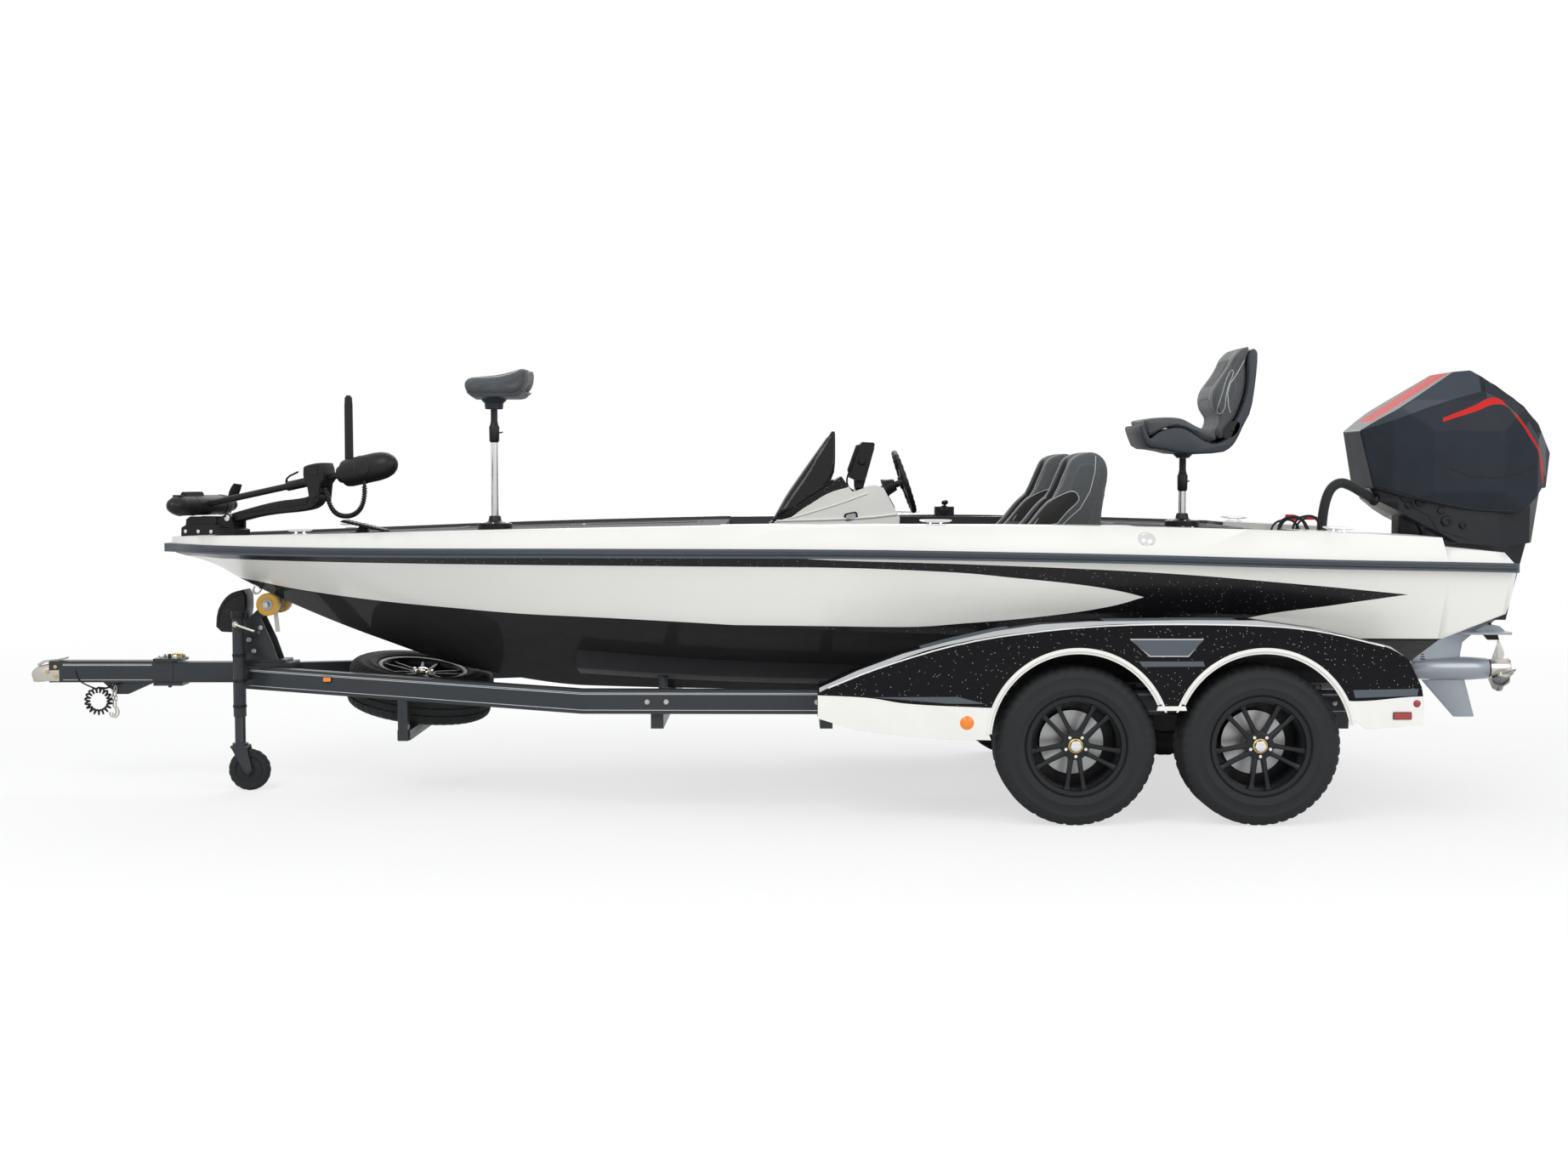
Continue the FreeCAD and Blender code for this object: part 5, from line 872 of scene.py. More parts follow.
@dataclass
class Cockpit:
    """The console with its windscreen, display and wheel, the throttle and the pedal."""

    inner: float = 0.29
    outer: float = 0.76
    helm: tuple[float, float, float] = (0.65, 0.52, 1.567)
    tilt: float = 19.0
    rim: float = 0.165
    wedge: tuple[Point, ...] = ((-0.09, 1.347), (-0.03, 1.352), (0.12, 1.437), (0.25, 1.512), (0.345,
        1.54))

    def build(self) -> None:
        """Build the cockpit's pieces."""
        self.console()
        self.screen()
        self.display()
        self.wheel()
        self.throttle()
        self.pedal()

    def console(self) -> None:
        """Paint the console off-white with a wedge of flake under the windscreen, and add its fittings."""
        shader = Shader("console_paint")
        x, _, z = shader.axes()
        wedge = shader.both(shader.flip(shader.under(z, shader.curve(x, self.wedge))), shader.under(x,
            0.34))
        shader.dress(DECK_GELCOAT, (FLAKE, wedge), (CARPET, shader.under(z, 1.02)))
        node_copy("console", Finish("console_paint", "flake_black", FLAKE.colour), bevel=0.012, soft=20)
        trim = Shell()
        for y, out in ((self.inner, -1), (self.outer, 1)):
            path = [(-0.05, y, 1.352), (0.1, y, 1.392), (0.3, y, 1.452), (0.44, y, 1.505)]
            trim.tube([(px, py + out * 0.001, pz) for px, py, pz in path], 0.004, sides=10, smooth=2)
            low = [(-0.04, y + out * 0.002, 1.36), (0.4, y + out * 0.002, 1.372), (0.6, y + out * 0.002,
                1.395)]
            trim.tube(low, 0.006, sides=10, smooth=2)
        trim.piece("console_mouldings", DECK_GELCOAT)
        lamp = Shell()
        for y, out in ((self.inner, -1), (self.outer, 1)):
            seat = at(0.355, y, 1.385) @ spin(-12, "Y") @ spin(90 * -out, "X")
            lamp.joined(Shell().prism(rounded(0.036, 0.02, 0.014), -0.002, 0.006, "XY"), seat)
            lamp.joined(Shell().prism(rounded(0.026, 0.012, 0.009), 0.006, 0.009, "XY", mark=1), seat)
        lamp.piece("console_lamps", (BLACK_PLASTIC, GREY_TRIM), bevel=0.001)
        panel = Shell()
        lean = math.degrees(math.atan2(1.375 - 1.536, 0.615 - 0.527))
        seat = at(0.571, self.helm[1], 1.4555) @ spin(-lean, "Y")
        for gauge_y in (-0.17, 0.17):
            dial = Shell().lathe([(0.036, -0.002), (0.036, 0.004), (0.031, 0.006), (0.03, 0.003), (0.001,
                0.003)], (0.0, gauge_y, 0), (0, 0, 1), 36)
            panel.joined(dial, seat)
        for number in range(6):
            switch = Shell().prism(rounded(0.008, 0.011, 0.003), -0.001, 0.005, "XY")
            panel.joined(switch, seat @ at(0.045, -0.075 + number * 0.03, 0))
        panel.piece("dash_instruments", BLACK_PLASTIC, bevel=0.0006)

    def screen(self) -> None:
        """Build the smoked windscreen as one curved sheet with a dark foot."""
        outline = [(-0.062, 1.3585), (0.0, 1.481), (0.06, 1.566), (0.13, 1.665), (0.195, 1.756), (0.252,
            1.834)]
        rings = []
        for x, z in outline:
            climb = (z - 1.3585) / (1.834 - 1.3585)
            back = 0.272 if climb > 0.45 else 0.02 + (0.272 - 0.02) * climb / 0.45
            ring = []
            for y, depth in ((0.294, 1.0), (0.294, 0.72), (0.294, 0.4), (0.296, 0.14), (0.318, 0.02),
                    (0.4, 0.0), (0.525, 0.0), (0.65, 0.0), (0.732, 0.02), (0.754, 0.14), (0.756, 0.4),
                    (0.756, 0.72), (0.756, 1.0)):
                here = x + (max(back, x + 0.02) - x) * depth
                foot = max(z, self.top(here) + 0.001)
                ring.append((here, y + (0.525 - y) * 0.12 * climb, foot))
            rings.append(ring)
        glass = Shell().loft(rings, closed=False)
        sheet = glass.piece("windscreen_sheet", SMOKED, soft=50, rounds=1, replaces=["windscreen"])
        thick = sheet.modifiers.new("thickness", "SOLIDIFY")
        thick.thickness, thick.offset = 0.005, 0.0
        feet = Shell()
        for y, out in ((0.3, -1), (0.75, 1)):
            feet.tube([(-0.058, y, 1.366), (0.1, y, self.top(0.1) + 0.008), (0.262, y, self.top(0.262) +
                0.008)], 0.006, sides=10)
            for x in (0.0, 0.12, 0.24):
                feet.lathe([(0.009, 0), (0.007, 0.004), (0.001, 0.005)], (x, y, self.top(x) + 0.02), (0,
                    out, 0), 14)
        feet.piece("windscreen_feet", BLACK_PLASTIC)

    def top(self, x: float) -> float:
        """Return the height of the console's sloping top."""
        share = (x + 0.079) / (0.305 + 0.079)
        return 1.347 + min(max(share, 0.0), 1.0) * (1.596 - 1.347)

    def display(self) -> None:
        """Build the chart display: a ribbed case with a dark glass face, its bracket and its leads."""
        case = [(0.432, 1.572), (0.485, 1.765), (0.479, 1.776), (0.418, 1.779), (0.408, 1.766), (0.35,
            1.6), (0.352, 1.59), (0.385, 1.575)]
        body = Shell().prism(case, self.helm[1] - 0.148, self.helm[1] + 0.148)
        for rib in range(9):
            y = self.helm[1] - 0.12 + rib * 0.03
            body.prism([(0.352, 1.612), (0.405, 1.762), (0.393, 1.765), (0.346, 1.632)], y - 0.004, y +
                0.004)
        lean = math.degrees(math.atan2(0.485 - 0.432, 1.765 - 1.572))
        face = at(0.4595, self.helm[1], 1.6685) @ spin(lean, "Y") @ spin(90, "Y")
        body.joined(Shell().prism(rounded(0.084, 0.132, 0.006), 0.0, 0.0025, "XY", mark=1), face)
        for button in range(5):
            body.joined(Shell().prism(rounded(0.006, 0.004, 0.002), 0.0, 0.004, "XY"), face @ at(-0.05 +
                0.025 * button, 0.139, 0))
        for sign in (-1, 1):
            knob = self.helm[1] + sign * 0.146
            body.lathe([(0.02, 0), (0.02, 0.01), (0.016, 0.016), (0.001, 0.017)], (0.415, knob, 1.675),
                (0, sign, 0), 20, dent=lambda step, index: 0.0015 * (step % 2))
        body.piece("display_case", (BLACK_PLASTIC, SCREEN), bevel=0.002, replaces=["sonar_display"])
        stand = Shell()
        for sign in (-1, 1):
            y = self.helm[1] + sign * 0.1
            stand.prism([(0.384, 1.5215), (0.426, 1.5345), (0.44, 1.585), (0.4, 1.64), (0.38, 1.6)],
                y - 0.004, y + 0.004)
        stand.block((0.386, self.helm[1] - 0.104, 1.522), (0.424, self.helm[1] + 0.104, 1.5355))
        stand.tube([(0.36, self.helm[1] - 0.06, 1.64), (0.335, self.helm[1] - 0.07, 1.58), (0.345,
            self.helm[1] - 0.08, 1.535), (0.375, self.helm[1] - 0.09, 1.518)], 0.005, 10, smooth=2)
        stand.piece("display_bracket", BLACK_PLASTIC, bevel=0.001)

    def wheel(self) -> None:
        """Build the three-spoked wheel on its column."""
        turn = at(*self.helm) @ spin(90 - self.tilt, "Y")
        wheel = Shell()
        rings = []
        for step in range(96):
            angle = 2 * math.pi * step / 96
            swell = 0.0135 + 0.0012 * math.cos(angle * 24)
            middle = Vector((math.cos(angle), math.sin(angle), 0))
            ring = []
            for k in range(14):
                t = 2 * math.pi * k / 14
                ring.append(middle * (self.rim + swell * math.cos(t)) + Vector((0, 0, swell * 1.05 *
                    math.sin(t))))
            rings.append(ring)
        wheel.loft(rings, looped=True)
        for angle in (90, 210, 330):
            spoke = Shell().loft([[(r, -w, -t + s), (r, w, -t + s), (r, w, t + s), (r, -w, t + s)] for r, w,
                t, s in ((0.02, 0.024, 0.007, -0.008), (0.06, 0.019, 0.006, -0.004), (0.11, 0.013, 0.005,
                -0.001), (0.165, 0.015, 0.006, 0.0))], mark=1)
            spoke.prism(rounded(0.016, 0.006, 0.004), 0.004, 0.0075, "XY", mark=0)
            for shift in (0.075, 0.125):
                spoke.lathe([(0.0038, 0.0), (0.0036, 0.009), (0.001, 0.01)], (shift, 0, 0), (0, 0, 1), 12,
                    mark=0)
            wheel.joined(spoke, spin(angle, "Z"))
        wheel.lathe([(0.033, -0.028), (0.036, -0.016), (0.034, 0.006), (0.028, 0.013), (0.015, 0.0158),
            (0.001, 0.016)], (0, 0, 0), (0, 0, 1), 40)
        wheel.lathe([(0.0179, -0.184), (0.0179, -0.03)], (0, 0, 0), (0, 0, 1), 24)
        wheel.moved(turn).piece("helm_wheel", (BLACK_PLASTIC, BLACK_METAL), "helm", bevel=0.0008,
            replaces=["steering_wheel"])
        boot = Shell().lathe([(0.052, -0.118), (0.05, -0.104)] + [(0.046 - 0.003 * (n % 2) - 0.0016 * n,
            -0.098 + 0.006 * n) for n in range(9)], (0, 0, 0), (0, 0, 1), 32)
        boot.moved(turn).piece("column_boot", BLACK_PLASTIC)

    def throttle(self) -> None:
        """Build the throttle: a box and its lever with a grip, and the throttle pod."""
        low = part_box("throttle_box")[0]
        box = Shell().block((0.842, 0.815, low.z), (0.948, 0.886, 1.426))
        box.lathe([(0.03, 0.0), (0.03, 0.004), (0.022, 0.01), (0.014, 0.012), (0.014, 0.016)], (0.892,
            0.818, 1.404), (0, -1, 0), 32)
        lever = [(0.892, 0.809, 1.404), (0.894, 0.807, 1.425), (0.897, 0.807, 1.448)]
        box.tube(lever, (0.009, 0.008, 0.007), sides=14, smooth=1)
        box.lathe([(0.0085, -0.02), (0.012, -0.014), (0.0125, 0.006), (0.01, 0.014), (0.001, 0.016)],
            (0.898, 0.807, 1.45), (0.6, -0.2, 0.1), 24)
        box.piece("throttle", BLACK_PLASTIC, bevel=0.004, replaces=["throttle_box"])
        top = Surface("deck_moulding")
        pod = Shell()
        rows = []
        for x, width in ((0.62, 0.012), (0.7, 0.035), (0.85, 0.052), (1.05, 0.052), (1.2, 0.034), (1.26,
                0.012)):
            ground = top.point((x, 0.85, 1.8), (0, 0, -1)).z
            rows.append([(x, 0.85 - width, ground - 0.002), (x, 0.85 - width * 0.6, ground + 0.004 + width
                * 0.14), (x, 0.85 + width * 0.6, ground + 0.004 + width * 0.14), (x, 0.85 + width, ground
                - 0.002)])
        pod.loft(rows)
        pod.piece("throttle_pod", BLACK_PLASTIC, soft=60, rounds=1)

    def pedal(self) -> None:
        """Build the trolling motor's foot pedal with its ribbed tread."""
        base = Shell().prism([(-2.33, 1.283), (-2.08, 1.283), (-2.08, 1.3), (-2.33, 1.3)], 0.12,
            0.255)
        tread = [(-2.322, 1.358), (-2.09, 1.306), (-2.086, 1.317), (-2.305, 1.369)]
        base.prism(tread, 0.13, 0.245)
        for rib in range(11):
            share = (rib + 0.5) / 11
            x = -2.305 + share * (2.305 - 2.088)
            z = 1.369 + share * (1.317 - 1.369)
            base.block((x - 0.004, 0.136, z - 0.002), (x + 0.004, 0.239, z + 0.0025))
        base.prism([(-2.25, 1.298), (-2.17, 1.298), (-2.2, 1.336), (-2.22, 1.34)], 0.15, 0.225)
        base.tube([(-2.085, 0.19, 1.292), (-2.06, 0.17, 1.3), (-2.06, 0.08, 1.315)], 0.006, 10, smooth=2)
        base.piece("pedal", BLACK_PLASTIC, bevel=0.0015, replaces=["foot_pedal"])


Outline = Sequence[tuple[float, float]]


def smooth_outline(points: Outline, rounds: int = 2) -> list[tuple[float, float]]:
    """Return a closed outline with its corners cut that many times over."""
    path = [Vector((a, b, 0.0)) for a, b in points]
    for _ in range(rounds):
        path = [q for a, b in zip(path, path[1:] + path[:1]) for q in (a.lerp(b, 0.25), a.lerp(b, 0.75))]
    return [(p.x, p.y) for p in path]


def shrunk(points: Outline, inset: float) -> list[tuple[float, float]]:
    """Return a closed outline drawn inwards by about an inset."""
    area = sum(a[0] * b[1] - b[0] * a[1] for a, b in zip(points, list(points[1:]) + [points[0]]))
    turn = 1.0 if area > 0 else -1.0
    made = []
    for index, (x, z) in enumerate(points):
        before, after = Vector(points[index - 1]), Vector(points[(index + 1) % len(points)])
        along = (after - before).normalized()
        made.append((x - along.y * inset * turn, z + along.x * inset * turn))
    return made


def cushion(rings: Sequence[Sequence[Point]], name: str, finish: Finish, body: str, cap: float
        = 0.01, voxel: float = 0.006, replaces: Sequence[str] = ()) -> bpy.types.Object:
    """Make a filled cushion from its sections and let it swell under its cover.

    Args:
        rings: closed sections across the cushion, a little smaller than the cushion.
        name: the piece's name.
        finish: its cover.
        body: the body it rides on.
        cap: how far a point of the cover may move, in metres.
        voxel: the size of the cover's mesh, in metres.
        replaces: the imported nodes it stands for.

    Returns:
        The cushion.
    """
    mesh = bpy.data.meshes.new(name)
    shell = Shell().loft(rings)
    mesh.from_pydata(shell.points, [], shell.faces)
    mesh.materials.append(finish.material())
    made = settle(mesh, name, body, soft=80, replaces=replaces)
    swell(made, cap, voxel)
    return made


def swell(made: bpy.types.Object, cap: float, voxel: float) -> None:
    """Let the air in a cushion push its cover out, by no more than a cap, and keep the result."""
    remesh = made.modifiers.new("cover", "REMESH")
    remesh.mode, remesh.voxel_size = "VOXEL", voxel
    keep_modifiers(made)
    mesh = made.data
    rest = [v.co.copy() for v in mesh.vertices]
    cloth = made.modifiers.new("cloth", "CLOTH")
    settings = cloth.settings
    settings.use_pressure, settings.uniform_pressure_force = True, 4.0
    settings.effector_weights.gravity = 0.0
    settings.quality = 4
    settings.tension_stiffness = settings.compression_stiffness = 25.0
    cloth.collision_settings.use_collision = False
    scene = bpy.context.scene
    for frame in range(1, 16):
        scene.frame_set(frame)
    keep_modifiers(made)
    for vertex, start in zip(made.data.vertices, rest):
        move = vertex.co - start
        if move.length > cap:
            vertex.co = start + move.normalized() * cap
    scene.frame_set(1)
    made.data.shade_smooth()
    LOG.info("%s: cover of %d faces", made.name, len(made.data.polygons))


def keep_modifiers(made: bpy.types.Object) -> None:
    """Turn an object's mesh into what its modifiers make of it, and take them off."""
    graph = bpy.context.evaluated_depsgraph_get()
    done = bpy.data.meshes.new_from_object(made.evaluated_get(graph))
    made.modifiers.clear()
    made.data = done


@dataclass
class Seats:
    """The two bucket seats on their carpeted boxes, and the bow and stern seats on their posts."""

    bucket_y: float = 0.43
    bucket_half: float = 0.21
    middle: tuple[tuple[float, float], ...] = ((1.000, 1.115), (1.535, 1.115), (1.54, 1.38), (1.569,
        1.582), (1.567, 1.674), (1.535, 1.715), (1.486, 1.733), (1.43, 1.722), (1.408, 1.69), (1.4,
        1.64), (1.388, 1.5), (1.36, 1.38), (1.325, 1.29), (1.29, 1.222), (1.02, 1.25), (0.985,
        1.2))
    bolster: tuple[tuple[float, float], ...] = ((1.000, 1.115), (1.535, 1.115), (1.54, 1.38), (1.569,
        1.582), (1.567, 1.674), (1.535, 1.715), (1.486, 1.733), (1.425, 1.718), (1.388, 1.69), (1.365,
        1.64), (1.313, 1.524), (1.244, 1.467), (1.17, 1.37), (1.09, 1.3), (1.01, 1.27), (0.985,
        1.2))
    leaf: tuple[tuple[float, float], ...] = ((1.17, 1.363), (1.198, 1.415), (1.244, 1.455), (1.313, 1.496),
        (1.377, 1.527), (1.408, 1.524), (1.426, 1.492), (1.411, 1.467), (1.371, 1.432), (1.337, 1.392),
        (1.314, 1.363))
    seam: tuple[tuple[float, float], ...] = ((1.343, 1.363), (1.383, 1.403), (1.429, 1.443), (1.475, 1.524),
        (1.498, 1.616), (1.504, 1.697))
    bow_half: float = 0.19
    aft_half: float = 0.222
    bow_x: float = -1.49
    aft_x: float = 2.052
    spigot: float = 0.036

    def build(self) -> None:
        """Build the seat boxes, the seats and their posts."""
        node_copy("seat_bases", CARPET, bevel=0.012)
        self.buckets()
        self.bow_seat()
        self.aft_seat()
        self.posts()

    def bucket_section(self, share: float, inset: float) -> list[tuple[float, float]]:
        """Return a bucket's outline, from its middle at 0 to its bolster at 1, drawn in by an inset."""
        mixed = [(a[0] + (b[0] - a[0]) * share, a[1] + (b[1] - a[1]) * share) for a, b in zip(self.middle,
            self.bolster)]
        return smooth_outline(shrunk(mixed, inset + 0.007), 2)

    def bucket_rings(self, y: float) -> list[list[Point]]:
        """Return a bucket's sections from its port face to its starboard face."""
        across = ((-1.0, 1.0, 0.026), (-0.965, 1.0, 0.012), (-0.91, 1.0, 0.003), (-0.8, 1.0, 0.0), (-0.68,
            1.0, 0.004), (-0.6, 0.86, 0.008), (-0.52, 0.42, 0.01), (-0.46, 0.1, 0.009), (-0.38, 0.0,
            0.003), (-0.2, 0.0, 0.0), (-0.03, 0.0, 0.001), (0.0, 0.0, 0.006))
        rows = list(across) + [(-a, s, i) for a, s, i in reversed(across[:-1])]
        return [[(px, y + a * (self.bucket_half - 0.006), pz) for px, pz in self.bucket_section(s, i)] for
            a, s, i in rows]

    def buckets(self) -> None:
        """Build both bucket seats with their piping and their black side panels."""
        for side, sign in SIDES.items():
            y = sign * self.bucket_y
            made = cushion(self.bucket_rings(y), f"{side}_bucket_seat_cover", self.bucket_cover(), "root",
                0.008, 0.007, ["bucket_seats"])
            skin = cover_tree(made)
            trim = Shell()
            for out in (-1, 1):
                seam = drawn(skin, self.seam, y + out * 0.4, (0, -out, 0), 6)
                trim.tube(seam, 0.0022, sides=8)
                leaf = drawn(skin, smooth_outline(self.leaf, 1), y + out * 0.4, (0, -out, 0), 1)
                trim.tube(leaf + leaf[:1], 0.0024, sides=8)
                ridge = [(1.01, 1.27), (1.09, 1.3), (1.17, 1.37), (1.244, 1.467), (1.313, 1.524),
                    (1.365, 1.64), (1.388, 1.69), (1.425, 1.716), (1.486, 1.731), (1.54, 1.705)]
                trim.tube(ridge_line(skin, ridge, y + out * 0.135, (1.52, 1.1)), 0.0028, sides=8)
            rib = [(1.05, 1.25), (1.15, 1.24), (1.26, 1.23), (1.31, 1.27), (1.36, 1.39), (1.385, 1.5),
                (1.4, 1.64)]
            trim.tube(ridge_line(skin, rib, y, (1.52, 1.1)), 0.0016, sides=8)
            trim.piece(f"{side}_bucket_piping", PIPING)

    def bucket_cover(self) -> Finish:
        """Colour a bucket seat grey, with black middles and black leaves on its sides."""
        known = bpy.data.materials.get("bucket_cover")
        if known is None:
            shader = Shader("bucket_cover")
            x, y, z = shader.axes()
            off = shader.maths("ABSOLUTE", shader.maths("SUBTRACT", y, self.bucket_y))
            middle = shader.both(shader.under(off, 0.118), shader.under(x, 1.45),
                shader.maths("GREATER_THAN", z, 1.16))
            top = [(1.17, 1.363), (1.198, 1.415), (1.244, 1.455), (1.313, 1.496), (1.377, 1.527), (1.408,
                1.524), (1.426, 1.492)]
            low = [(1.17, 1.36), (1.314, 1.363), (1.337, 1.392), (1.371, 1.432), (1.411, 1.467), (1.426,
                1.492)]
            leaf = shader.both(shader.under(z, shader.curve(x, top)), shader.flip(shader.under(z,
                shader.curve(x, low))), shader.span(x, 1.172, 1.424), shader.maths("GREATER_THAN", off,
                0.188))
            shader.dress(FABRIC, (INSERT, middle), (INSERT, leaf))
        return Finish("bucket_cover", "seat_fabric", FABRIC.colour)

    def bow_seat(self) -> None:
        """Build the bow seat: a saddle-shaped pad on a shell, with a piped edge."""
        profile = [(-1.632, 2.046), (-1.606, 2.006), (-1.35, 2.006), (-1.298, 2.054), (-1.29, 2.144),
            (-1.31, 2.148), (-1.42, 2.112), (-1.5, 2.103), (-1.6, 2.098), (-1.628, 2.084)]
        rings = []
        for share, inset in ((-1.0, 0.03), (-0.97, 0.014), (-0.88, 0.004), (-0.6, 0.0), (-0.3, 0.003),
                (0.0, 0.006), (0.3, 0.003), (0.6, 0.0), (0.88, 0.004), (0.97, 0.014), (1.0, 0.03)):
            outline = smooth_outline(shrunk(profile, inset + 0.005), 2)
            narrow = 1.0 - 0.1 * max(0.0, abs(share) - 0.5)
            rings.append([(self.bow_x + (px - self.bow_x) * narrow, share * (self.bow_half - 0.006), pz) for
                px, pz in outline])
        made = cushion(rings, "bow_seat_pad", FABRIC, "bow_seat", 0.006, 0.006, ["bow_seat"])
        skin = cover_tree(made)
        edge = Shell()
        band = smooth_outline([(-1.59, -0.15), (-1.35, -0.16), (-1.315, -0.14), (-1.315, 0.14), (-1.35,
            0.16), (-1.59, 0.15), (-1.608, 0.12), (-1.608, -0.12)], 2)
        path = [p for p in (skin.point((px, py, 2.4), (0, 0, -1)) for px, py in band) if p is not None]
        edge.tube(path + path[:1], 0.003, sides=8)
        edge.piece("bow_seat_piping", PIPING, "bow_seat")
        patch = Shell()
        rows = []
        for px in (-1.585, -1.54, -1.5, -1.46, -1.42, -1.38):
            rows.append([skin.point((px, py, 2.4), (0, 0, -1)) + Vector((0, 0, 0.0012)) for py in (-0.125,
                -0.09, -0.045, 0.0, 0.045, 0.09, 0.125)])
        patch.loft(rows, closed=False)
        patch.piece("bow_seat_panel", INSERT, "bow_seat", soft=80)
        tray = Shell()
        under = []
        for share in (-1.0, -0.9, -0.5, 0.0, 0.5, 0.9, 1.0):
            half = 0.165 * share
            drop = 0.01 * (1 - abs(share))
            under.append([(-1.605, half, 2.02 - drop), (-1.58, half, 2.000 - drop), (-1.35, half, 2.000 -
                drop), (-1.315, half, 2.03 - drop), (-1.33, half, 2.034), (-1.59, half, 2.034)])
        tray.loft(under)
        tray.lathe([(0.042, 0.0), (0.046, 0.003), (0.048, 0.03), (0.064, 0.046), (0.068, 0.062)],
            (self.bow_x, 0, self.hub("bow")), (0, 0, 1), 32)
        tray.piece("bow_seat_tray", SEAT_SHELL, "bow_seat", bevel=0.003)

    def hub(self, name: str) -> float:
        """Return the height of the underside of a seat's swivel hub."""
        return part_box(f"{name}_seat_post")[1].z - self.spigot + 0.0005

    def aft_seat(self) -> None:
        """Build the folding stern seat: a moulded shell, a seat cushion, a back cushion and their trim."""
        shell_side = [(1.786, 1.856), (1.802, 1.802), (1.829, 1.741), (1.917, 1.734), (2.017, 1.709),
            (2.201, 1.713), (2.254, 1.743), (2.284, 1.789), (2.313, 1.856), (2.35, 1.925), (2.371, 2.076),
            (2.38, 2.206), (2.372, 2.23), (2.352, 2.24), (2.33, 2.2), (2.336, 2.1), (2.326, 2.000),
            (2.29, 1.905), (2.258, 1.85), (2.236, 1.789), (2.2, 1.764), (2.154, 1.76), (2.116, 1.775),
            (2.062, 1.812), (2.008, 1.841), (1.947, 1.841), (1.886, 1.819), (1.848, 1.785), (1.838, 1.79),
            (1.814, 1.858)]
        body = Shell()
        rings = []
        for share, inset in ((-1.0, 0.01), (-0.985, 0.003), (-0.95, 0.0), (0.95, 0.0), (0.985, 0.003),
                (1.0, 0.01)):
            rings.append([(px, share * self.aft_half, pz) for px, pz in shrunk(smooth_outline(shell_side,
                1), inset)])
        body.loft(rings)
        body.lathe([(0.03, 0.0), (0.034, 0.004), (0.056, 0.026), (0.058, 0.045)], (self.aft_x, 0,
            self.hub("aft")), (0, 0, 1), 32)
        body.piece("aft_seat_moulding", SEAT_SHELL, "aft_seat", soft=50, replaces=["aft_seat_shell"])
        seat = [(1.838, 1.8), (1.85, 1.792), (1.886, 1.825), (1.947, 1.848), (2.01, 1.848), (2.064,
            1.819), (2.118, 1.782), (2.15, 1.77), (2.19, 1.772), (2.18, 1.815), (2.16, 1.831), (2.107,
            1.838), (2.061, 1.862), (2.022, 1.884), (1.984, 1.894), (1.923, 1.896), (1.831, 1.889), (1.803,
            1.88), (1.818, 1.85)]
        back = [(2.172, 1.835), (2.2, 1.775), (2.226, 1.79), (2.254, 1.856), (2.288, 1.915), (2.322,
            2.005), (2.332, 2.1), (2.326, 2.2), (2.352, 2.246), (2.338, 2.258), (2.308, 2.246), (2.284,
            2.22), (2.266, 2.198), (2.248, 2.156), (2.218, 2.108), (2.181, 2.058), (2.163, 2.021), (2.157,
            1.985), (2.165, 1.942), (2.186, 1.912), (2.196, 1.893), (2.19, 1.855)]
        self.pad(seat, "aft_seat_squab", FABRIC)
        squab_back = self.pad(back, "aft_seat_back", FABRIC)
        skin = cover_tree(squab_back)
        trim = Shell()
        seam = ((2.338, 2.259), (2.335, 2.224), (2.313, 2.175), (2.279, 2.114), (2.242, 2.061), (2.231,
            2.016), (2.236, 1.955), (2.248, 1.917))
        strip = ((2.252, 2.137), (2.264, 2.118), (2.234, 2.054), (2.223, 2.000), (2.22, 1.94), (2.202,
            1.909), (2.186, 1.917), (2.182, 1.94), (2.201, 2.000), (2.222, 2.076))
        for out in (-1, 1):
            trim.tube(drawn(skin, seam, out * 0.4, (0, -out, 0), 6), 0.0026, sides=8)
            loop = drawn(skin, smooth_outline(strip, 1), out * 0.4, (0, -out, 0), 1)
            trim.tube(loop + loop[:1], 0.0022, sides=8)
        for lane in (-0.11, 0.11):
            rise = [(2.157, 1.985), (2.181, 2.058), (2.218, 2.108), (2.266, 2.198), (2.308, 2.246)]
            trim.tube(ridge_line(skin, rise, lane, (2.4, 1.95)), 0.0024, sides=8)
        trim.piece("aft_seat_piping", PIPING, "aft_seat")
        panels = Shell()
        for out in (-1, 1):
            patch = drawn(skin, smooth_outline(strip, 1), out * 0.4, (0, -out, 0), 1)
            middle = sum(patch, Vector()) / len(patch)
            panels.add([p + Vector((0, out * 0.0012, 0)) for p in patch] + [middle + Vector((0, out *
                0.0012, 0))], [(i, (i + 1) % len(patch), len(patch)) for i in range(len(patch))])
        rows = []
        for px, pz in ((2.165, 1.985), (2.185, 2.058), (2.222, 2.108), (2.262, 2.185)):
            rows.append([skin.point((px - 0.2, py, pz + 0.06), (0.96, 0, -0.28)) + Vector((-0.0014, 0,
                0.0005)) for py in (-0.1, -0.06, -0.02, 0.02, 0.06, 0.1)])
        panels.loft(rows, closed=False)
        panels.piece("aft_seat_panels", INSERT, "aft_seat", soft=80)
        hinge = Shell()
        for out in (-1, 1):
            y = out * (self.aft_half - 0.004)
            hinge.prism(smooth_outline([(2.205, 1.78), (2.275, 1.8), (2.3, 1.865), (2.262, 1.88),
                (2.222, 1.85)], 1), min(y, y + out * 0.004), max(y, y + out * 0.004))
            hinge.lathe([(0.012, 0), (0.012, 0.003), (0.008, 0.0055), (0.001, 0.006)], (2.255, y + out *
                0.0005, 1.832), (0, out, 0), 20)
        hinge.piece("aft_seat_hinges", BLACK_METAL, "aft_seat", bevel=0.001)

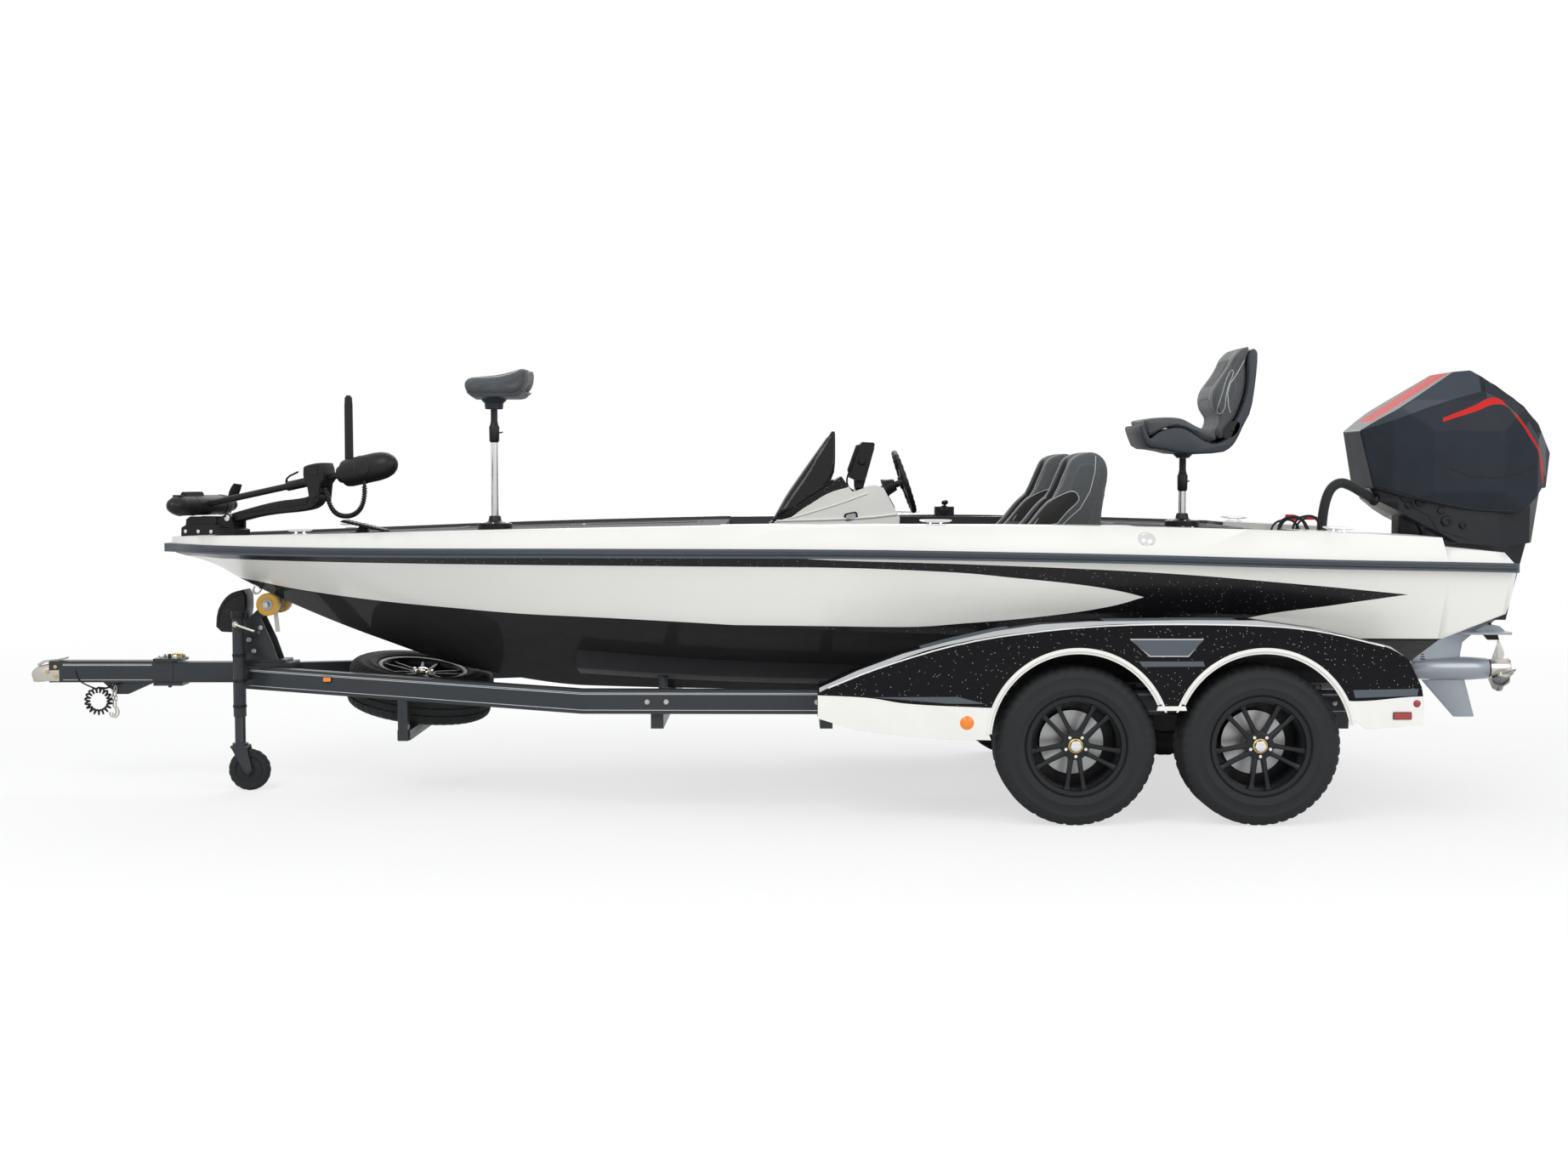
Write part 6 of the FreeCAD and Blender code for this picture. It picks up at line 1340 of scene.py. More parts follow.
    def pad(self, outline: Outline, name: str, finish: Finish) -> bpy.types.Object:
        """Make one cushion of the stern seat from its outline."""
        rings = []
        for share, inset in ((-1.0, 0.02), (-0.96, 0.009), (-0.88, 0.002), (-0.6, 0.0), (-0.555, 0.003),
                (-0.51, 0.0), (0.0, 0.0), (0.51, 0.0), (0.555, 0.003), (0.6, 0.0), (0.88, 0.002), (0.96,
                0.009), (1.0, 0.02)):
            rings.append([(px, share * (self.aft_half - 0.016), pz) for px, pz in
                smooth_outline(shrunk(outline, inset + 0.004), 2)])
        return cushion(rings, name, finish, "aft_seat", 0.005, 0.006, ["aft_seat_cushion"])

    def posts(self) -> None:
        """Build both seat posts: a flanged foot, a polished tube, a black sleeve and the swivel pin."""
        for name, x in (("bow_seat_post", self.bow_x), ("aft_seat_post", self.aft_x)):
            low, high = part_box(name)
            top = high.z - self.spigot
            post = Shell().lathe([(0.088, low.z + 0.001), (0.088, low.z + 0.03), (0.084, low.z + 0.034),
                (0.05, low.z + 0.036)], (x, 0, 0), (0, 0, 1), 48)
            post.lathe([(0.05, low.z + 0.034), (0.034, low.z + 0.044), (0.03, low.z + 0.064), (0.028,
                low.z + 0.07), (0.018, low.z + 0.072)], (x, 0, 0), (0, 0, 1), 40)
            post.lathe([(0.0195, low.z + 0.05), (0.0195, top - 0.16)], (x, 0, 0), (0, 0, 1), 40, mark=1)
            post.lathe([(0.0195, top - 0.17), (0.0255, top - 0.16), (0.0265, top - 0.09), (0.0215, top -
                0.08), (0.0175, top - 0.06), (0.0175, top - 0.002), (0.016, top)], (x, 0, 0), (0, 0, 1),
                40)
            post.lathe([(0.014, top - 0.004), (0.014, high.z - 0.002), (0.0125, high.z)], (x, 0, 0), (0,
                0, 1), 32, mark=1)
            for step in range(6):
                turn = math.radians(60 * step + 30)
                post.lathe([(0.007, 0), (0.0065, 0.003), (0.001, 0.0045)], (x + 0.072 * math.cos(turn),
                    0.072 * math.sin(turn), low.z + 0.0335), (0, 0, 1), 12, mark=1)
            lever = [(x + 0.024, 0.0, top - 0.12), (x + 0.034, 0.006, top - 0.118), (x + 0.038, 0.03, top
                - 0.116)]
            post.tube(lever, 0.004, sides=10, smooth=1)
            post.piece(f"{name}_tube", (BLACK_METAL, CHROME), "root", bevel=0.001, replaces=[name])


def cover_tree(made: bpy.types.Object) -> Surface:
    """Return the surface of a finished piece."""
    return Surface(made.name)


def drawn(skin: Surface, line: Outline, start_y: float, direction: Point, rounds: int) -> list[Vector]:
    """Return a line on a piece's side, found by looking at the side along a direction.

    Args:
        skin: the piece's surface.
        line: points along the line, as (x, z).
        start_y: where to look from.
        direction: where to look.
        rounds: how many steps there are between two points.

    Returns:
        The points that meet the surface.
    """
    path = []
    pairs = list(zip(line, line[1:]))
    for (ax, az), (bx, bz) in pairs:
        for step in range(rounds):
            share = step / rounds
            path.append((ax + (bx - ax) * share, az + (bz - az) * share))
    path.append(line[-1])
    found = [skin.point((x, start_y, z), direction) for x, z in path]
    return [p for p in found if p is not None]


def ridge_line(skin: Surface, line: Outline, y: float, middle: tuple[float, float]) -> list[Vector]:
    """Return a line over a cushion, found by looking from each point's far side towards a middle point."""
    path = []
    for (ax, az), (bx, bz) in zip(line, line[1:]):
        for step in range(4):
            share = step / 4
            x, z = ax + (bx - ax) * share, az + (bz - az) * share
            inward = Vector((middle[0] - x, 0, middle[1] - z)).normalized()
            path.append(skin.point(Vector((x, y, z)) - inward * 0.15, inward))
    return [p for p in path if p is not None]


@dataclass
class Outboard:
    """The outboard motor on its bracket, with its propeller and the sleeved lines to the splash well."""

    tilt: tuple[float, float] = (3.14, 1.24)
    hose_radius: float = 0.025
    route: tuple[tuple[float, float, float], ...] = ((2.752, -0.206, 0.93), (2.724, -0.205, 1.11), (2.714,
        -0.203, 1.28), (2.722, -0.201, 1.425), (2.752, -0.196, 1.53), (2.808, -0.186, 1.57), (2.872,
        -0.172, 1.55), (2.935, -0.15, 1.514), (3.01, -0.12, 1.48))

    def build(self) -> None:
        """Build the motor from its bracket to its propeller."""
        self.bracket()
        self.swivel()
        self.cowl()
        self.leg()
        self.gearcase()
        self.propeller()
        self.lines()

    def cowl(self) -> None:
        """Dress the cowl with crisp, rounded edges and its paint, and draw its seams and louvres on it."""
        node_copy("outboard_cowl", self.cowl_finish(), "outboard", bevel=0.008, soft=9, flat=True)
        seam = Shell()
        skin = Surface("outboard_cowl_skin")
        low = [(2.95, 1.56), (3.061, 1.528), (3.18, 1.494), (3.297, 1.463), (3.39, 1.446), (3.48,
            1.431), (3.6, 1.424), (3.663, 1.424)]
        for out in (-1, 1):
            path = drawn(skin, low, out * 0.5, (0, -out, 0), 4)
            seam.tube(path, 0.0035, sides=8)
            bulge = [(3.33, 1.64), (3.43, 1.6), (3.56, 1.59), (3.69, 1.61), (3.78, 1.65)]
            seam.tube(drawn(skin, bulge, out * 0.5, (0, -out, 0), 5), 0.003, sides=8)
        seam.piece("cowl_seams", BLACK_PLASTIC, "outboard")
        self.grille(skin)

    def cowl_finish(self) -> Finish:
        """Paint the cowl dark slate, with its red front stripe and red side sweeps, and a painted highlight
        of paler slate on its top facets.
        """
        shader = Shader("cowl_colours")
        x, y, z = shader.axes()
        top_red = shader.curve(x, ((2.9, 1.822), (2.994, 1.875), (3.182, 1.975), (3.3, 2.035), (3.448,
            2.105), (3.5, 2.125)))
        front = shader.both(shader.flip(shader.under(z, top_red)), shader.span(x, 2.985, 3.47),
            shader.under(y, 0.13))
        sweep_top = shader.curve(x, ((3.29, 1.886), (3.456, 1.951), (3.559, 1.991), (3.64, 1.925), (3.705,
            1.861), (3.772, 1.771), (3.806, 1.719), (3.85, 1.6)))
        sweep_low = shader.curve(x, ((3.29, 1.868), (3.456, 1.92), (3.579, 1.958), (3.678, 1.874), (3.739,
            1.796), (3.799, 1.706), (3.815, 1.64), (3.85, 1.5)))
        sweep = shader.both(shader.under(z, sweep_top), shader.flip(shader.under(z, sweep_low)),
            shader.span(x, 3.295, 3.84))
        # Painted highlight: the shoulder along the top and the upper back are painted a paler, glossier
        # slate where light falls on them.
        shoulder_low = shader.curve(x, ((2.89, 1.816), (2.938, 1.835), (3.497, 2.021), (3.52, 2.025)))
        shoulder = shader.both(shader.flip(shader.under(z, shoulder_low)), shader.span(x, 2.9, 3.5),
            shader.flip(front))
        upper_highlight = shader.both(shader.flip(shader.under(z, sweep_top)), shader.span(x, 3.525, 3.86),
            shader.flip(front))
        # This paler slate is a painted highlight on the lit top facets, not a second paint.
        top_highlight = Finish("cowl_painted_highlight", "cowl_paint", (0.05, 0.06, 0.074), rough=0.2, depth=0.00002)
        shader.dress(COWL, (top_highlight, shoulder), (top_highlight, upper_highlight), (COWL_RED, sweep), (COWL_RED, front))
        return Finish("cowl_colours", "cowl_paint", COWL.colour)

    def grille(self, skin: Surface) -> None:
        """Build the louvred air intake on each side of the cowl's back."""
        grille = Shell()
        edge = ((3.538, 2.098), (3.631, 2.045), (3.7, 1.98), (3.753, 1.914), (3.815, 1.826))
        for out in (-1, 1):
            for lane in range(7):
                drop = 0.01 + lane * 0.0085
                line = [(px - drop * 0.55, pz - drop) for px, pz in edge]
                line = line[:len(edge) - (1 if lane > 3 else 0)]
                path = drawn(skin, line, out * 0.5, (0, -out, 0), 4)
                if len(path) > 3:
                    grille.tube(path, 0.0026, sides=6)
        grille.piece("cowl_louvres", BLACK_PLASTIC, "outboard")

    def bracket(self) -> None:
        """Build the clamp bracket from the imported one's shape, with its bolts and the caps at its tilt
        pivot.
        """
        node_copy("transom_bracket", BLACK_METAL, bevel=0.004)
        detail = Shell()
        for out in (-1, 1):
            y = out * 0.142
            for x, z in ((2.985, 1.045), (2.985, 0.975), (3.045, 0.9), (3.045, 0.82)):
                detail.lathe([(0.018, -0.004), (0.018, 0.004), (0.013, 0.0045), (0.0125, 0.011), (0.001,
                    0.0115)], (x + 0.06, y, z), (0, out, 0), 18)
            detail.lathe([(0.03, 0.0), (0.03, 0.005), (0.02, 0.008), (0.001, 0.009)], (self.tilt[0], out
                * 0.165, self.tilt[1]), (0, out, 0), 24)
        detail.piece("bracket_bolts", CHROME, bevel=0.0006)

    def swivel(self) -> None:
        """Dress the swivel bracket."""
        node_copy("swivel_bracket", BLACK_METAL, "swivel", bevel=0.004)

    def leg(self) -> None:
        """Build the lower pan and the tapering midsection, one smooth casting, with its seam and knob."""
        node_copy("outboard_leg", LEG, "outboard", bevel=0.01, soft=24)
        column = Shell()
        rows = []
        for z, front, back, half in ((0.864, 3.262, 3.702, 0.0885), (0.95, 3.262, 3.716, 0.089), (1.05,
                3.262, 3.742, 0.0895), (1.15, 3.262, 3.766, 0.0905), (1.25, 3.262, 3.79, 0.093)):
            ring = []
            for k in range(28):
                t = 2 * math.pi * k / 28
                cx = (front + back) / 2 + (back - front) / 2 * math.copysign(abs(math.cos(t)) ** 0.75,
                    math.cos(t))
                ring.append((cx, half * math.copysign(abs(math.sin(t)) ** 0.8, math.sin(t)), z))
            rows.append(ring)
        column.loft(rows)
        column.piece("midsection", LEG, "outboard", soft=60)
        detail = Shell()
        skin = Surface("outboard_leg_skin")
        for out in (-1, 1):
            where = skin.point((3.307, out * 0.5, 1.425), (0, -out, 0))
            detail.lathe([(0.02, -0.004), (0.02, 0.004), (0.016, 0.008), (0.001, 0.009)], where, (0, out,
                0), 24)
            line = drawn(skin, ((3.072, 1.536), (3.113, 1.478), (3.246, 1.4), (3.29, 1.33), (3.459,
                1.275)), out * 0.5, (0, -out, 0), 4)
            detail.tube(line, 0.003, sides=8)
            for x, z, size in ((3.15, 1.452, 0.02), (3.205, 1.47, 0.026), (3.335, 1.372, 0.027), (3.42,
                    1.35, 0.018)):
                where = skin.point((x, out * 0.5, z), (0, -out, 0))
                if where is not None:
                    detail.lathe([(size, -0.006), (size, 0.01), (size - 0.004, 0.014), (size * 0.55,
                        0.015), (size * 0.5, 0.009), (0.001, 0.008)], where, (0, out, 0), 24)
        detail.piece("pan_details", BLACK_PLASTIC, "outboard")

    def gearcase(self) -> None:
        """Build the gearcase: a torpedo, a faired strut, the anti-ventilation plate and the skeg."""
        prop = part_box("propeller")
        axis_z = (prop[0].z + prop[1].z) / 2
        body = Shell()
        nose = [(0.001, 3.219), (0.016, 3.224), (0.03, 3.24), (0.044, 3.268), (0.054, 3.31), (0.0595,
            3.36), (0.061, 3.43), (0.061, 3.52), (0.059, 3.56), (0.0535, 3.637)]
        body.lathe(nose + [(0.05, 3.641)], (0, 0, axis_z), (1, 0, 0), 48)
        rows = []
        for z, front, back, half in ((0.55, 3.262, 3.5, 0.026), (0.6, 3.252, 3.496, 0.024), (0.65,
                3.243, 3.5, 0.022), (0.69, 3.224, 3.503, 0.022), (0.74, 3.219, 3.512, 0.024), (0.78,
                3.226, 3.56, 0.03), (0.826, 3.236, 3.64, 0.038), (0.862, 3.246, 3.692, 0.05)):
            ring = []
            for k in range(32):
                t = 2 * math.pi * k / 32
                share = (1 - math.cos(t)) / 2
                thick = 2.6 * half * (math.sqrt(max(share, 0)) * (1 - share) ** 0.75)
                ring.append((front + (back - front) * share, math.copysign(thick, math.sin(t)) if k % 16
                    else 0.0, z))
            rows.append(ring)
        body.loft(rows)
        plan = [(3.396, 0.03), (3.44, 0.085), (3.5, 0.118), (3.6, 0.127), (3.72, 0.124), (3.731,
            0.1), (3.726, 0.0)]
        plate = [(px, py) for px, py in plan] + [(px, -py) for px, py in reversed(plan[:-1])]
        body.prism(plate, 0.788, 0.7995, "XY")
        body.prism([(3.42, 0.799), (3.728, 0.799), (3.7, 0.824), (3.52, 0.86), (3.43, 0.86)], -0.01,
            0.01)
        skeg = Shell()
        rings = []
        for share in (0.0, 0.35, 0.7, 1.0):
            z = 0.545 - share * (0.545 - 0.3525)
            front = 3.3 + share * (3.47 - 3.3)
            back = 3.527 + share * (3.58 - 3.527)
            half = 0.0085 * (1 - 0.45 * share)
            rings.append([(front, 0, z), (front + 0.02, half, z), (back - 0.03, half, z), (back, 0, z),
                (back - 0.03, -half, z), (front + 0.02, -half, z)])
        body.joined(skeg.loft(rings))
        body.piece("gearcase_casting", GEARCASE, "outboard", bevel=0.0015, soft=40,
            replaces=["outboard_gearcase"])
        ports = Shell()
        for out in (-1, 1):
            for row in range(4):
                ports.block((3.285 + row * 0.002, out * 0.0215 - 0.002, 0.64 + row * 0.012), (3.325, out *
                    0.0215 + 0.002, 0.6455 + row * 0.012))
            for x, z in ((3.58, 0.842), (3.64, 0.838)):
                ports.lathe([(0.009, 0), (0.008, 0.003), (0.001, 0.004)], (x, out * 0.03, z), (0, out, 0),
                    14)
        ports.prism([(3.61, 0.786), (3.69, 0.786), (3.7, 0.752), (3.64, 0.752)], -0.006, 0.006)
        ports.piece("gearcase_intakes", BLACK_METAL, "outboard", bevel=0.0006)

    def propeller(self) -> None:
        """Build the polished three-bladed propeller with its cupped, raked blades."""
        low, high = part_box("propeller")
        axis = Vector((0, 0, (low.z + high.z) / 2))
        radius = min((high.z - low.z) / 2, (high.y - low.y) / 2 + 0.02) - 0.002
        hub_front = 3.6462
        prop = Shell()
        prop.lathe([(0.04, 0.0), (0.05, 0.002), (0.051, 0.03), (0.05, 0.085), (0.054, 0.104),
            (0.05, 0.105), (0.044, 0.085), (0.034, 0.08)], (hub_front, 0, axis.z), (1, 0, 0), 48)
        prop.lathe([(0.022, 0.07), (0.022, 0.094), (0.014, 0.1), (0.01, 0.101), (0.01, 0.109), (0.001,
            0.11)], (hub_front, 0, axis.z), (1, 0, 0), 24)
        prop.lathe([(0.0145, -0.004), (0.0145, 0.01)], (hub_front, 0, axis.z), (1, 0, 0), 24)
        blade = Shell()
        rows = []
        for share in (0.0, 0.12, 0.3, 0.5, 0.7, 0.85, 0.95, 1.0):
            r = 0.046 + (radius - 0.046) * share
            chord = 0.138 * (0.62 + 1.25 * share - 1.15 * share ** 2) * (1.0 if share < 0.9 else 1.0 - 4.5 *
                (share - 0.9))
            pitch = math.radians(62 - 34 * share)
            skew = 0.3 * share ** 1.6
            rake = 0.03 * share
            ring = []
            for k in range(22):
                t = 2 * math.pi * k / 22
                c = -math.cos(t) * 0.5
                thick = (0.0042 * (1 - 0.6 * share)) * math.sin(t)
                camber = 0.01 * (1 - 4 * c * c) * (0.6 + share) + (0.006 * share if c > 0.4 else 0.0)
                along = c * chord * math.cos(pitch) + (camber + thick) * math.sin(pitch)
                axial = c * chord * math.sin(pitch) - (camber + thick) * math.cos(pitch)
                turn = along / r + skew
                ring.append((hub_front + 0.046 + axial * 0.92 + rake, r * math.sin(turn), r *
                    math.cos(turn)))
            rows.append(ring)
        blade.loft(rows)
        for turn in (0, 120, 240):
            prop.joined(blade, at(0, 0, axis.z) @ spin(turn, "X"))
        prop.piece("propeller_wheel", POLISHED, "propeller", soft=45, replaces=["propeller"])

    def lines(self) -> None:
        """Run the sleeved lines from the splash well into the motor, with their collars and leads."""
        curve = bpy.data.curves.new("sleeved_lines", "CURVE")
        curve.dimensions = "3D"
        curve.bevel_depth, curve.bevel_resolution, curve.resolution_u = self.hose_radius, 6, 10
        run = curve.splines.new("NURBS")
        run.points.add(len(self.route) - 1)
        for point, place in zip(run.points, self.route):
            point.co = (*place, 1.0)
        run.order_u, run.use_endpoint_u = 3, True
        holder = bpy.data.objects.new("sleeve_path", curve)
        bpy.context.scene.collection.objects.link(holder)
        graph = bpy.context.evaluated_depsgraph_get()
        mesh = bpy.data.meshes.new_from_object(holder.evaluated_get(graph))
        bpy.data.objects.remove(holder)
        mesh.materials.clear()
        mesh.materials.append(HOSE.material())
        self.carry(mesh, "rigging_sleeve", ["rigging_hose"])
        for index, body in ((0, "root"), (8, "swivel")):
            here = Vector(self.route[index])
            ahead = (Vector(self.route[1 if index == 0 else 7]) - here).normalized()
            made = Shell().lathe([(0.026, -0.006), (0.034, -0.004), (0.034, 0.012), (0.0275, 0.018),
                (0.0265, 0.04), (0.0255, 0.041)], here, ahead, 28)
            made.piece(f"sleeve_collar_{body}", BLACK_PLASTIC, body, bevel=0.0008)
        self.leads()

    def leads(self) -> None:
        """Lay the loose battery leads and their connectors over the edge of the splash well."""
        leads = Shell()
        for number, (start_x, lift, y) in enumerate(((2.43, 0.02, -0.3), (2.455, 0.036, -0.34), (2.49,
                0.028, -0.24), (2.52, 0.04, -0.37), (2.56, 0.03, -0.28))):
            top = 1.365 + lift
            leads.tube([(start_x, y, 1.3), (start_x + 0.02, y + 0.01, top - 0.02), (start_x + 0.075, y -
                0.02, top), (start_x + 0.13, y + 0.015, top - 0.012), (start_x + 0.165, y, 1.3)], 0.0055
                + 0.001 * (number % 2), sides=10, smooth=2)
        for x, y, z in ((2.52, -0.335, 1.388), (2.57, -0.245, 1.376), (2.635, -0.29, 1.38)):
            leads.block((x - 0.02, y - 0.012, z), (x + 0.02, y + 0.012, z + 0.02), mark=1)
            leads.block((x + 0.02, y - 0.009, z + 0.003), (x + 0.032, y + 0.009, z + 0.017))
        leads.piece("battery_leads", (BLACK_PLASTIC, COWL_RED), bevel=0.0015, soft=60)

    def carry(self, mesh: bpy.types.Mesh, name: str, replaces: Sequence[str]) -> None:
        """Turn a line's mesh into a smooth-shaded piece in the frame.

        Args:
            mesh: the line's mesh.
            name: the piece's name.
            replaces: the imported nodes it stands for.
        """
        tidy = bmesh_of(mesh)
        bmesh.ops.recalc_face_normals(tidy, faces=tidy.faces)
        tidy.to_mesh(mesh)
        tidy.free()
        mesh.shade_smooth()
        made = bpy.data.objects.new(name, mesh)
        bpy.context.scene.collection.objects.link(made)
        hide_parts(*replaces)
        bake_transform(made)


@dataclass
class TrollingMotor:
    """The trolling motor stowed on the bow: mount, arm, shaft with head, pod and propeller."""

    yaw: float = 22.0
    foot: tuple[float, float] = (-2.99, -0.02)
    rise: float = 10.5
    pod_z: float = 1.449
    pod_half: float = 0.2
    pod_radius: float = 0.052
    arm: tuple[float, float] = (0.2, 1.385)
    yoke: tuple[float, float] = (0.723, 1.5)
    head: float = 1.175

    def build(self) -> None:
        """Build every part along the motor's own length and turn it to its stowed angle."""
        self.place = at(self.foot[0], self.foot[1], 0) @ spin(-self.yaw, "Z")
        self.mount()
        self.arm_casting()
        self.shaft()
        self.pod()
        self.propeller()

    def set_down(self, shell: Shell, name: str, finishes: Finish | Sequence[Finish], body: str, replaces:
            Sequence[str] = (), bevel: float = 0.0012, soft: float = 35.0) -> None:
        """Turn a shell to the stowed angle and make it a piece."""
        shell.moved(self.place).piece(name, finishes, body, bevel=bevel, soft=soft, replaces=replaces)

    def line(self, s: float, lift: float = 0.0) -> Vector:
        """Return a point on the shaft's line, at a distance along the motor."""
        rise = math.tan(math.radians(self.rise))
        lean = math.radians(self.rise)
        return Vector((s - lift * math.sin(lean), 0, self.pod_z + s * rise + lift * math.cos(lean)))

    def mount(self) -> None:
        """Build the deck mount: a plate, two cheeks, a ribbed bellows and its bolts."""
        mount = Shell()
        mount.prism([(-0.093, 1.282), (0.246, 1.282), (0.248, 1.326), (0.168, 1.35), (-0.058, 1.35),
            (-0.09, 1.334)], -0.06, 0.06)
        mount.prism([(-0.07, 1.346), (0.12, 1.346), (0.108, 1.392), (-0.04, 1.392), (-0.066, 1.378)],
            -0.05, -0.04)
        mount.prism([(-0.07, 1.346), (0.12, 1.346), (0.108, 1.392), (-0.04, 1.392), (-0.066, 1.378)],
            0.04, 0.05)
        for out in (-1, 1):
            cheek = [(0.15, 1.33), (0.224, 1.33), (0.225, 1.393), (0.206, 1.408), (0.186, 1.406), (0.152,
                1.386)]
            mount.prism(cheek, min(out * 0.0425, out * 0.06), max(out * 0.0425, out * 0.06))
            for s in (-0.06, 0.02, 0.1):
                mount.lathe([(0.011, -0.001), (0.01, 0.006), (0.001, 0.007)], (s, out * 0.06, 1.315), (0,
                    out, 0), 14, mark=1)
            mount.lathe([(0.016, 0), (0.016, 0.004), (0.01, 0.006), (0.001, 0.0065)], (self.arm[0], out *
                0.06, self.arm[1]), (0, out, 0), 20, mark=1)
        mount.lathe([(0.0098, -0.055), (0.0098, 0.055)], (self.arm[0], 0, self.arm[1]), (0, 1, 0), 20,
            mark=1)
        for rib in range(7):
            s = 0.128 - rib * 0.004
            mount.block((s - 0.0012, -0.036, 1.35), (s + 0.0012, 0.036, 1.372 - rib * 0.001))
        for rib in range(9):
            s = 0.16 - rib * 0.0002
            z = 1.322 + rib * 0.0085
            for out in (-1, 1):
                mount.block((s - 0.02, out * 0.0605 - 0.0022, z), (s + 0.058, out * 0.0605 + 0.0022, z +
                    0.004))
        self.set_down(mount, "bow_mount", (BLACK_METAL, CHROME), "root", ["trolling_mount"])

    def arm_casting(self) -> None:
        """Build the lift arm with recessed webs."""
        s0, z0 = self.arm
        s1, z1 = self.yoke
        outline = [(s0 - 0.018, z0 - 0.004), (s0, z0 - 0.02), (s0 + 0.03, z0 - 0.02), (s0 + 0.2, z0 +
            0.018), (s1 - 0.06, z1 - 0.076), (s1 + 0.008, z1 - 0.044), (s1 + 0.02, z1), (s1, z1 + 0.02),
            (s1 - 0.024, z1 + 0.007), (s1 - 0.09, z1 - 0.013), (s1 - 0.25, z1 - 0.026), (s0 + 0.03, z0 +
            0.032), (s0, z0 + 0.022), (s0 - 0.014, z0 + 0.013)]
        arm = Shell()
        body = smooth_outline(outline, 2)
        rings = []
        for y, inset in ((-0.035, 0.006), (-0.03, 0.001), (-0.022, 0.0), (0.022, 0.0), (0.03, 0.001),
                (0.035, 0.006)):
            rings.append([(px, y, pz) for px, pz in shrunk(body, inset)])
        arm.loft(rings)
        for out in (-1, 1):
            for low, high in ((0.08, 0.3), (0.33, 0.47)):
                panel = [(s0 + low, z0 + 0.016 + low * 0.12), (s0 + high, z0 + 0.012 + high * 0.13), (s0 +
                    high, z0 + 0.022 + high * 0.17), (s0 + low, z0 + 0.026 + low * 0.16)]
                arm.prism(panel, min(out * 0.034, out * 0.038), max(out * 0.034, out * 0.038), mark=1)
        self.set_down(arm, "lift_arm", (BLACK_METAL, BLACK_PLASTIC), "trolling_arm", ["trolling_arm"],
            soft=28)

    def shaft(self) -> None:
        """Build the shaft, the yoke that cradles it, the head with its lid and the wand."""
        shaft = Shell()
        start, end = self.line(0.03), self.line(self.head - 0.29)
        shaft.tube([start, end], 0.0166, sides=28, mark=1)
        shaft.tube([self.line(0.52), self.line(0.53), self.line(0.64), self.line(0.65)], (0.018, 0.024,
            0.024, 0.018), sides=28)
        s1, z1 = self.yoke
        cradle = [(s1 - 0.06, 1.532), (s1 + 0.064, 1.554), (s1 + 0.052, 1.664), (s1 + 0.02, 1.666), (s1 -
            0.05, 1.654), (s1 - 0.07, 1.638)]
        rings = []
        for y, inset in ((-0.057, 0.01), (-0.05, 0.002), (-0.03, 0.0), (0.03, 0.0), (0.05, 0.002),
                (0.057, 0.01)):
            rings.append([(px, y, pz) for px, pz in shrunk(smooth_outline(cradle, 1), inset)])
        shaft.loft(rings)
        for out in (-1, 1):
            cheek = [(s1 - 0.024, z1 - 0.028), (s1 + 0.024, z1 - 0.028), (s1 + 0.036, 1.56), (s1 + 0.04,
                1.6), (s1 - 0.046, 1.6), (s1 - 0.04, 1.56)]
            shaft.prism(cheek, min(out * 0.0425, out * 0.0575), max(out * 0.0425, out * 0.0575))
            shaft.lathe([(0.017, 0), (0.017, 0.004), (0.011, 0.006), (0.001, 0.0065)], (s1, out * 0.0575,
                z1), (0, out, 0), 20, mark=1)
            shaft.prism(rounded(0.024, 0.02, 0.006), 0.0, 0.004, "XY", mark=1)
            shaft.points[-48:] = [at(s1 + 0.002, out * 0.056, 1.622) @ spin(-90 * out, "X") @ p for p in
                shaft.points[-48:]]
        shaft.lathe([(0.0098, -0.05), (0.0098, 0.05)], (s1, 0, z1), (0, 1, 0), 20, mark=1)
        shaft.tube([self.line(s1 - 0.2, 0.02), self.line(s1 - 0.19, 0.046), self.line(s1 - 0.12, 0.06)],
            (0.006, 0.007, 0.005), sides=12, smooth=1)
        axis = (self.line(1.0) - self.line(0.0)).normalized()
        foot = self.line(self.head - 0.3)
        shaft.lathe([(0.03, -0.035), (0.042, -0.03), (0.045, -0.004), (0.052, 0.0)], foot, axis, 40)
        shaft.lathe([(0.05, 0.0), (0.066, 0.006), (0.07, 0.03), (0.07, 0.19), (0.066, 0.23), (0.056,
            0.262), (0.04, 0.284), (0.022, 0.297), (0.002, 0.302)], foot, axis, 48)
        shaft.lathe([(0.0705, 0.098), (0.0718, 0.1), (0.0718, 0.106), (0.0705, 0.108)], foot, axis, 48,
            mark=1)
        for out in (-1, 1):
            shaft.lathe([(0.034, 0.062), (0.034, 0.0715), (0.028, 0.0735), (0.001, 0.074)],
                self.line(self.head - 0.15), (0, out, 0), 32, mark=1)
        wand_s = self.head - 0.278
        wand = [(-0.0195, -0.01), (0.0195, -0.01), (0.0195, 0.01), (-0.0195, 0.01)]
        shaft.loft([[(wand_s + a * k, b * k, z) for a, b in wand] for z, k in ((1.64, 0.9), (1.668, 1.0),
            (1.95, 0.95), (1.985, 0.85), (1.998, 0.5))], mark=1)
        wires = [(self.head - 0.16, -0.045, 1.575), (self.head - 0.155, -0.05, 1.5), (self.head - 0.18,
            -0.048, 1.435), (self.head - 0.24, -0.04, 1.4), (self.head - 0.32, -0.035, 1.402), (self.head
            - 0.37, -0.03, 1.44), (s1 + 0.05, -0.03, 1.54)]
        self.set_down(shaft, "shaft_and_head", (BLACK_PLASTIC, BLACK_METAL), "trolling_shaft",
            ["trolling_shaft"])
        lead = Shell()
        self.coil(lead, wires)
        lead.tube(wires, 0.0075, sides=10, smooth=3)
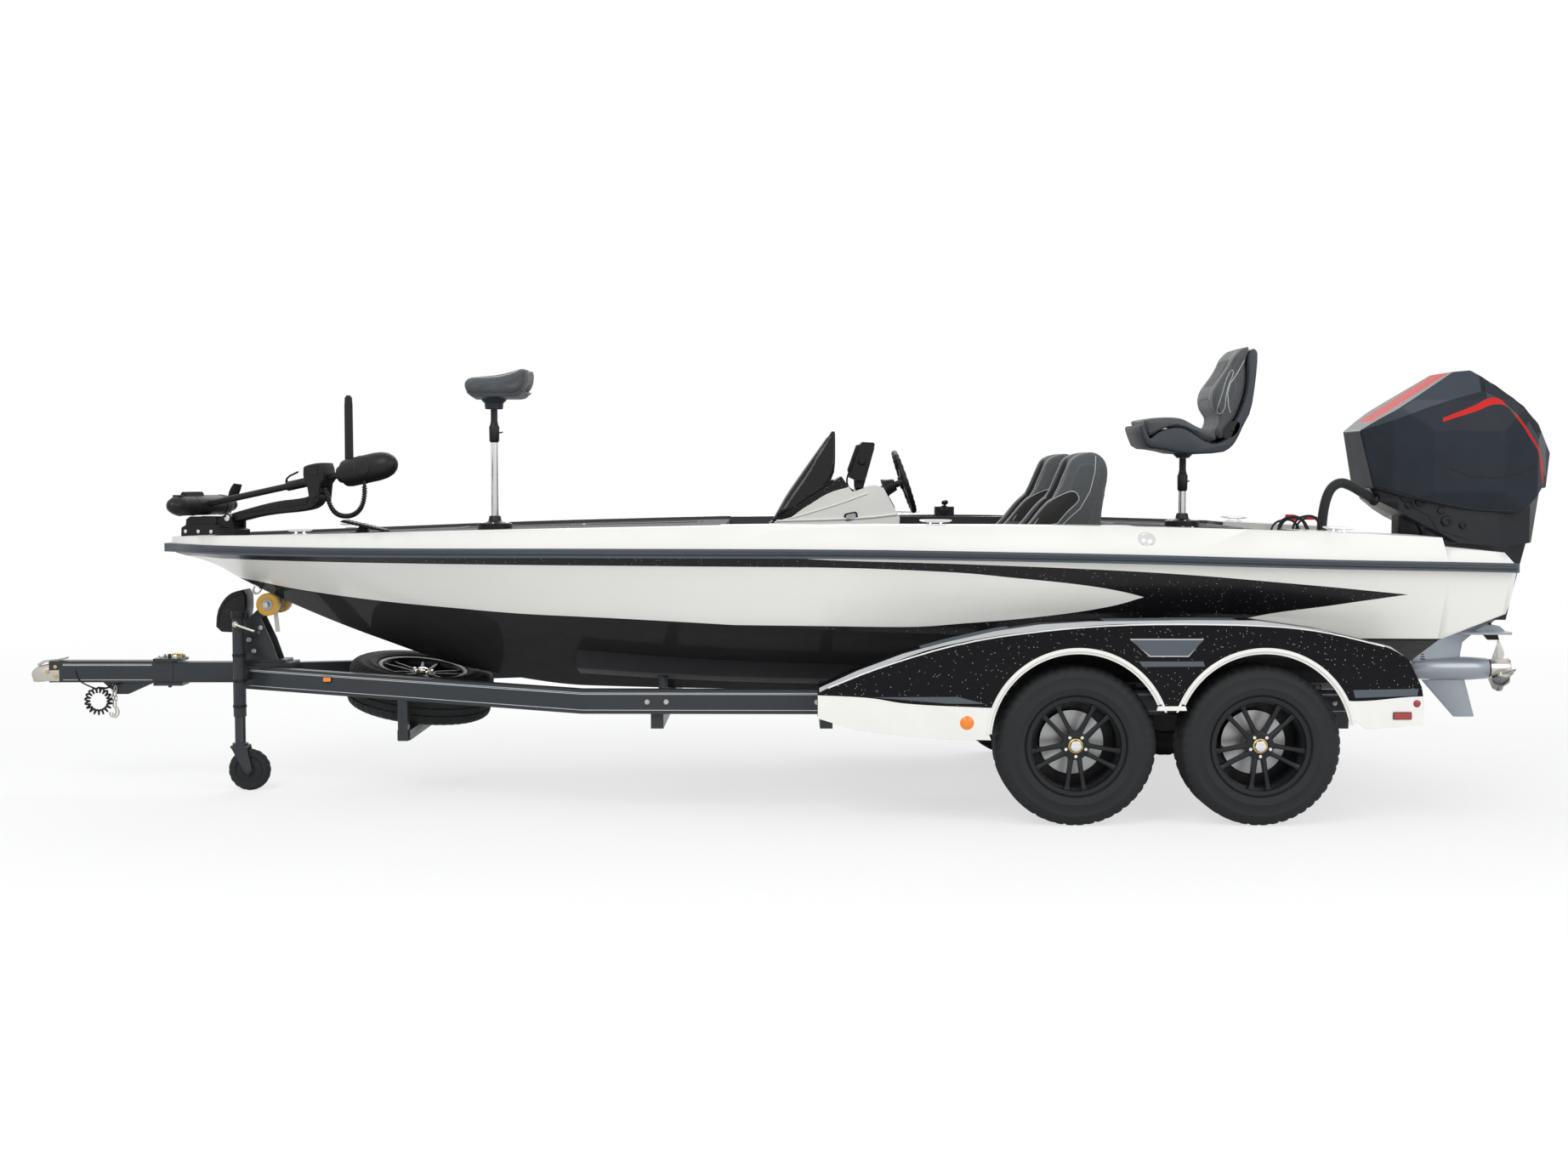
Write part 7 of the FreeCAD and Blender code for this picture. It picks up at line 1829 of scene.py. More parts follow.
        self.set_down(lead, "coiled_lead", BLACK_PLASTIC, "trolling_shaft", bevel=0.0, soft=60)

    def coil(self, shell: Shell, route: Sequence[Point]) -> None:
        """Wind the head's coiled lead along a route, ending in a plain lead at both ends."""
        path = [Vector(p) for p in route]
        for _ in range(4):
            path = [path[0]] + [q for a, b in zip(path, path[1:]) for q in (a.lerp(b, 0.25), a.lerp(b,
                0.75))] + [path[-1]]
        reach = [0.0]
        for a, b in zip(path, path[1:]):
            reach.append(reach[-1] + (b - a).length)
        spiral = []
        count = 620
        index = 0
        across = Vector((0, 1, 0))
        for step in range(count + 1):
            want = reach[-1] * step / count
            while index < len(reach) - 2 and reach[index + 1] < want:
                index += 1
            here = path[index].lerp(path[index + 1], (want - reach[index]) / max(reach[index + 1] -
                reach[index], 1e-6))
            ahead = (path[index + 1] - path[index]).normalized()
            across = (across - ahead * across.dot(ahead)).normalized()
            other = ahead.cross(across)
            share = step / count
            size = 0.0095 * min(1.0, share * 14, (1 - share) * 14)
            turn = 2 * math.pi * share * 38
            spiral.append(here + (across * math.cos(turn) + other * math.sin(turn)) * size)
        shell.tube(spiral, 0.004, sides=6)

    def pod(self) -> None:
        """Build the motor pod: a long body with bands, a domed nose with a sensor ring and a skeg."""
        pod = Shell()
        r, half = self.pod_radius, self.pod_half
        pod.lathe([(0.002, -half - 0.064), (0.018, -half - 0.058), (0.034, -half - 0.04), (0.046, -half -
            0.012), (r - 0.0005, -half + 0.012), (r - 0.0005, half - 0.03), (r - 0.004, half - 0.01), (r -
            0.008, half)], (0, 0, self.pod_z), (0, 1, 0), 48)
        for y in (-half + 0.02, -half + 0.12, half - 0.06):
            pod.lathe([(r - 0.001, -0.006), (r + 0.0015, -0.004), (r + 0.0015, 0.004), (r - 0.001, 0.006)],
                (0, y, self.pod_z), (0, 1, 0), 48, mark=1)
        for number in range(4):
            turn = math.radians(45 + 90 * number)
            pod.lathe([(0.005, 0), (0.0045, 0.003), (0.001, 0.0035)], (math.cos(turn) * 0.04, half - 0.001,
                self.pod_z + math.sin(turn) * 0.04), (0, 1, 0), 12, mark=1)
        top = self.pod_z + r
        pod.prism([(-0.02, top - 0.01), (0.02, top - 0.01), (0.016, top + 0.01), (0.01, top + 0.014),
            (-0.01, top + 0.014), (-0.016, top + 0.01)], -0.15, -0.01)
        for fin in range(6):
            y = -0.138 + fin * 0.022
            pod.block((-0.0185, y, top + 0.006), (0.0185, y + 0.006, top + 0.0175), mark=1)
        pod.block((-0.026, -0.2, top - 0.012), (0.026, -0.176, top + 0.002), mark=1)
        self.set_down(pod, "pod_body", (BLACK_METAL, BLACK_PLASTIC), "trolling_shaft", ["trolling_pod"])

    def propeller(self) -> None:
        """Build the small two-bladed weedless propeller with its nut."""
        prop = Shell()
        y0 = self.pod_half + 0.0035
        prop.lathe([(0.03, 0.0), (0.0335, 0.004), (0.0335, 0.03), (0.026, 0.046), (0.014, 0.052), (0.012,
            0.057), (0.001, 0.058)], (0, y0, self.pod_z), (0, 1, 0), 32)
        prop.lathe([(0.0075, -0.04), (0.0075, 0.002)], (0, y0, self.pod_z), (0, 1, 0), 20)
        blade = Shell()
        rows = []
        for share in (0.0, 0.2, 0.45, 0.7, 0.9, 1.0):
            radius = 0.024 + 0.088 * share
            chord = 0.06 * (0.75 + 0.7 * share - 0.75 * share * share)
            pitch = math.radians(58 - 26 * share)
            ring = []
            for k in range(14):
                t = 2 * math.pi * k / 14
                c = -0.5 * math.cos(t) * chord
                thick = 0.0028 * (1 - 0.5 * share) * math.sin(t)
                ring.append((c * math.cos(pitch) + thick * math.sin(pitch) + 0.016 * share * share, c *
                    math.sin(pitch) - thick * math.cos(pitch) + 0.01 * share, radius))
            rows.append(ring)
        blade.loft(rows)
        for turn in (10, 190):
            prop.joined(blade, at(0, y0 + 0.029, self.pod_z) @ spin(turn, "Y"))
        self.set_down(prop, "weedless_propeller", BLACK_PLASTIC, "trolling_propeller",
            ["trolling_propeller"], 0.0, 45)


@dataclass
class Trailer:
    """The trailer's frame, tongue, coupler, bunks, winch stand and lamps."""

    rail_y: float = 0.915
    rail_top: float = 0.59
    bend_x: float = -0.95
    back_x: float = 2.8
    front_x: float = -2.76
    tongue_top: float = 0.645
    tongue_height: float = 0.11
    tongue_half: float = 0.042
    hitch_x: float = -3.19
    roller: tuple[float, float] = (-2.634, 0.944)

    def build(self) -> None:
        """Build the trailer from its rails to its lamps."""
        node_copy("trailer_frame", TRAILER, bevel=0.005, soft=25)
        node_copy("trailer_tongue", TRAILER, bevel=0.005, soft=25)
        self.bunks()
        self.stripes()
        self.bolts()
        self.coupler()
        self.winch_stand()
        self.winch_cover()
        self.rollers()
        self.hanging_lead()
        node_copy("axles", BLACK_METAL, bevel=0.004)
        self.lamps()

    def rail(self, x: float) -> tuple[float, float]:
        """Return the middle of a rail and the height of its top at a place."""
        straight_y = self.rail_y - 0.03
        if x >= self.bend_x:
            share = min((x - self.bend_x) / (self.back_x - self.bend_x), 1.0)
            return straight_y, self.rail_top + 0.006 * (1 - share)
        share = (x - self.bend_x) / (self.front_x - self.bend_x)
        return straight_y + share * (0.072 - straight_y), self.rail_top + 0.006 + share * 0.028

    def bunks(self) -> None:
        """Cover the bunks in carpet, with rounded edges."""
        node_copy("bunks", BUNK_CARPET, bevel=0.008, soft=40)

    def stripes(self) -> None:
        """Lay the pair of fine pinstripes along both rails' outer faces and along the tongue."""
        stripes = Shell()
        for lift, mark in ((0.016, 0), (0.022, 0), (0.097, 0)):
            for low_x, high_x in ((self.front_x + 0.02, self.bend_x), (self.bend_x, self.back_x - 0.02)):
                ends = []
                for x in (low_x, high_x):
                    middle, top = self.rail(x)
                    share = max(0.0, (self.bend_x - x) / (self.bend_x - self.front_x))
                    out = middle + 0.03 + 0.003 * share + 0.0006
                    z = top - lift
                    ends.append([(x, out - 0.001, z - 0.0015), (x, out, z - 0.0015), (x, out, z + 0.0015),
                        (x, out - 0.001, z + 0.0015)])
                stripes.loft(ends, mark=mark)
            stripes.block((-3.72, self.tongue_half, self.tongue_top - lift - 0.0015), (self.hitch_x - 0.07,
                self.tongue_half + 0.0006, self.tongue_top - lift + 0.0015))
        stripes.mirrored().piece("rail_pinstripes", STRIPE)

    def bolts(self) -> None:
        """Build the cross members' U-bolts, the hitch pin and the hitch plate's bolts."""
        bolts = Shell()
        for x in (-0.6, 0.2, 0.88, 1.72, 2.64):
            for out in (-1, 1):
                for shift in (-0.045, 0.045):
                    y = out * (self.rail_y + 0.0005)
                    bolts.lathe([(0.013, -0.002), (0.013, 0.003), (0.01, 0.0035), (0.0095, 0.011), (0.001,
                        0.0115)], (x + shift, y, self.rail(x)[1] - 0.058), (0, out, 0), 6, mark=1)
        for x in (self.hitch_x - 0.03, self.hitch_x + 0.06):
            for y in (-0.046, 0.046):
                bolts.lathe([(0.012, 0), (0.012, 0.008), (0.006, 0.009), (0.006, 0.015), (0.001, 0.016)],
                    (x, y, self.tongue_top + 0.0135), (0, 0, 1), 6, mark=1)
        top = self.tongue_top + 0.013
        bolts.lathe([(0.016, 0.0), (0.016, 0.006), (0.01, 0.008), (0.01, 0.02), (0.001, 0.022)],
            (self.hitch_x + 0.055, 0, top), (0, 0, 1), 20)
        bolts.tube([(self.hitch_x + 0.025, -0.02, top + 0.008), (self.hitch_x + 0.03, -0.022, top +
            0.022), (self.hitch_x + 0.06, -0.022, top + 0.026), (self.hitch_x + 0.092, -0.02, top +
            0.02), (self.hitch_x + 0.095, -0.018, top + 0.006)], 0.0045, sides=10, smooth=2)
        bolts.piece("hitch_hardware", (BRASS, ZINC), bevel=0.0006)

    def coupler(self) -> None:
        """Build the stamped coupler with its ball cup, its lever and its side bolts."""
        sections = ((-3.888, 0.024, 0.566, 0.59), (-3.88, 0.034, 0.556, 0.602), (-3.86, 0.04, 0.548,
            0.616), (-3.82, 0.042, 0.542, 0.626), (-3.785, 0.043, 0.541, 0.634), (-3.74, 0.043, 0.54,
            0.638))
        shell = Shell()
        rings = []
        for x, half, low, high in sections:
            rings.append([(x, py * half, low + (high - low) * pz) for py, pz in ((-1.0, 0.0), (-1.0, 0.55),
                (-0.86, 0.84), (-0.5, 0.97), (0.0, 1.0), (0.5, 0.97), (0.86, 0.84), (1.0, 0.55), (1.0, 0.0),
                (0.4, 0.0), (-0.4, 0.0))])
        shell.loft(rings)
        shell.lathe([(0.03, -0.016), (0.034, -0.012), (0.034, 0.004)], (-3.855, 0, 0.552), (0, 0, 1), 32)
        lever = [(-3.858, 0.617), (-3.826, 0.635), (-3.77, 0.641), (-3.72, 0.652), (-3.708, 0.658),
            (-3.706, 0.665), (-3.722, 0.661), (-3.772, 0.651), (-3.83, 0.646), (-3.862, 0.628)]
        shell.prism(lever, -0.016, 0.016)
        for out in (-1, 1):
            for x, z in ((-3.8, 0.59), (-3.758, 0.566), (-3.758, 0.616)):
                shell.lathe([(0.011, -0.001), (0.011, 0.006), (0.006, 0.007), (0.001, 0.0075)], (x, out *
                    0.0425, z), (0, out, 0), 6, mark=1)
        shell.piece("coupler_casting", (ZINC, BRASS), bevel=0.0012, soft=50, replaces=["coupler"])

    def winch_stand(self) -> None:
        """Dress the winch stand and add its bolts and the polished strut behind it."""
        node_copy("winch_post", TRAILER, bevel=0.003)
        extra = Shell()
        for out in (-1, 1):
            for x, z in ((-2.75, 0.758), (-2.726, 0.7), (-2.69, 0.82)):
                extra.lathe([(0.013, -0.001), (0.013, 0.005), (0.009, 0.006), (0.009, 0.012), (0.001,
                    0.013)], (x, out * 0.0645, z), (0, out, 0), 6)
        strut = [(-2.612, -0.0705, 0.8), (-2.59, -0.0705, 0.8), (-2.6, -0.0705, 0.9), (-2.622,
            -0.0705, 0.9)]
        extra.loft([[(x, y, z) for x, y, z in strut], [(x, y + 0.005, z) for x, y, z in strut]])
        extra.lathe([(0.014, 0.0), (0.014, 0.004), (0.001, 0.005)], (self.roller[0], -0.1705,
            self.roller[1]), (0, -1, 0), 16)
        extra.lathe([(0.014, 0.0), (0.014, 0.004), (0.001, 0.005)], (self.roller[0], 0.1705,
            self.roller[1]), (0, 1, 0), 16)
        extra.piece("stand_hardware", ZINC, bevel=0.0008)

    def winch_cover(self) -> None:
        """Build the winch under its quarter-round cover, with its crank bosses and a bead down each side.
        """
        cover = [(-2.92, 0.8), (-2.914, 0.9), (-2.886, 0.955), (-2.862, 0.983), (-2.828, 1.005),
            (-2.76, 1.02), (-2.759, 0.886), (-2.788, 0.845), (-2.8, 0.794)]
        shell = Shell()
        rings = []
        for y, inset in ((-0.078, 0.008), (-0.072, 0.002), (-0.06, 0.0), (0.06, 0.0), (0.072, 0.002),
                (0.078, 0.008)):
            rings.append([(px, y, pz) for px, pz in shrunk(smooth_outline(cover, 1), inset)])
        shell.loft(rings)
        for out in (-1, 1):
            shell.lathe([(0.03, 0.0), (0.03, 0.004), (0.02, 0.006), (0.012, 0.007), (0.012, 0.014),
                (0.001, 0.015)], (-2.85, out * 0.0775, 0.89), (0, out, 0), 28, mark=1)
            shell.tube([(-2.905, out * 0.079, 0.835), (-2.898, out * 0.079, 0.905), (-2.868, out * 0.079,
                0.955), (-2.82, out * 0.079, 0.985), (-2.775, out * 0.079, 0.995)], 0.0035, sides=8,
                smooth=2)
        shell.piece("winch_housing", (BLACK_PLASTIC, BLACK_METAL), bevel=0.001, soft=45, replaces=["winch"])

    def hanging_lead(self) -> None:
        """Hang the coiled lamp lead and two safety hooks under the tongue."""
        lead = Shell()
        low = self.tongue_top - self.tongue_height
        loop = [(-3.4, -0.03, low + 0.004), (-3.44, -0.036, low - 0.012), (-3.5, -0.04, low - 0.03)]
        loop += [(-3.54 + math.sin(t) * (0.058 + 0.012 * math.cos(18 * t)), -0.04 + 0.012 * math.sin(18 *
            t), 0.438 + math.cos(t) * (0.058 + 0.012 * math.cos(18 * t))) for t in (2 * math.pi * step / 252
            for step in range(505))]
        lead.tube(loop, 0.0052, sides=6)
        lead.tube([(-3.655, -0.044, low + 0.06), (-3.64, -0.046, low + 0.01), (-3.59, -0.044, low -
            0.018), (-3.545, -0.04, 0.5)], 0.004, sides=8, smooth=2)
        lead.piece("lamp_lead", BLACK_PLASTIC, soft=60)
        hooks = Shell()
        for shift, y in ((0.0, -0.03), (0.022, -0.052)):
            x = -3.468 + shift
            for link in range(4):
                z = 0.505 - link * 0.026
                turn = (0.0, 0.006) if link % 2 else (0.006, 0.0)
                ring = [(x + turn[0] * math.cos(t), y + turn[1] * math.cos(t), z + 0.0165 * math.sin(t)) for
                    t in (2 * math.pi * k / 12 for k in range(13))]
                hooks.tube(ring, 0.0027, sides=6)
            hooks.tube([(x, y, 0.412), (x + 0.014, y, 0.396), (x + 0.014, y, 0.372), (x - 0.002, y, 0.352),
                (x - 0.018, y, 0.362), (x - 0.018, y, 0.38)], 0.0042, sides=8, smooth=2)
        hooks.piece("safety_hooks", ZINC, soft=60)

    def rollers(self) -> None:
        """Build the ribbed bow rollers on their grey hubs."""
        for side in SIDES:
            low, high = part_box(f"{side}_bow_roller")
            middle = (low.y + high.y) / 2
            radius = (high.x - low.x) / 2
            half = (high.y - low.y) / 2
            roller = Shell()
            profile = [(0.0112, -half), (0.03, -half), (0.031, -half + 0.003), (radius - 0.008, -half +
                0.003)]
            for rib in range(7):
                y = -half + 0.007 + rib * (2 * half - 0.014) / 6
                profile += [(radius - 0.0045, y - 0.0022), (radius - 0.0002, y - 0.0008), (radius - 0.0002,
                    y + 0.0008), (radius - 0.0045, y + 0.0022)]
            profile += [(radius - 0.008, half - 0.003), (0.031, half - 0.003), (0.03, half), (0.0112,
                half)]
            roller.lathe(profile, (self.roller[0], middle, self.roller[1]), (0, 1, 0), 56)
            for face in (-1, 1):
                roller.lathe([(0.0115, half - 0.001), (0.028, half - 0.0005), (0.028, half + 0.0012),
                    (0.0115, half + 0.0014)], (self.roller[0], middle, self.roller[1]), (0, face, 0), 32,
                    mark=1)
            roller.piece(f"{side}_ribbed_roller", (AMBER, GREY_TRIM), f"{side}_roller", soft=40,
                replaces=[f"{side}_bow_roller"])

    def lamps(self) -> None:
        """Build the lens and bezel of each marker and tail lamp."""
        amber = Shell()
        for out in (-1, 1):
            seat = at(-2.29, out * 0.3345, 0.581) @ spin(-90 * out, "X")
            amber.joined(Shell().prism(rounded(0.022, 0.0125, 0.006), -0.034, -0.006, "XY", mark=1), seat)
            amber.joined(Shell().prism(rounded(0.019, 0.0105, 0.005), -0.006, 0.0, "XY"), seat)
            seat = at(0.829, out * 1.2724, 0.484) @ spin(-90 * out, "X")
            lens = [(0.032, -0.01), (0.032, -0.002), (0.028, 0.0), (0.024, -0.001), (0.021, 0.0015),
                (0.011, 0.003), (0.001, 0.0035)]
            amber.joined(Shell().lathe(lens, (0, 0, 0), (0, 0, 1), 36), seat)
        amber.piece("amber_markers", (AMBER_LENS, BLACK_PLASTIC), bevel=0.0008, replaces=["marker_lamps"])
        red = Shell()
        for out in (-1, 1):
            seat = at(2.8, out * 1.2745, 0.517) @ spin(-90 * out, "X")
            red.joined(Shell().prism(rounded(0.042, 0.017, 0.004), -0.006, -0.0005, "XY", mark=1), seat)
            red.joined(Shell().prism(rounded(0.039, 0.0145, 0.003), -0.0005, 0.001, "XY"), seat)
            seat = at(2.866, out * 1.2715, 0.572) @ spin(-90 * out, "X")
            red.joined(Shell().lathe([(0.017, -0.012), (0.017, -0.0015), (0.013, 0.001)], (0, 0, 0), (0, 0,
                1), 24, mark=1), seat)
            red.joined(Shell().lathe([(0.0145, -0.004), (0.014, 0.001), (0.009, 0.003), (0.001, 0.0035)],
                (0, 0, 0), (0, 0, 1), 24), seat)
            box = rounded(0.029, 0.054, 0.008)
            plate = at(2.9, out * 1.135, 0.53) @ spin(90, "Y")
            red.joined(Shell().prism(box, -0.006, 0.002, "XY", mark=1), plate)
            red.joined(Shell().prism(rounded(0.026, 0.05, 0.006), 0.002, 0.0045, "XY"), plate)
            for lane in range(9):
                y = -0.04 + lane * 0.01
                red.joined(Shell().block((-0.024, y - 0.0035, 0.0045), (0.024, y + 0.0035, 0.0055)), plate)
        red.piece("red_lamps", (RED_LENS, BLACK_PLASTIC), bevel=0.0008, replaces=["tail_lamps"])


@dataclass
class Fenders:
    """The flaked fenders with their pale lips, trim bars, step pads and bare badges."""

    face: float = 1.27
    inner: float = 1.112
    arch: float = 0.412
    arch_z: float = 0.404
    axles: tuple[float, float] = (1.334, 2.178)
    strip: tuple[tuple[float, float], ...] = ((0.15, 0.618), (0.2, 0.643), (0.444, 0.742), (0.816,
        0.854), (1.225, 0.91), (1.597, 0.934), (2.155, 0.929), (2.434, 0.902), (2.714, 0.832), (2.846,
        0.757))
    front: tuple[tuple[float, float], ...] = ((0.15, 0.61), (0.357, 0.6), (0.576, 0.57), (0.94,
        0.552))
    rear: tuple[tuple[float, float], ...] = ((2.447, 0.699), (2.525, 0.604), (2.578, 0.583), (2.861, 0.604),
        (2.9, 0.605))

    def build(self) -> None:
        """Paint the fenders and set their trim on them."""
        node_copy("fenders", self.paint(), bevel=0.007, soft=24)
        self.lips()
        self.bars()
        self.badges()
        self.pads()

    def paint(self) -> Finish:
        """Paint the skirts with flake, a grey strip under the crown, and off-white lips, nose and tail."""
        shader = Shader("fender_colours")
        x, y, z = shader.axes()
        strip = shader.both(shader.flip(shader.under(z, shader.curve(x, self.strip))),
            shader.maths("GREATER_THAN", y, self.face - 0.01), shader.span(x, 0.16, 2.8))
        nose = shader.both(shader.under(z, shader.curve(x, self.front)), shader.under(x, 0.94))
        tail = shader.both(shader.under(z, shader.curve(x, self.rear)), shader.maths("GREATER_THAN", x,
            2.447))
        rings = []
        for centre in self.axles:
            far = self.reach(shader, x, z, centre)
            rings.append(shader.under(far, self.arch + 0.009))
        lip = shader.maths("MAXIMUM", rings[0], rings[1])
        outside = shader.maths("GREATER_THAN", y, self.face - 0.0095)
        shader.dress(FENDER, (GREY_TRIM, strip), (LIP, shader.both(nose, outside)), (LIP, shader.both(tail,
            outside)), (LIP, shader.both(lip, outside)), (BLACK_METAL, shader.flip(outside_or_top(shader, y,
            z))))
        return Finish("fender_colours", "fender_paint", FENDER.colour)

    def reach(self, shader: Shader, x: object, z: object, centre: float) -> bpy.types.NodeSocket:
        """Return the distance from an arch's centre."""
        dx, dz = shader.maths("SUBTRACT", x, centre), shader.maths("SUBTRACT", z, self.arch_z)
        return shader.maths("SQRT", shader.maths("ADD", shader.maths("MULTIPLY", dx, dx),
            shader.maths("MULTIPLY", dz, dz)))

    def lips(self) -> None:
        """Roll an off-white bead round both arches, and a fine bead under the crown's strip."""
        lips = Shell()
        y = self.face - 0.003
        for centre, start, end in ((self.axles[0], 176, 24), (self.axles[1], 156, 10)):
            path = [(px, y, pz) for px, pz in arc((centre, self.arch_z), self.arch - 0.002, start, end, 40)]
            lips.tube(path, 0.009, sides=12)
            edges = [arc((centre, self.arch_z), self.arch + drop, start, end, 40) for drop in (0.004,
                -0.019)]
            lips.loft([[(far[0], y - 0.009, far[1]), (far[0], y, far[1]), (near[0], y, near[1]), (near[0], y
                - 0.009, near[1])] for far, near in zip(*edges)])
        lips.prism(((1.694, 0.56), (1.818, 0.56), (1.824, 0.54), (1.688, 0.54)), y - 0.006, y + 0.005)
        bead = [(px, self.face - 0.0005, pz) for px, pz in self.strip[1:-1]]
        lips.tube(bead, 0.0035, sides=8, smooth=2)
        lips.mirrored().piece("fender_lips", LIP)

    def bars(self) -> None:
        """Build the grey trim bars low on the nose and the tail of each skirt."""
        bars = Shell()
        for outline in (((2.575, 0.634), (2.872, 0.64), (2.866, 0.608), (2.585, 0.598)), ((0.394, 0.601),
                (0.786, 0.603), (0.912, 0.571), (0.741, 0.572))):
            bars.prism(outline, self.face - 0.002, self.face + 0.004)
        bars.mirrored().piece("fender_bars", PAD, bevel=0.002)

    def badges(self) -> None:
        """Build the bare trapezoid plate between the arches, with its pale rim and the bar under it."""
        plate = ((1.563, 0.861), (1.896, 0.861), (1.828, 0.79), (1.655, 0.79))
        badge = Shell()
        badge.prism(plate, self.face - 0.002, self.face + 0.0035, mark=1)
        badge.prism(shrunk(plate, -0.006), self.face - 0.002, self.face + 0.0022)
        badge.prism(((1.604, 0.764), (1.896, 0.764), (1.904, 0.741), (1.622, 0.739)), self.face - 0.002,
            self.face + 0.003, mark=1)
        badge.mirrored().piece("fender_plates", (GREY_TRIM, PAD), bevel=0.0012)

    def pads(self) -> None:
        """Lay the ribbed step pads on the fenders' tops."""
        top = Surface("fenders_skin")
        pads = Shell()
        for low_x, high_x in ((0.62, 1.02), (1.45, 2.05)):
            for lane in range(9):
                y = self.inner + 0.022 + lane * (self.face - self.inner - 0.046) / 8
                path = [top.point((low_x + (high_x - low_x) * k / 8, y, 1.5), (0, 0, -1)) for k in range(9)]
                ring = [[p + Vector((0, -0.005, -0.0005)), p + Vector((0, -0.0036, 0.0022)), p + Vector((0,
                    0.0036, 0.0022)), p + Vector((0, 0.005, -0.0005))] for p in path]
                pads.loft(ring)
        pads.mirrored().piece("step_pads", PAD)


def outside_or_top(shader: Shader, y: object, z: object) -> bpy.types.NodeSocket:
    """Return a mask of what isn't the hidden inner side of a fender."""
    return shader.maths("MAXIMUM", shader.maths("GREATER_THAN", y, 1.2605), shader.maths("GREATER_THAN", z,
        0.56))


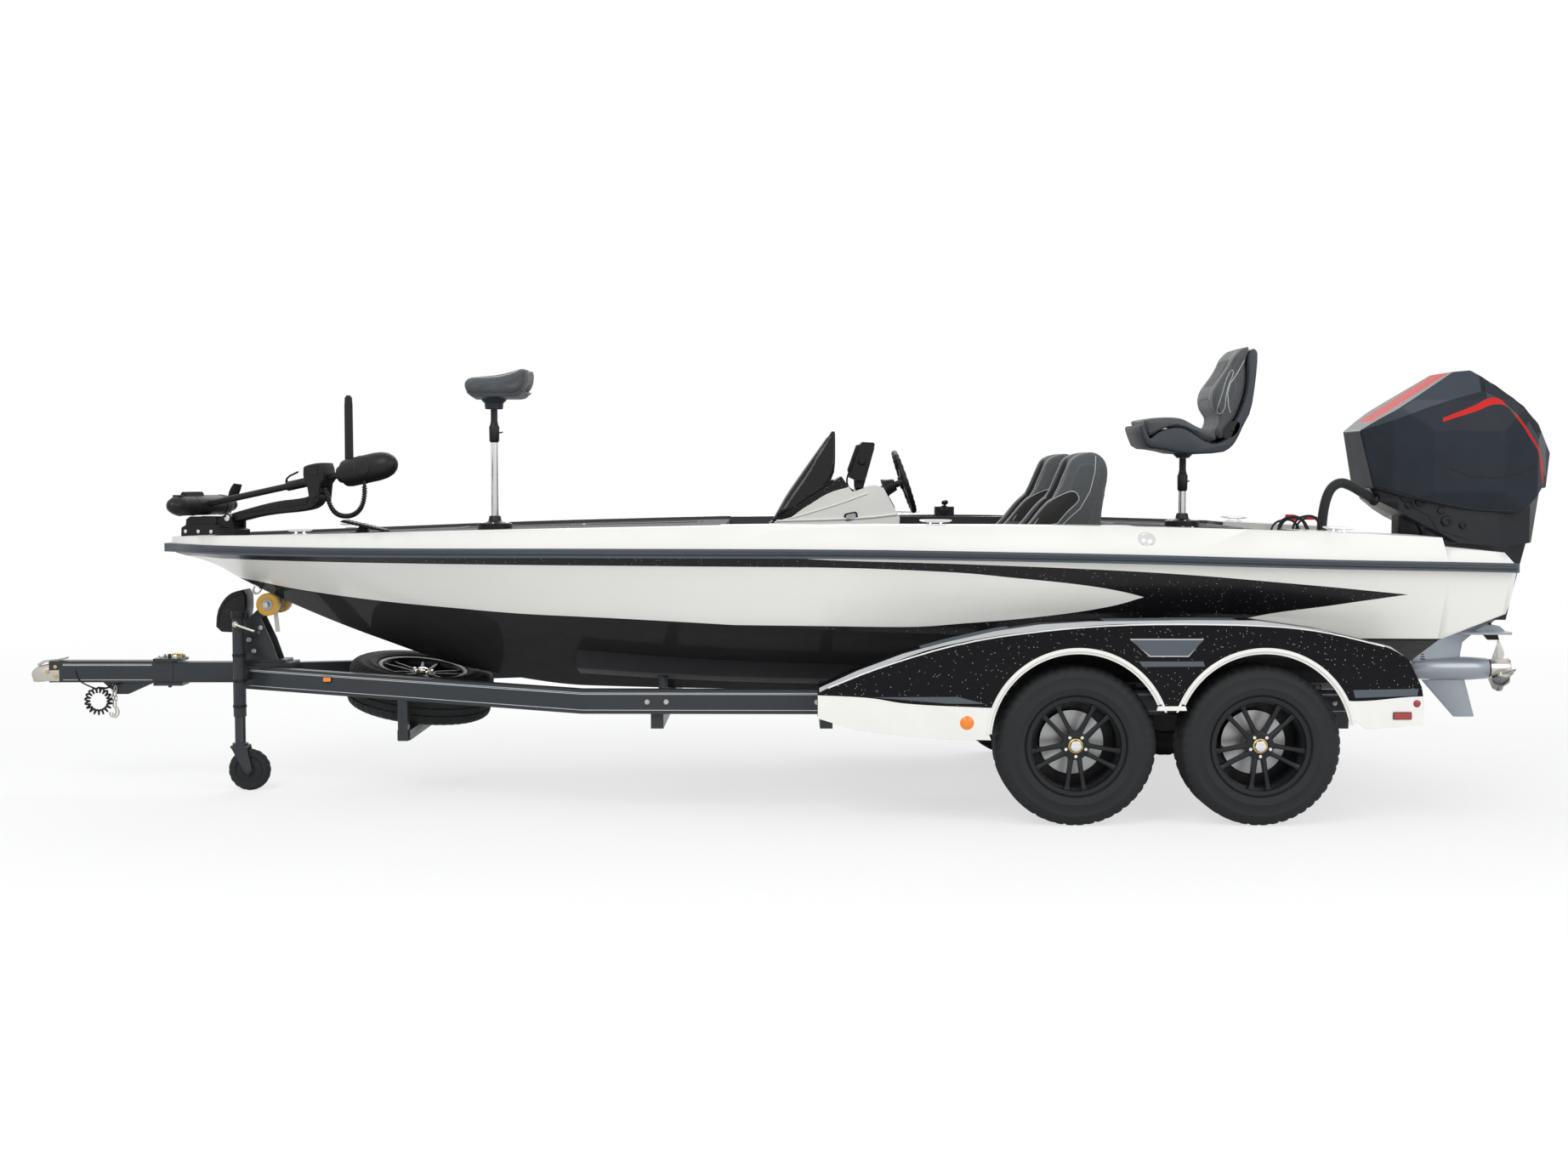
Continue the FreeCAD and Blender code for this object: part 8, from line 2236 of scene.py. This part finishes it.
@dataclass
class Wheels:
    """The four road wheels and the spare, on black rims with five pairs of spokes."""

    radius: float = 0.368
    width: float = 0.235
    rim: float = 0.228
    bead: float = 0.216
    rim_half: float = 0.098
    wheel_y: float = 1.108
    axles: tuple[tuple[str, float], ...] = (("front", 1.334), ("rear", 2.178))
    spare: tuple[float, float, float] = (-1.88136, 0.0, 0.508)
    spare_tilt: float = 8.0
    spare_lean: float = 6.0

    def build(self) -> None:
        """Build all five wheels."""
        tyre, rim = self.tyre(), self.rim_casting()
        for end, x in self.axles:
            for side, sign in SIDES.items():
                place = at(x, sign * self.wheel_y, self.radius) @ spin(0 if sign > 0 else 180, "Z")
                body = f"{side}_{end}_wheel"
                self.set_wheel(tyre, rim, place, body, f"{side}_{end}", f"{side}_{end}_rim",
                    f"{side}_{end}_tyre")
        place = (at(*self.spare) @ spin(self.spare_tilt, "Y") @ spin(self.spare_lean, "X") @ spin(90, "X"))
        self.set_wheel(tyre, rim, place, "root", "spare", "spare_rim", "spare_tyre")

    def set_wheel(self, tyre: Shell, rim: Shell, place: Matrix, body: str, name: str, rim_node: str,
            tyre_node: str) -> None:
        """Set copies of the tyre and the rim in one place."""
        Shell().joined(tyre, place).piece(f"{name}_tread_tyre", TYRE, body, soft=38, replaces=[tyre_node])
        Shell().joined(rim, place).piece(f"{name}_spoked_rim", (RIM, DISC, BRASS, CHROME), body,
            bevel=0.0012, soft=35, replaces=[rim_node])

    def tyre(self) -> Shell:
        """Return a tyre about the Y axis: beads, sidewalls with rings, shoulder lugs and grooved tread."""
        r, half, rh = self.radius, self.width / 2, self.rim_half
        profile = [(self.bead + 0.001, -rh + 0.02), (self.bead + 0.001, -rh), (self.rim + 0.003, -rh -
            0.002), (self.rim + 0.01, -half + 0.006), (self.rim + 0.024, -half + 0.001), (r - 0.104,
            -half), (r - 0.102, -half - 0.0012), (r - 0.098, -half - 0.0012), (r - 0.096, -half), (r -
            0.07, -half), (r - 0.052, -half + 0.0015), (r - 0.05, -half + 0.0005), (r - 0.034, -half +
            0.004), (r - 0.018, -half + 0.012), (r - 0.007, -half + 0.022), (r - 0.001, -half + 0.036)]
        lugs = {12, 13, 14, 15}
        lanes = (-0.058, -0.02, 0.02, 0.058)
        for lane in lanes:
            profile += [(r, lane - 0.0045), (r - 0.0075, lane - 0.0035), (r - 0.0075, lane + 0.0035), (r,
                lane + 0.0045)]
        mirror = [(a, -b) for a, b in reversed(profile[:16])]
        count = len(profile)
        profile += mirror
        lugs |= {count + 15 - n for n in lugs}
        ribs = {16 + 4 * n + k for n in range(4) for k in (0, 3)}
        profile += [(self.bead + 0.001, rh - 0.02), (r - 0.024, rh - 0.016), (r - 0.024, -rh + 0.016)]

        def dent(step: int, index: int) -> float:
            """Return how far the tread is cut at a step and a profile point."""
            if index in lugs:
                return 0.0058 if step % 4 == 0 else 0.0
            if index in ribs:
                return 0.005 if (step + 2 * (index // 4)) % 6 == 0 else 0.0
            return 0.0

        made = Shell()
        steps = 192
        rings = []
        for step in range(steps):
            turn = 2 * math.pi * step / steps
            rings.append([(math.cos(turn) * (a - dent(step, index)), b, math.sin(turn) * (a - dent(step,
                index))) for index, (a, b) in enumerate(profile)])
        return made.loft(rings, looped=True)

    def rim_casting(self) -> Shell:
        """Return a rim about the Y axis, its face toward +Y, with its hub, lug nuts and brake disc."""
        rh, bead, edge = self.rim_half, self.bead, self.rim
        made = Shell()
        barrel = [(bead - 0.012, -rh), (bead - 0.001, -rh), (edge - 0.001, -rh - 0.004), (edge - 0.002, -rh
            - 0.008), (bead - 0.012, -rh - 0.006)]
        made.lathe(barrel, (0, 0, 0), (0, 1, 0), 72)
        shell = [(bead - 0.0115, -rh - 0.006), (bead - 0.0005, -rh), (bead - 0.0005, rh), (edge - 0.001, rh
            + 0.003), (edge + 0.001, rh + 0.006), (edge - 0.002, rh + 0.009), (bead - 0.008, rh + 0.006),
            (bead - 0.014, rh - 0.008), (bead - 0.018, rh - 0.03), (bead - 0.022, rh - 0.07), (bead -
            0.014, -rh + 0.01)]
        rings = []
        for step in range(96):
            turn = 2 * math.pi * step / 96
            rings.append([(math.cos(turn) * a, b, math.sin(turn) * a) for a, b in shell])
        made.loft(rings, looped=True)
        for pair in range(5):
            for lean in (-1, 1):
                blade = Shell()
                rows = []
                for reach, off, half, low, high in ((0.046, 0.017, 0.013, 0.04, 0.078), (0.08, 0.022,
                        0.0105, 0.046, 0.084), (0.13, 0.029, 0.0095, 0.052, 0.088), (0.175, 0.036, 0.0105,
                        0.056, 0.09), (0.202, 0.042, 0.015, 0.058, 0.094)):
                    mid = lean * off
                    rows.append([(reach, low, mid - half), (reach, low, mid + half), (reach, high - 0.004,
                        mid + half), (reach, high, mid + half * 0.55), (reach, high, mid - half * 0.55),
                        (reach, high - 0.004, mid - half)])
                blade.loft(rows)
                made.joined(blade, spin(72 * pair + 90, "Y"))
        made.lathe([(0.026, -0.104), (0.06, -0.104), (0.06, 0.06), (0.066, 0.072), (0.064, 0.08),
            (0.05, 0.0835), (0.034, 0.084), (0.026, 0.083)], (0, 0, 0), (0, 1, 0), 64)
        for lug in range(5):
            turn = math.radians(72 * lug + 36 + 90)
            spot = (0.048 * math.cos(turn), 0.0825, 0.048 * math.sin(turn))
            made.lathe([(0.0095, -0.002), (0.0095, 0.01), (0.0075, 0.0125), (0.001, 0.013)], spot, (0, 1,
                0), 6, mark=3)
        made.lathe([(0.034, 0.082), (0.034, 0.088), (0.03, 0.0905), (0.0275, 0.09)], (0, 0, 0), (0, 1, 0),
            40, mark=2)
        made.lathe([(0.0275, 0.08), (0.0275, 0.095), (0.024, 0.101), (0.012, 0.1035), (0.001, 0.104)], (0,
            0, 0), (0, 1, 0), 40, mark=3)
        disc = [(0.06, -0.07), (0.086, -0.068), (0.15, -0.066), (0.15, -0.058), (0.149, -0.052), (0.086,
            -0.05), (0.06, -0.048)]
        made.lathe(disc, (0, 0, 0), (0, 1, 0), 64, mark=1)
        stem = [(0.19, rh - 0.016, 0.0), (0.182, rh + 0.000, 0.0), (0.176, rh + 0.008, 0.0)]
        made.tube(stem, 0.004, sides=10, smooth=1)
        return made


@dataclass
class Jack:
    """The tongue jack: its tube with a crank, the sliding leg, the swivel fork and the wheel."""

    x: float = -2.768
    y: float = -0.19
    top: float = 0.912
    leg: float = 0.232
    caster: float = 0.106
    back: float = 0.046

    def build(self) -> None:
        """Build the jack from its cap to its wheel."""
        node_copy("jack_tube", TRAILER, bevel=0.0012, soft=40)
        node_copy("jack_leg", TRAILER, "jack_leg", bevel=0.0012, soft=40)
        node_copy("caster_fork", TRAILER, "caster_fork", bevel=0.0012, soft=40)
        self.crank()
        self.wheel()

    def crank(self) -> None:
        """Build the jack's black cap, its side crank with a knob, and the bands round its tube."""
        crank = Shell()
        crank.lathe([(0.0385, -0.034), (0.0395, -0.03), (0.0395, -0.004), (0.034, 0.0015), (0.001,
            0.0025)], (self.x, self.y, self.top), (0, 0, 1), 40)
        for z in (0.43, 0.56, 0.69):
            crank.lathe([(0.0325, -0.008), (0.0345, -0.006), (0.0345, 0.006), (0.0325, 0.008)], (self.x,
                self.y, z), (0, 0, 1), 40)
        hub = self.y - 0.062
        crank.lathe([(0.014, -0.018), (0.014, 0.006), (0.001, 0.008)], (self.x, hub, self.top - 0.06), (0,
            -1, 0), 24, mark=1)
        crank.tube([(self.x, hub - 0.004, self.top - 0.06), (self.x + 0.05, hub - 0.006, self.top - 0.078),
            (self.x + 0.115, hub - 0.008, self.top - 0.1)], 0.0065, sides=12, mark=1)
        crank.lathe([(0.009, 0.0), (0.012, 0.006), (0.0125, 0.04), (0.01, 0.052), (0.001, 0.054)], (self.x
            + 0.115, hub - 0.004, self.top - 0.1), (0, -1, 0), 20)
        crank.piece("jack_crank", (BLACK_PLASTIC, ZINC), bevel=0.0006)

    def wheel(self) -> None:
        """Build the jack's wheel with its chunky tread."""
        low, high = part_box("caster_wheel")
        half = (high.y - low.y) / 2
        r = self.caster - 0.0005
        profile = [(0.0095, -half + 0.004), (0.03, -half), (0.034, -half + 0.006), (r - 0.04, -half +
            0.008), (r - 0.034, -half + 0.002), (r - 0.012, -half + 0.003), (r - 0.002, -half + 0.012), (r,
            -half + 0.02), (r, -0.002), (r, 0.002)]
        profile += [(a, -b) for a, b in reversed(profile[:-2])]
        tread = {5, 6, 7, 10, 11, 12}

        def dent(step: int, index: int) -> float:
            """Return how far the tread is cut at a step and a profile point."""
            return 0.005 if index in tread and step % 4 == (0 if index < 9 else 2) else 0.0

        made = Shell().lathe(profile, (self.x + self.back, self.y, self.caster), (0, 1, 0), 72, dent=dent)
        made.piece("caster_tread_wheel", TYRE, "caster_wheel", soft=30, replaces=["caster_wheel"])




@dataclass
class Studio:
    """The camera, the lights and the pale floor."""

    eye: tuple[float, float, float] = (0.0, -10.0, 1.62)
    pitch: float = 3.43
    lens: float = 44.51
    floor_half: float = 60.0

    def build(self) -> None:
        """Make everything that isn't part of the boat."""
        self.camera()
        self.lights()
        self.floor()
        scene = bpy.context.scene
        scene.view_settings.view_transform = "Standard"

    def camera(self) -> None:
        """Stand the camera where the photograph was taken from."""
        data = bpy.data.cameras.new("camera")
        data.lens, data.sensor_width, data.clip_end = self.lens, 36.0, 300.0
        camera = bpy.data.objects.new("camera", data)
        camera.location = self.eye
        camera.rotation_euler = (math.radians(90 - self.pitch), 0, 0)
        bpy.context.scene.collection.objects.link(camera)
        bpy.context.scene.camera = camera

    def lights(self) -> None:
        """Hang three large soft lamps and make a pale world."""
        lamps = (("key", (-4.0, -9.0, 8.5), 7.0, 620.0), ("fill", (6.5, -7.0, 5.0), 6.0, 260.0), ("back",
            (0.0, 8.0, 7.0), 8.0, 380.0))
        for name, place, size, power in lamps:
            data = bpy.data.lights.new(name, "AREA")
            data.shape, data.size, data.energy = "DISK", size, power
            lamp = bpy.data.objects.new(name, data)
            lamp.location = place
            aim = Vector((0.0, 0.0, 0.9)) - Vector(place)
            lamp.rotation_euler = aim.to_track_quat("-Z", "Y").to_euler()
            bpy.context.scene.collection.objects.link(lamp)
        world = bpy.data.worlds.new("studio")
        world.use_nodes = True
        bpy.context.scene.world = world
        tree = world.node_tree
        tree.nodes.clear()
        rays = tree.nodes.new("ShaderNodeLightPath")
        seen = tree.nodes.new("ShaderNodeMath")
        seen.operation = "MAXIMUM"
        tree.links.new(rays.outputs["Is Camera Ray"], seen.inputs[0])
        other = tree.nodes.new("ShaderNodeMath")
        other.operation = "MAXIMUM"
        tree.links.new(rays.outputs["Is Glossy Ray"], other.inputs[0])
        tree.links.new(rays.outputs["Is Transmission Ray"], other.inputs[1])
        tree.links.new(other.outputs[0], seen.inputs[1])
        light, backdrop = tree.nodes.new("ShaderNodeBackground"), tree.nodes.new("ShaderNodeBackground")
        light.inputs["Color"].default_value, light.inputs["Strength"].default_value = (0.95, 0.97, 1.0,
            1.0), 0.62
        backdrop.inputs["Color"].default_value, backdrop.inputs["Strength"].default_value = (1, 1, 1,
            1), 1.0
        mix = tree.nodes.new("ShaderNodeMixShader")
        tree.links.new(seen.outputs[0], mix.inputs[0])
        tree.links.new(light.outputs[0], mix.inputs[1])
        tree.links.new(backdrop.outputs[0], mix.inputs[2])
        out = tree.nodes.new("ShaderNodeOutputWorld")
        tree.links.new(mix.outputs[0], out.inputs["Surface"])

    def floor(self) -> None:
        """Lay the floor, whose own colour reads as white where no shadow falls."""
        half = self.floor_half
        mesh = bpy.data.meshes.new("floor")
        mesh.from_pydata([(-half, -half, 0), (half, -half, 0), (half, half, 0), (-half, half, 0)], [], [(0,
            1, 2, 3)])
        floor = bpy.data.objects.new("floor", mesh)
        bpy.context.scene.collection.objects.link(floor)
        shader = Shader("floor_white")
        tree = shader.tree
        shader.surface.inputs["Roughness"].default_value = 0.9
        shader.surface.inputs["Specular IOR Level"].default_value = 0.1
        shader.feed(shader.surface.inputs["Base Color"], shader.blend(shader.noise(0.6), (0.9, 0.9, 0.9),
            (0.92, 0.92, 0.92)))
        glow = tree.nodes.new("ShaderNodeEmission")
        glow.inputs["Strength"].default_value = 1.0
        rays = tree.nodes.new("ShaderNodeLightPath")
        x, y, _ = shader.axes()
        far = shader.maths("SQRT", shader.maths("ADD", shader.maths("MULTIPLY", x, x),
            shader.maths("MULTIPLY", y, y)))
        fade = shader.node("ShaderNodeMapRange", Value=far)
        fade.inputs["From Min"].default_value, fade.inputs["From Max"].default_value = 4.0, 11.0
        fade.inputs["To Min"].default_value, fade.inputs["To Max"].default_value = 0.66, 1.0
        share = shader.maths("MULTIPLY", rays.outputs["Is Camera Ray"], fade.outputs["Result"])
        mix = tree.nodes.new("ShaderNodeMixShader")
        tree.links.new(share, mix.inputs[0])
        tree.links.new(shader.surface.outputs[0], mix.inputs[1])
        tree.links.new(glow.outputs[0], mix.inputs[2])
        tree.links.new(mix.outputs[0], tree.nodes["Material Output"].inputs["Surface"])
        mesh.materials.append(shader.material)


def main() -> None:
    """Build every sub-assembly in order, then the studio round it."""
    logging.basicConfig(level=logging.INFO, format="%(name)s: %(message)s")
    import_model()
    Studio().build()
    for assembly in (Hull(), Cockpit(), Seats(), Outboard(), TrollingMotor(), Trailer(), Fenders(),
            Wheels(), Jack()):
        LOG.info("building %s", type(assembly).__name__)
        assembly.build()


if __name__ == "__main__":
    main()
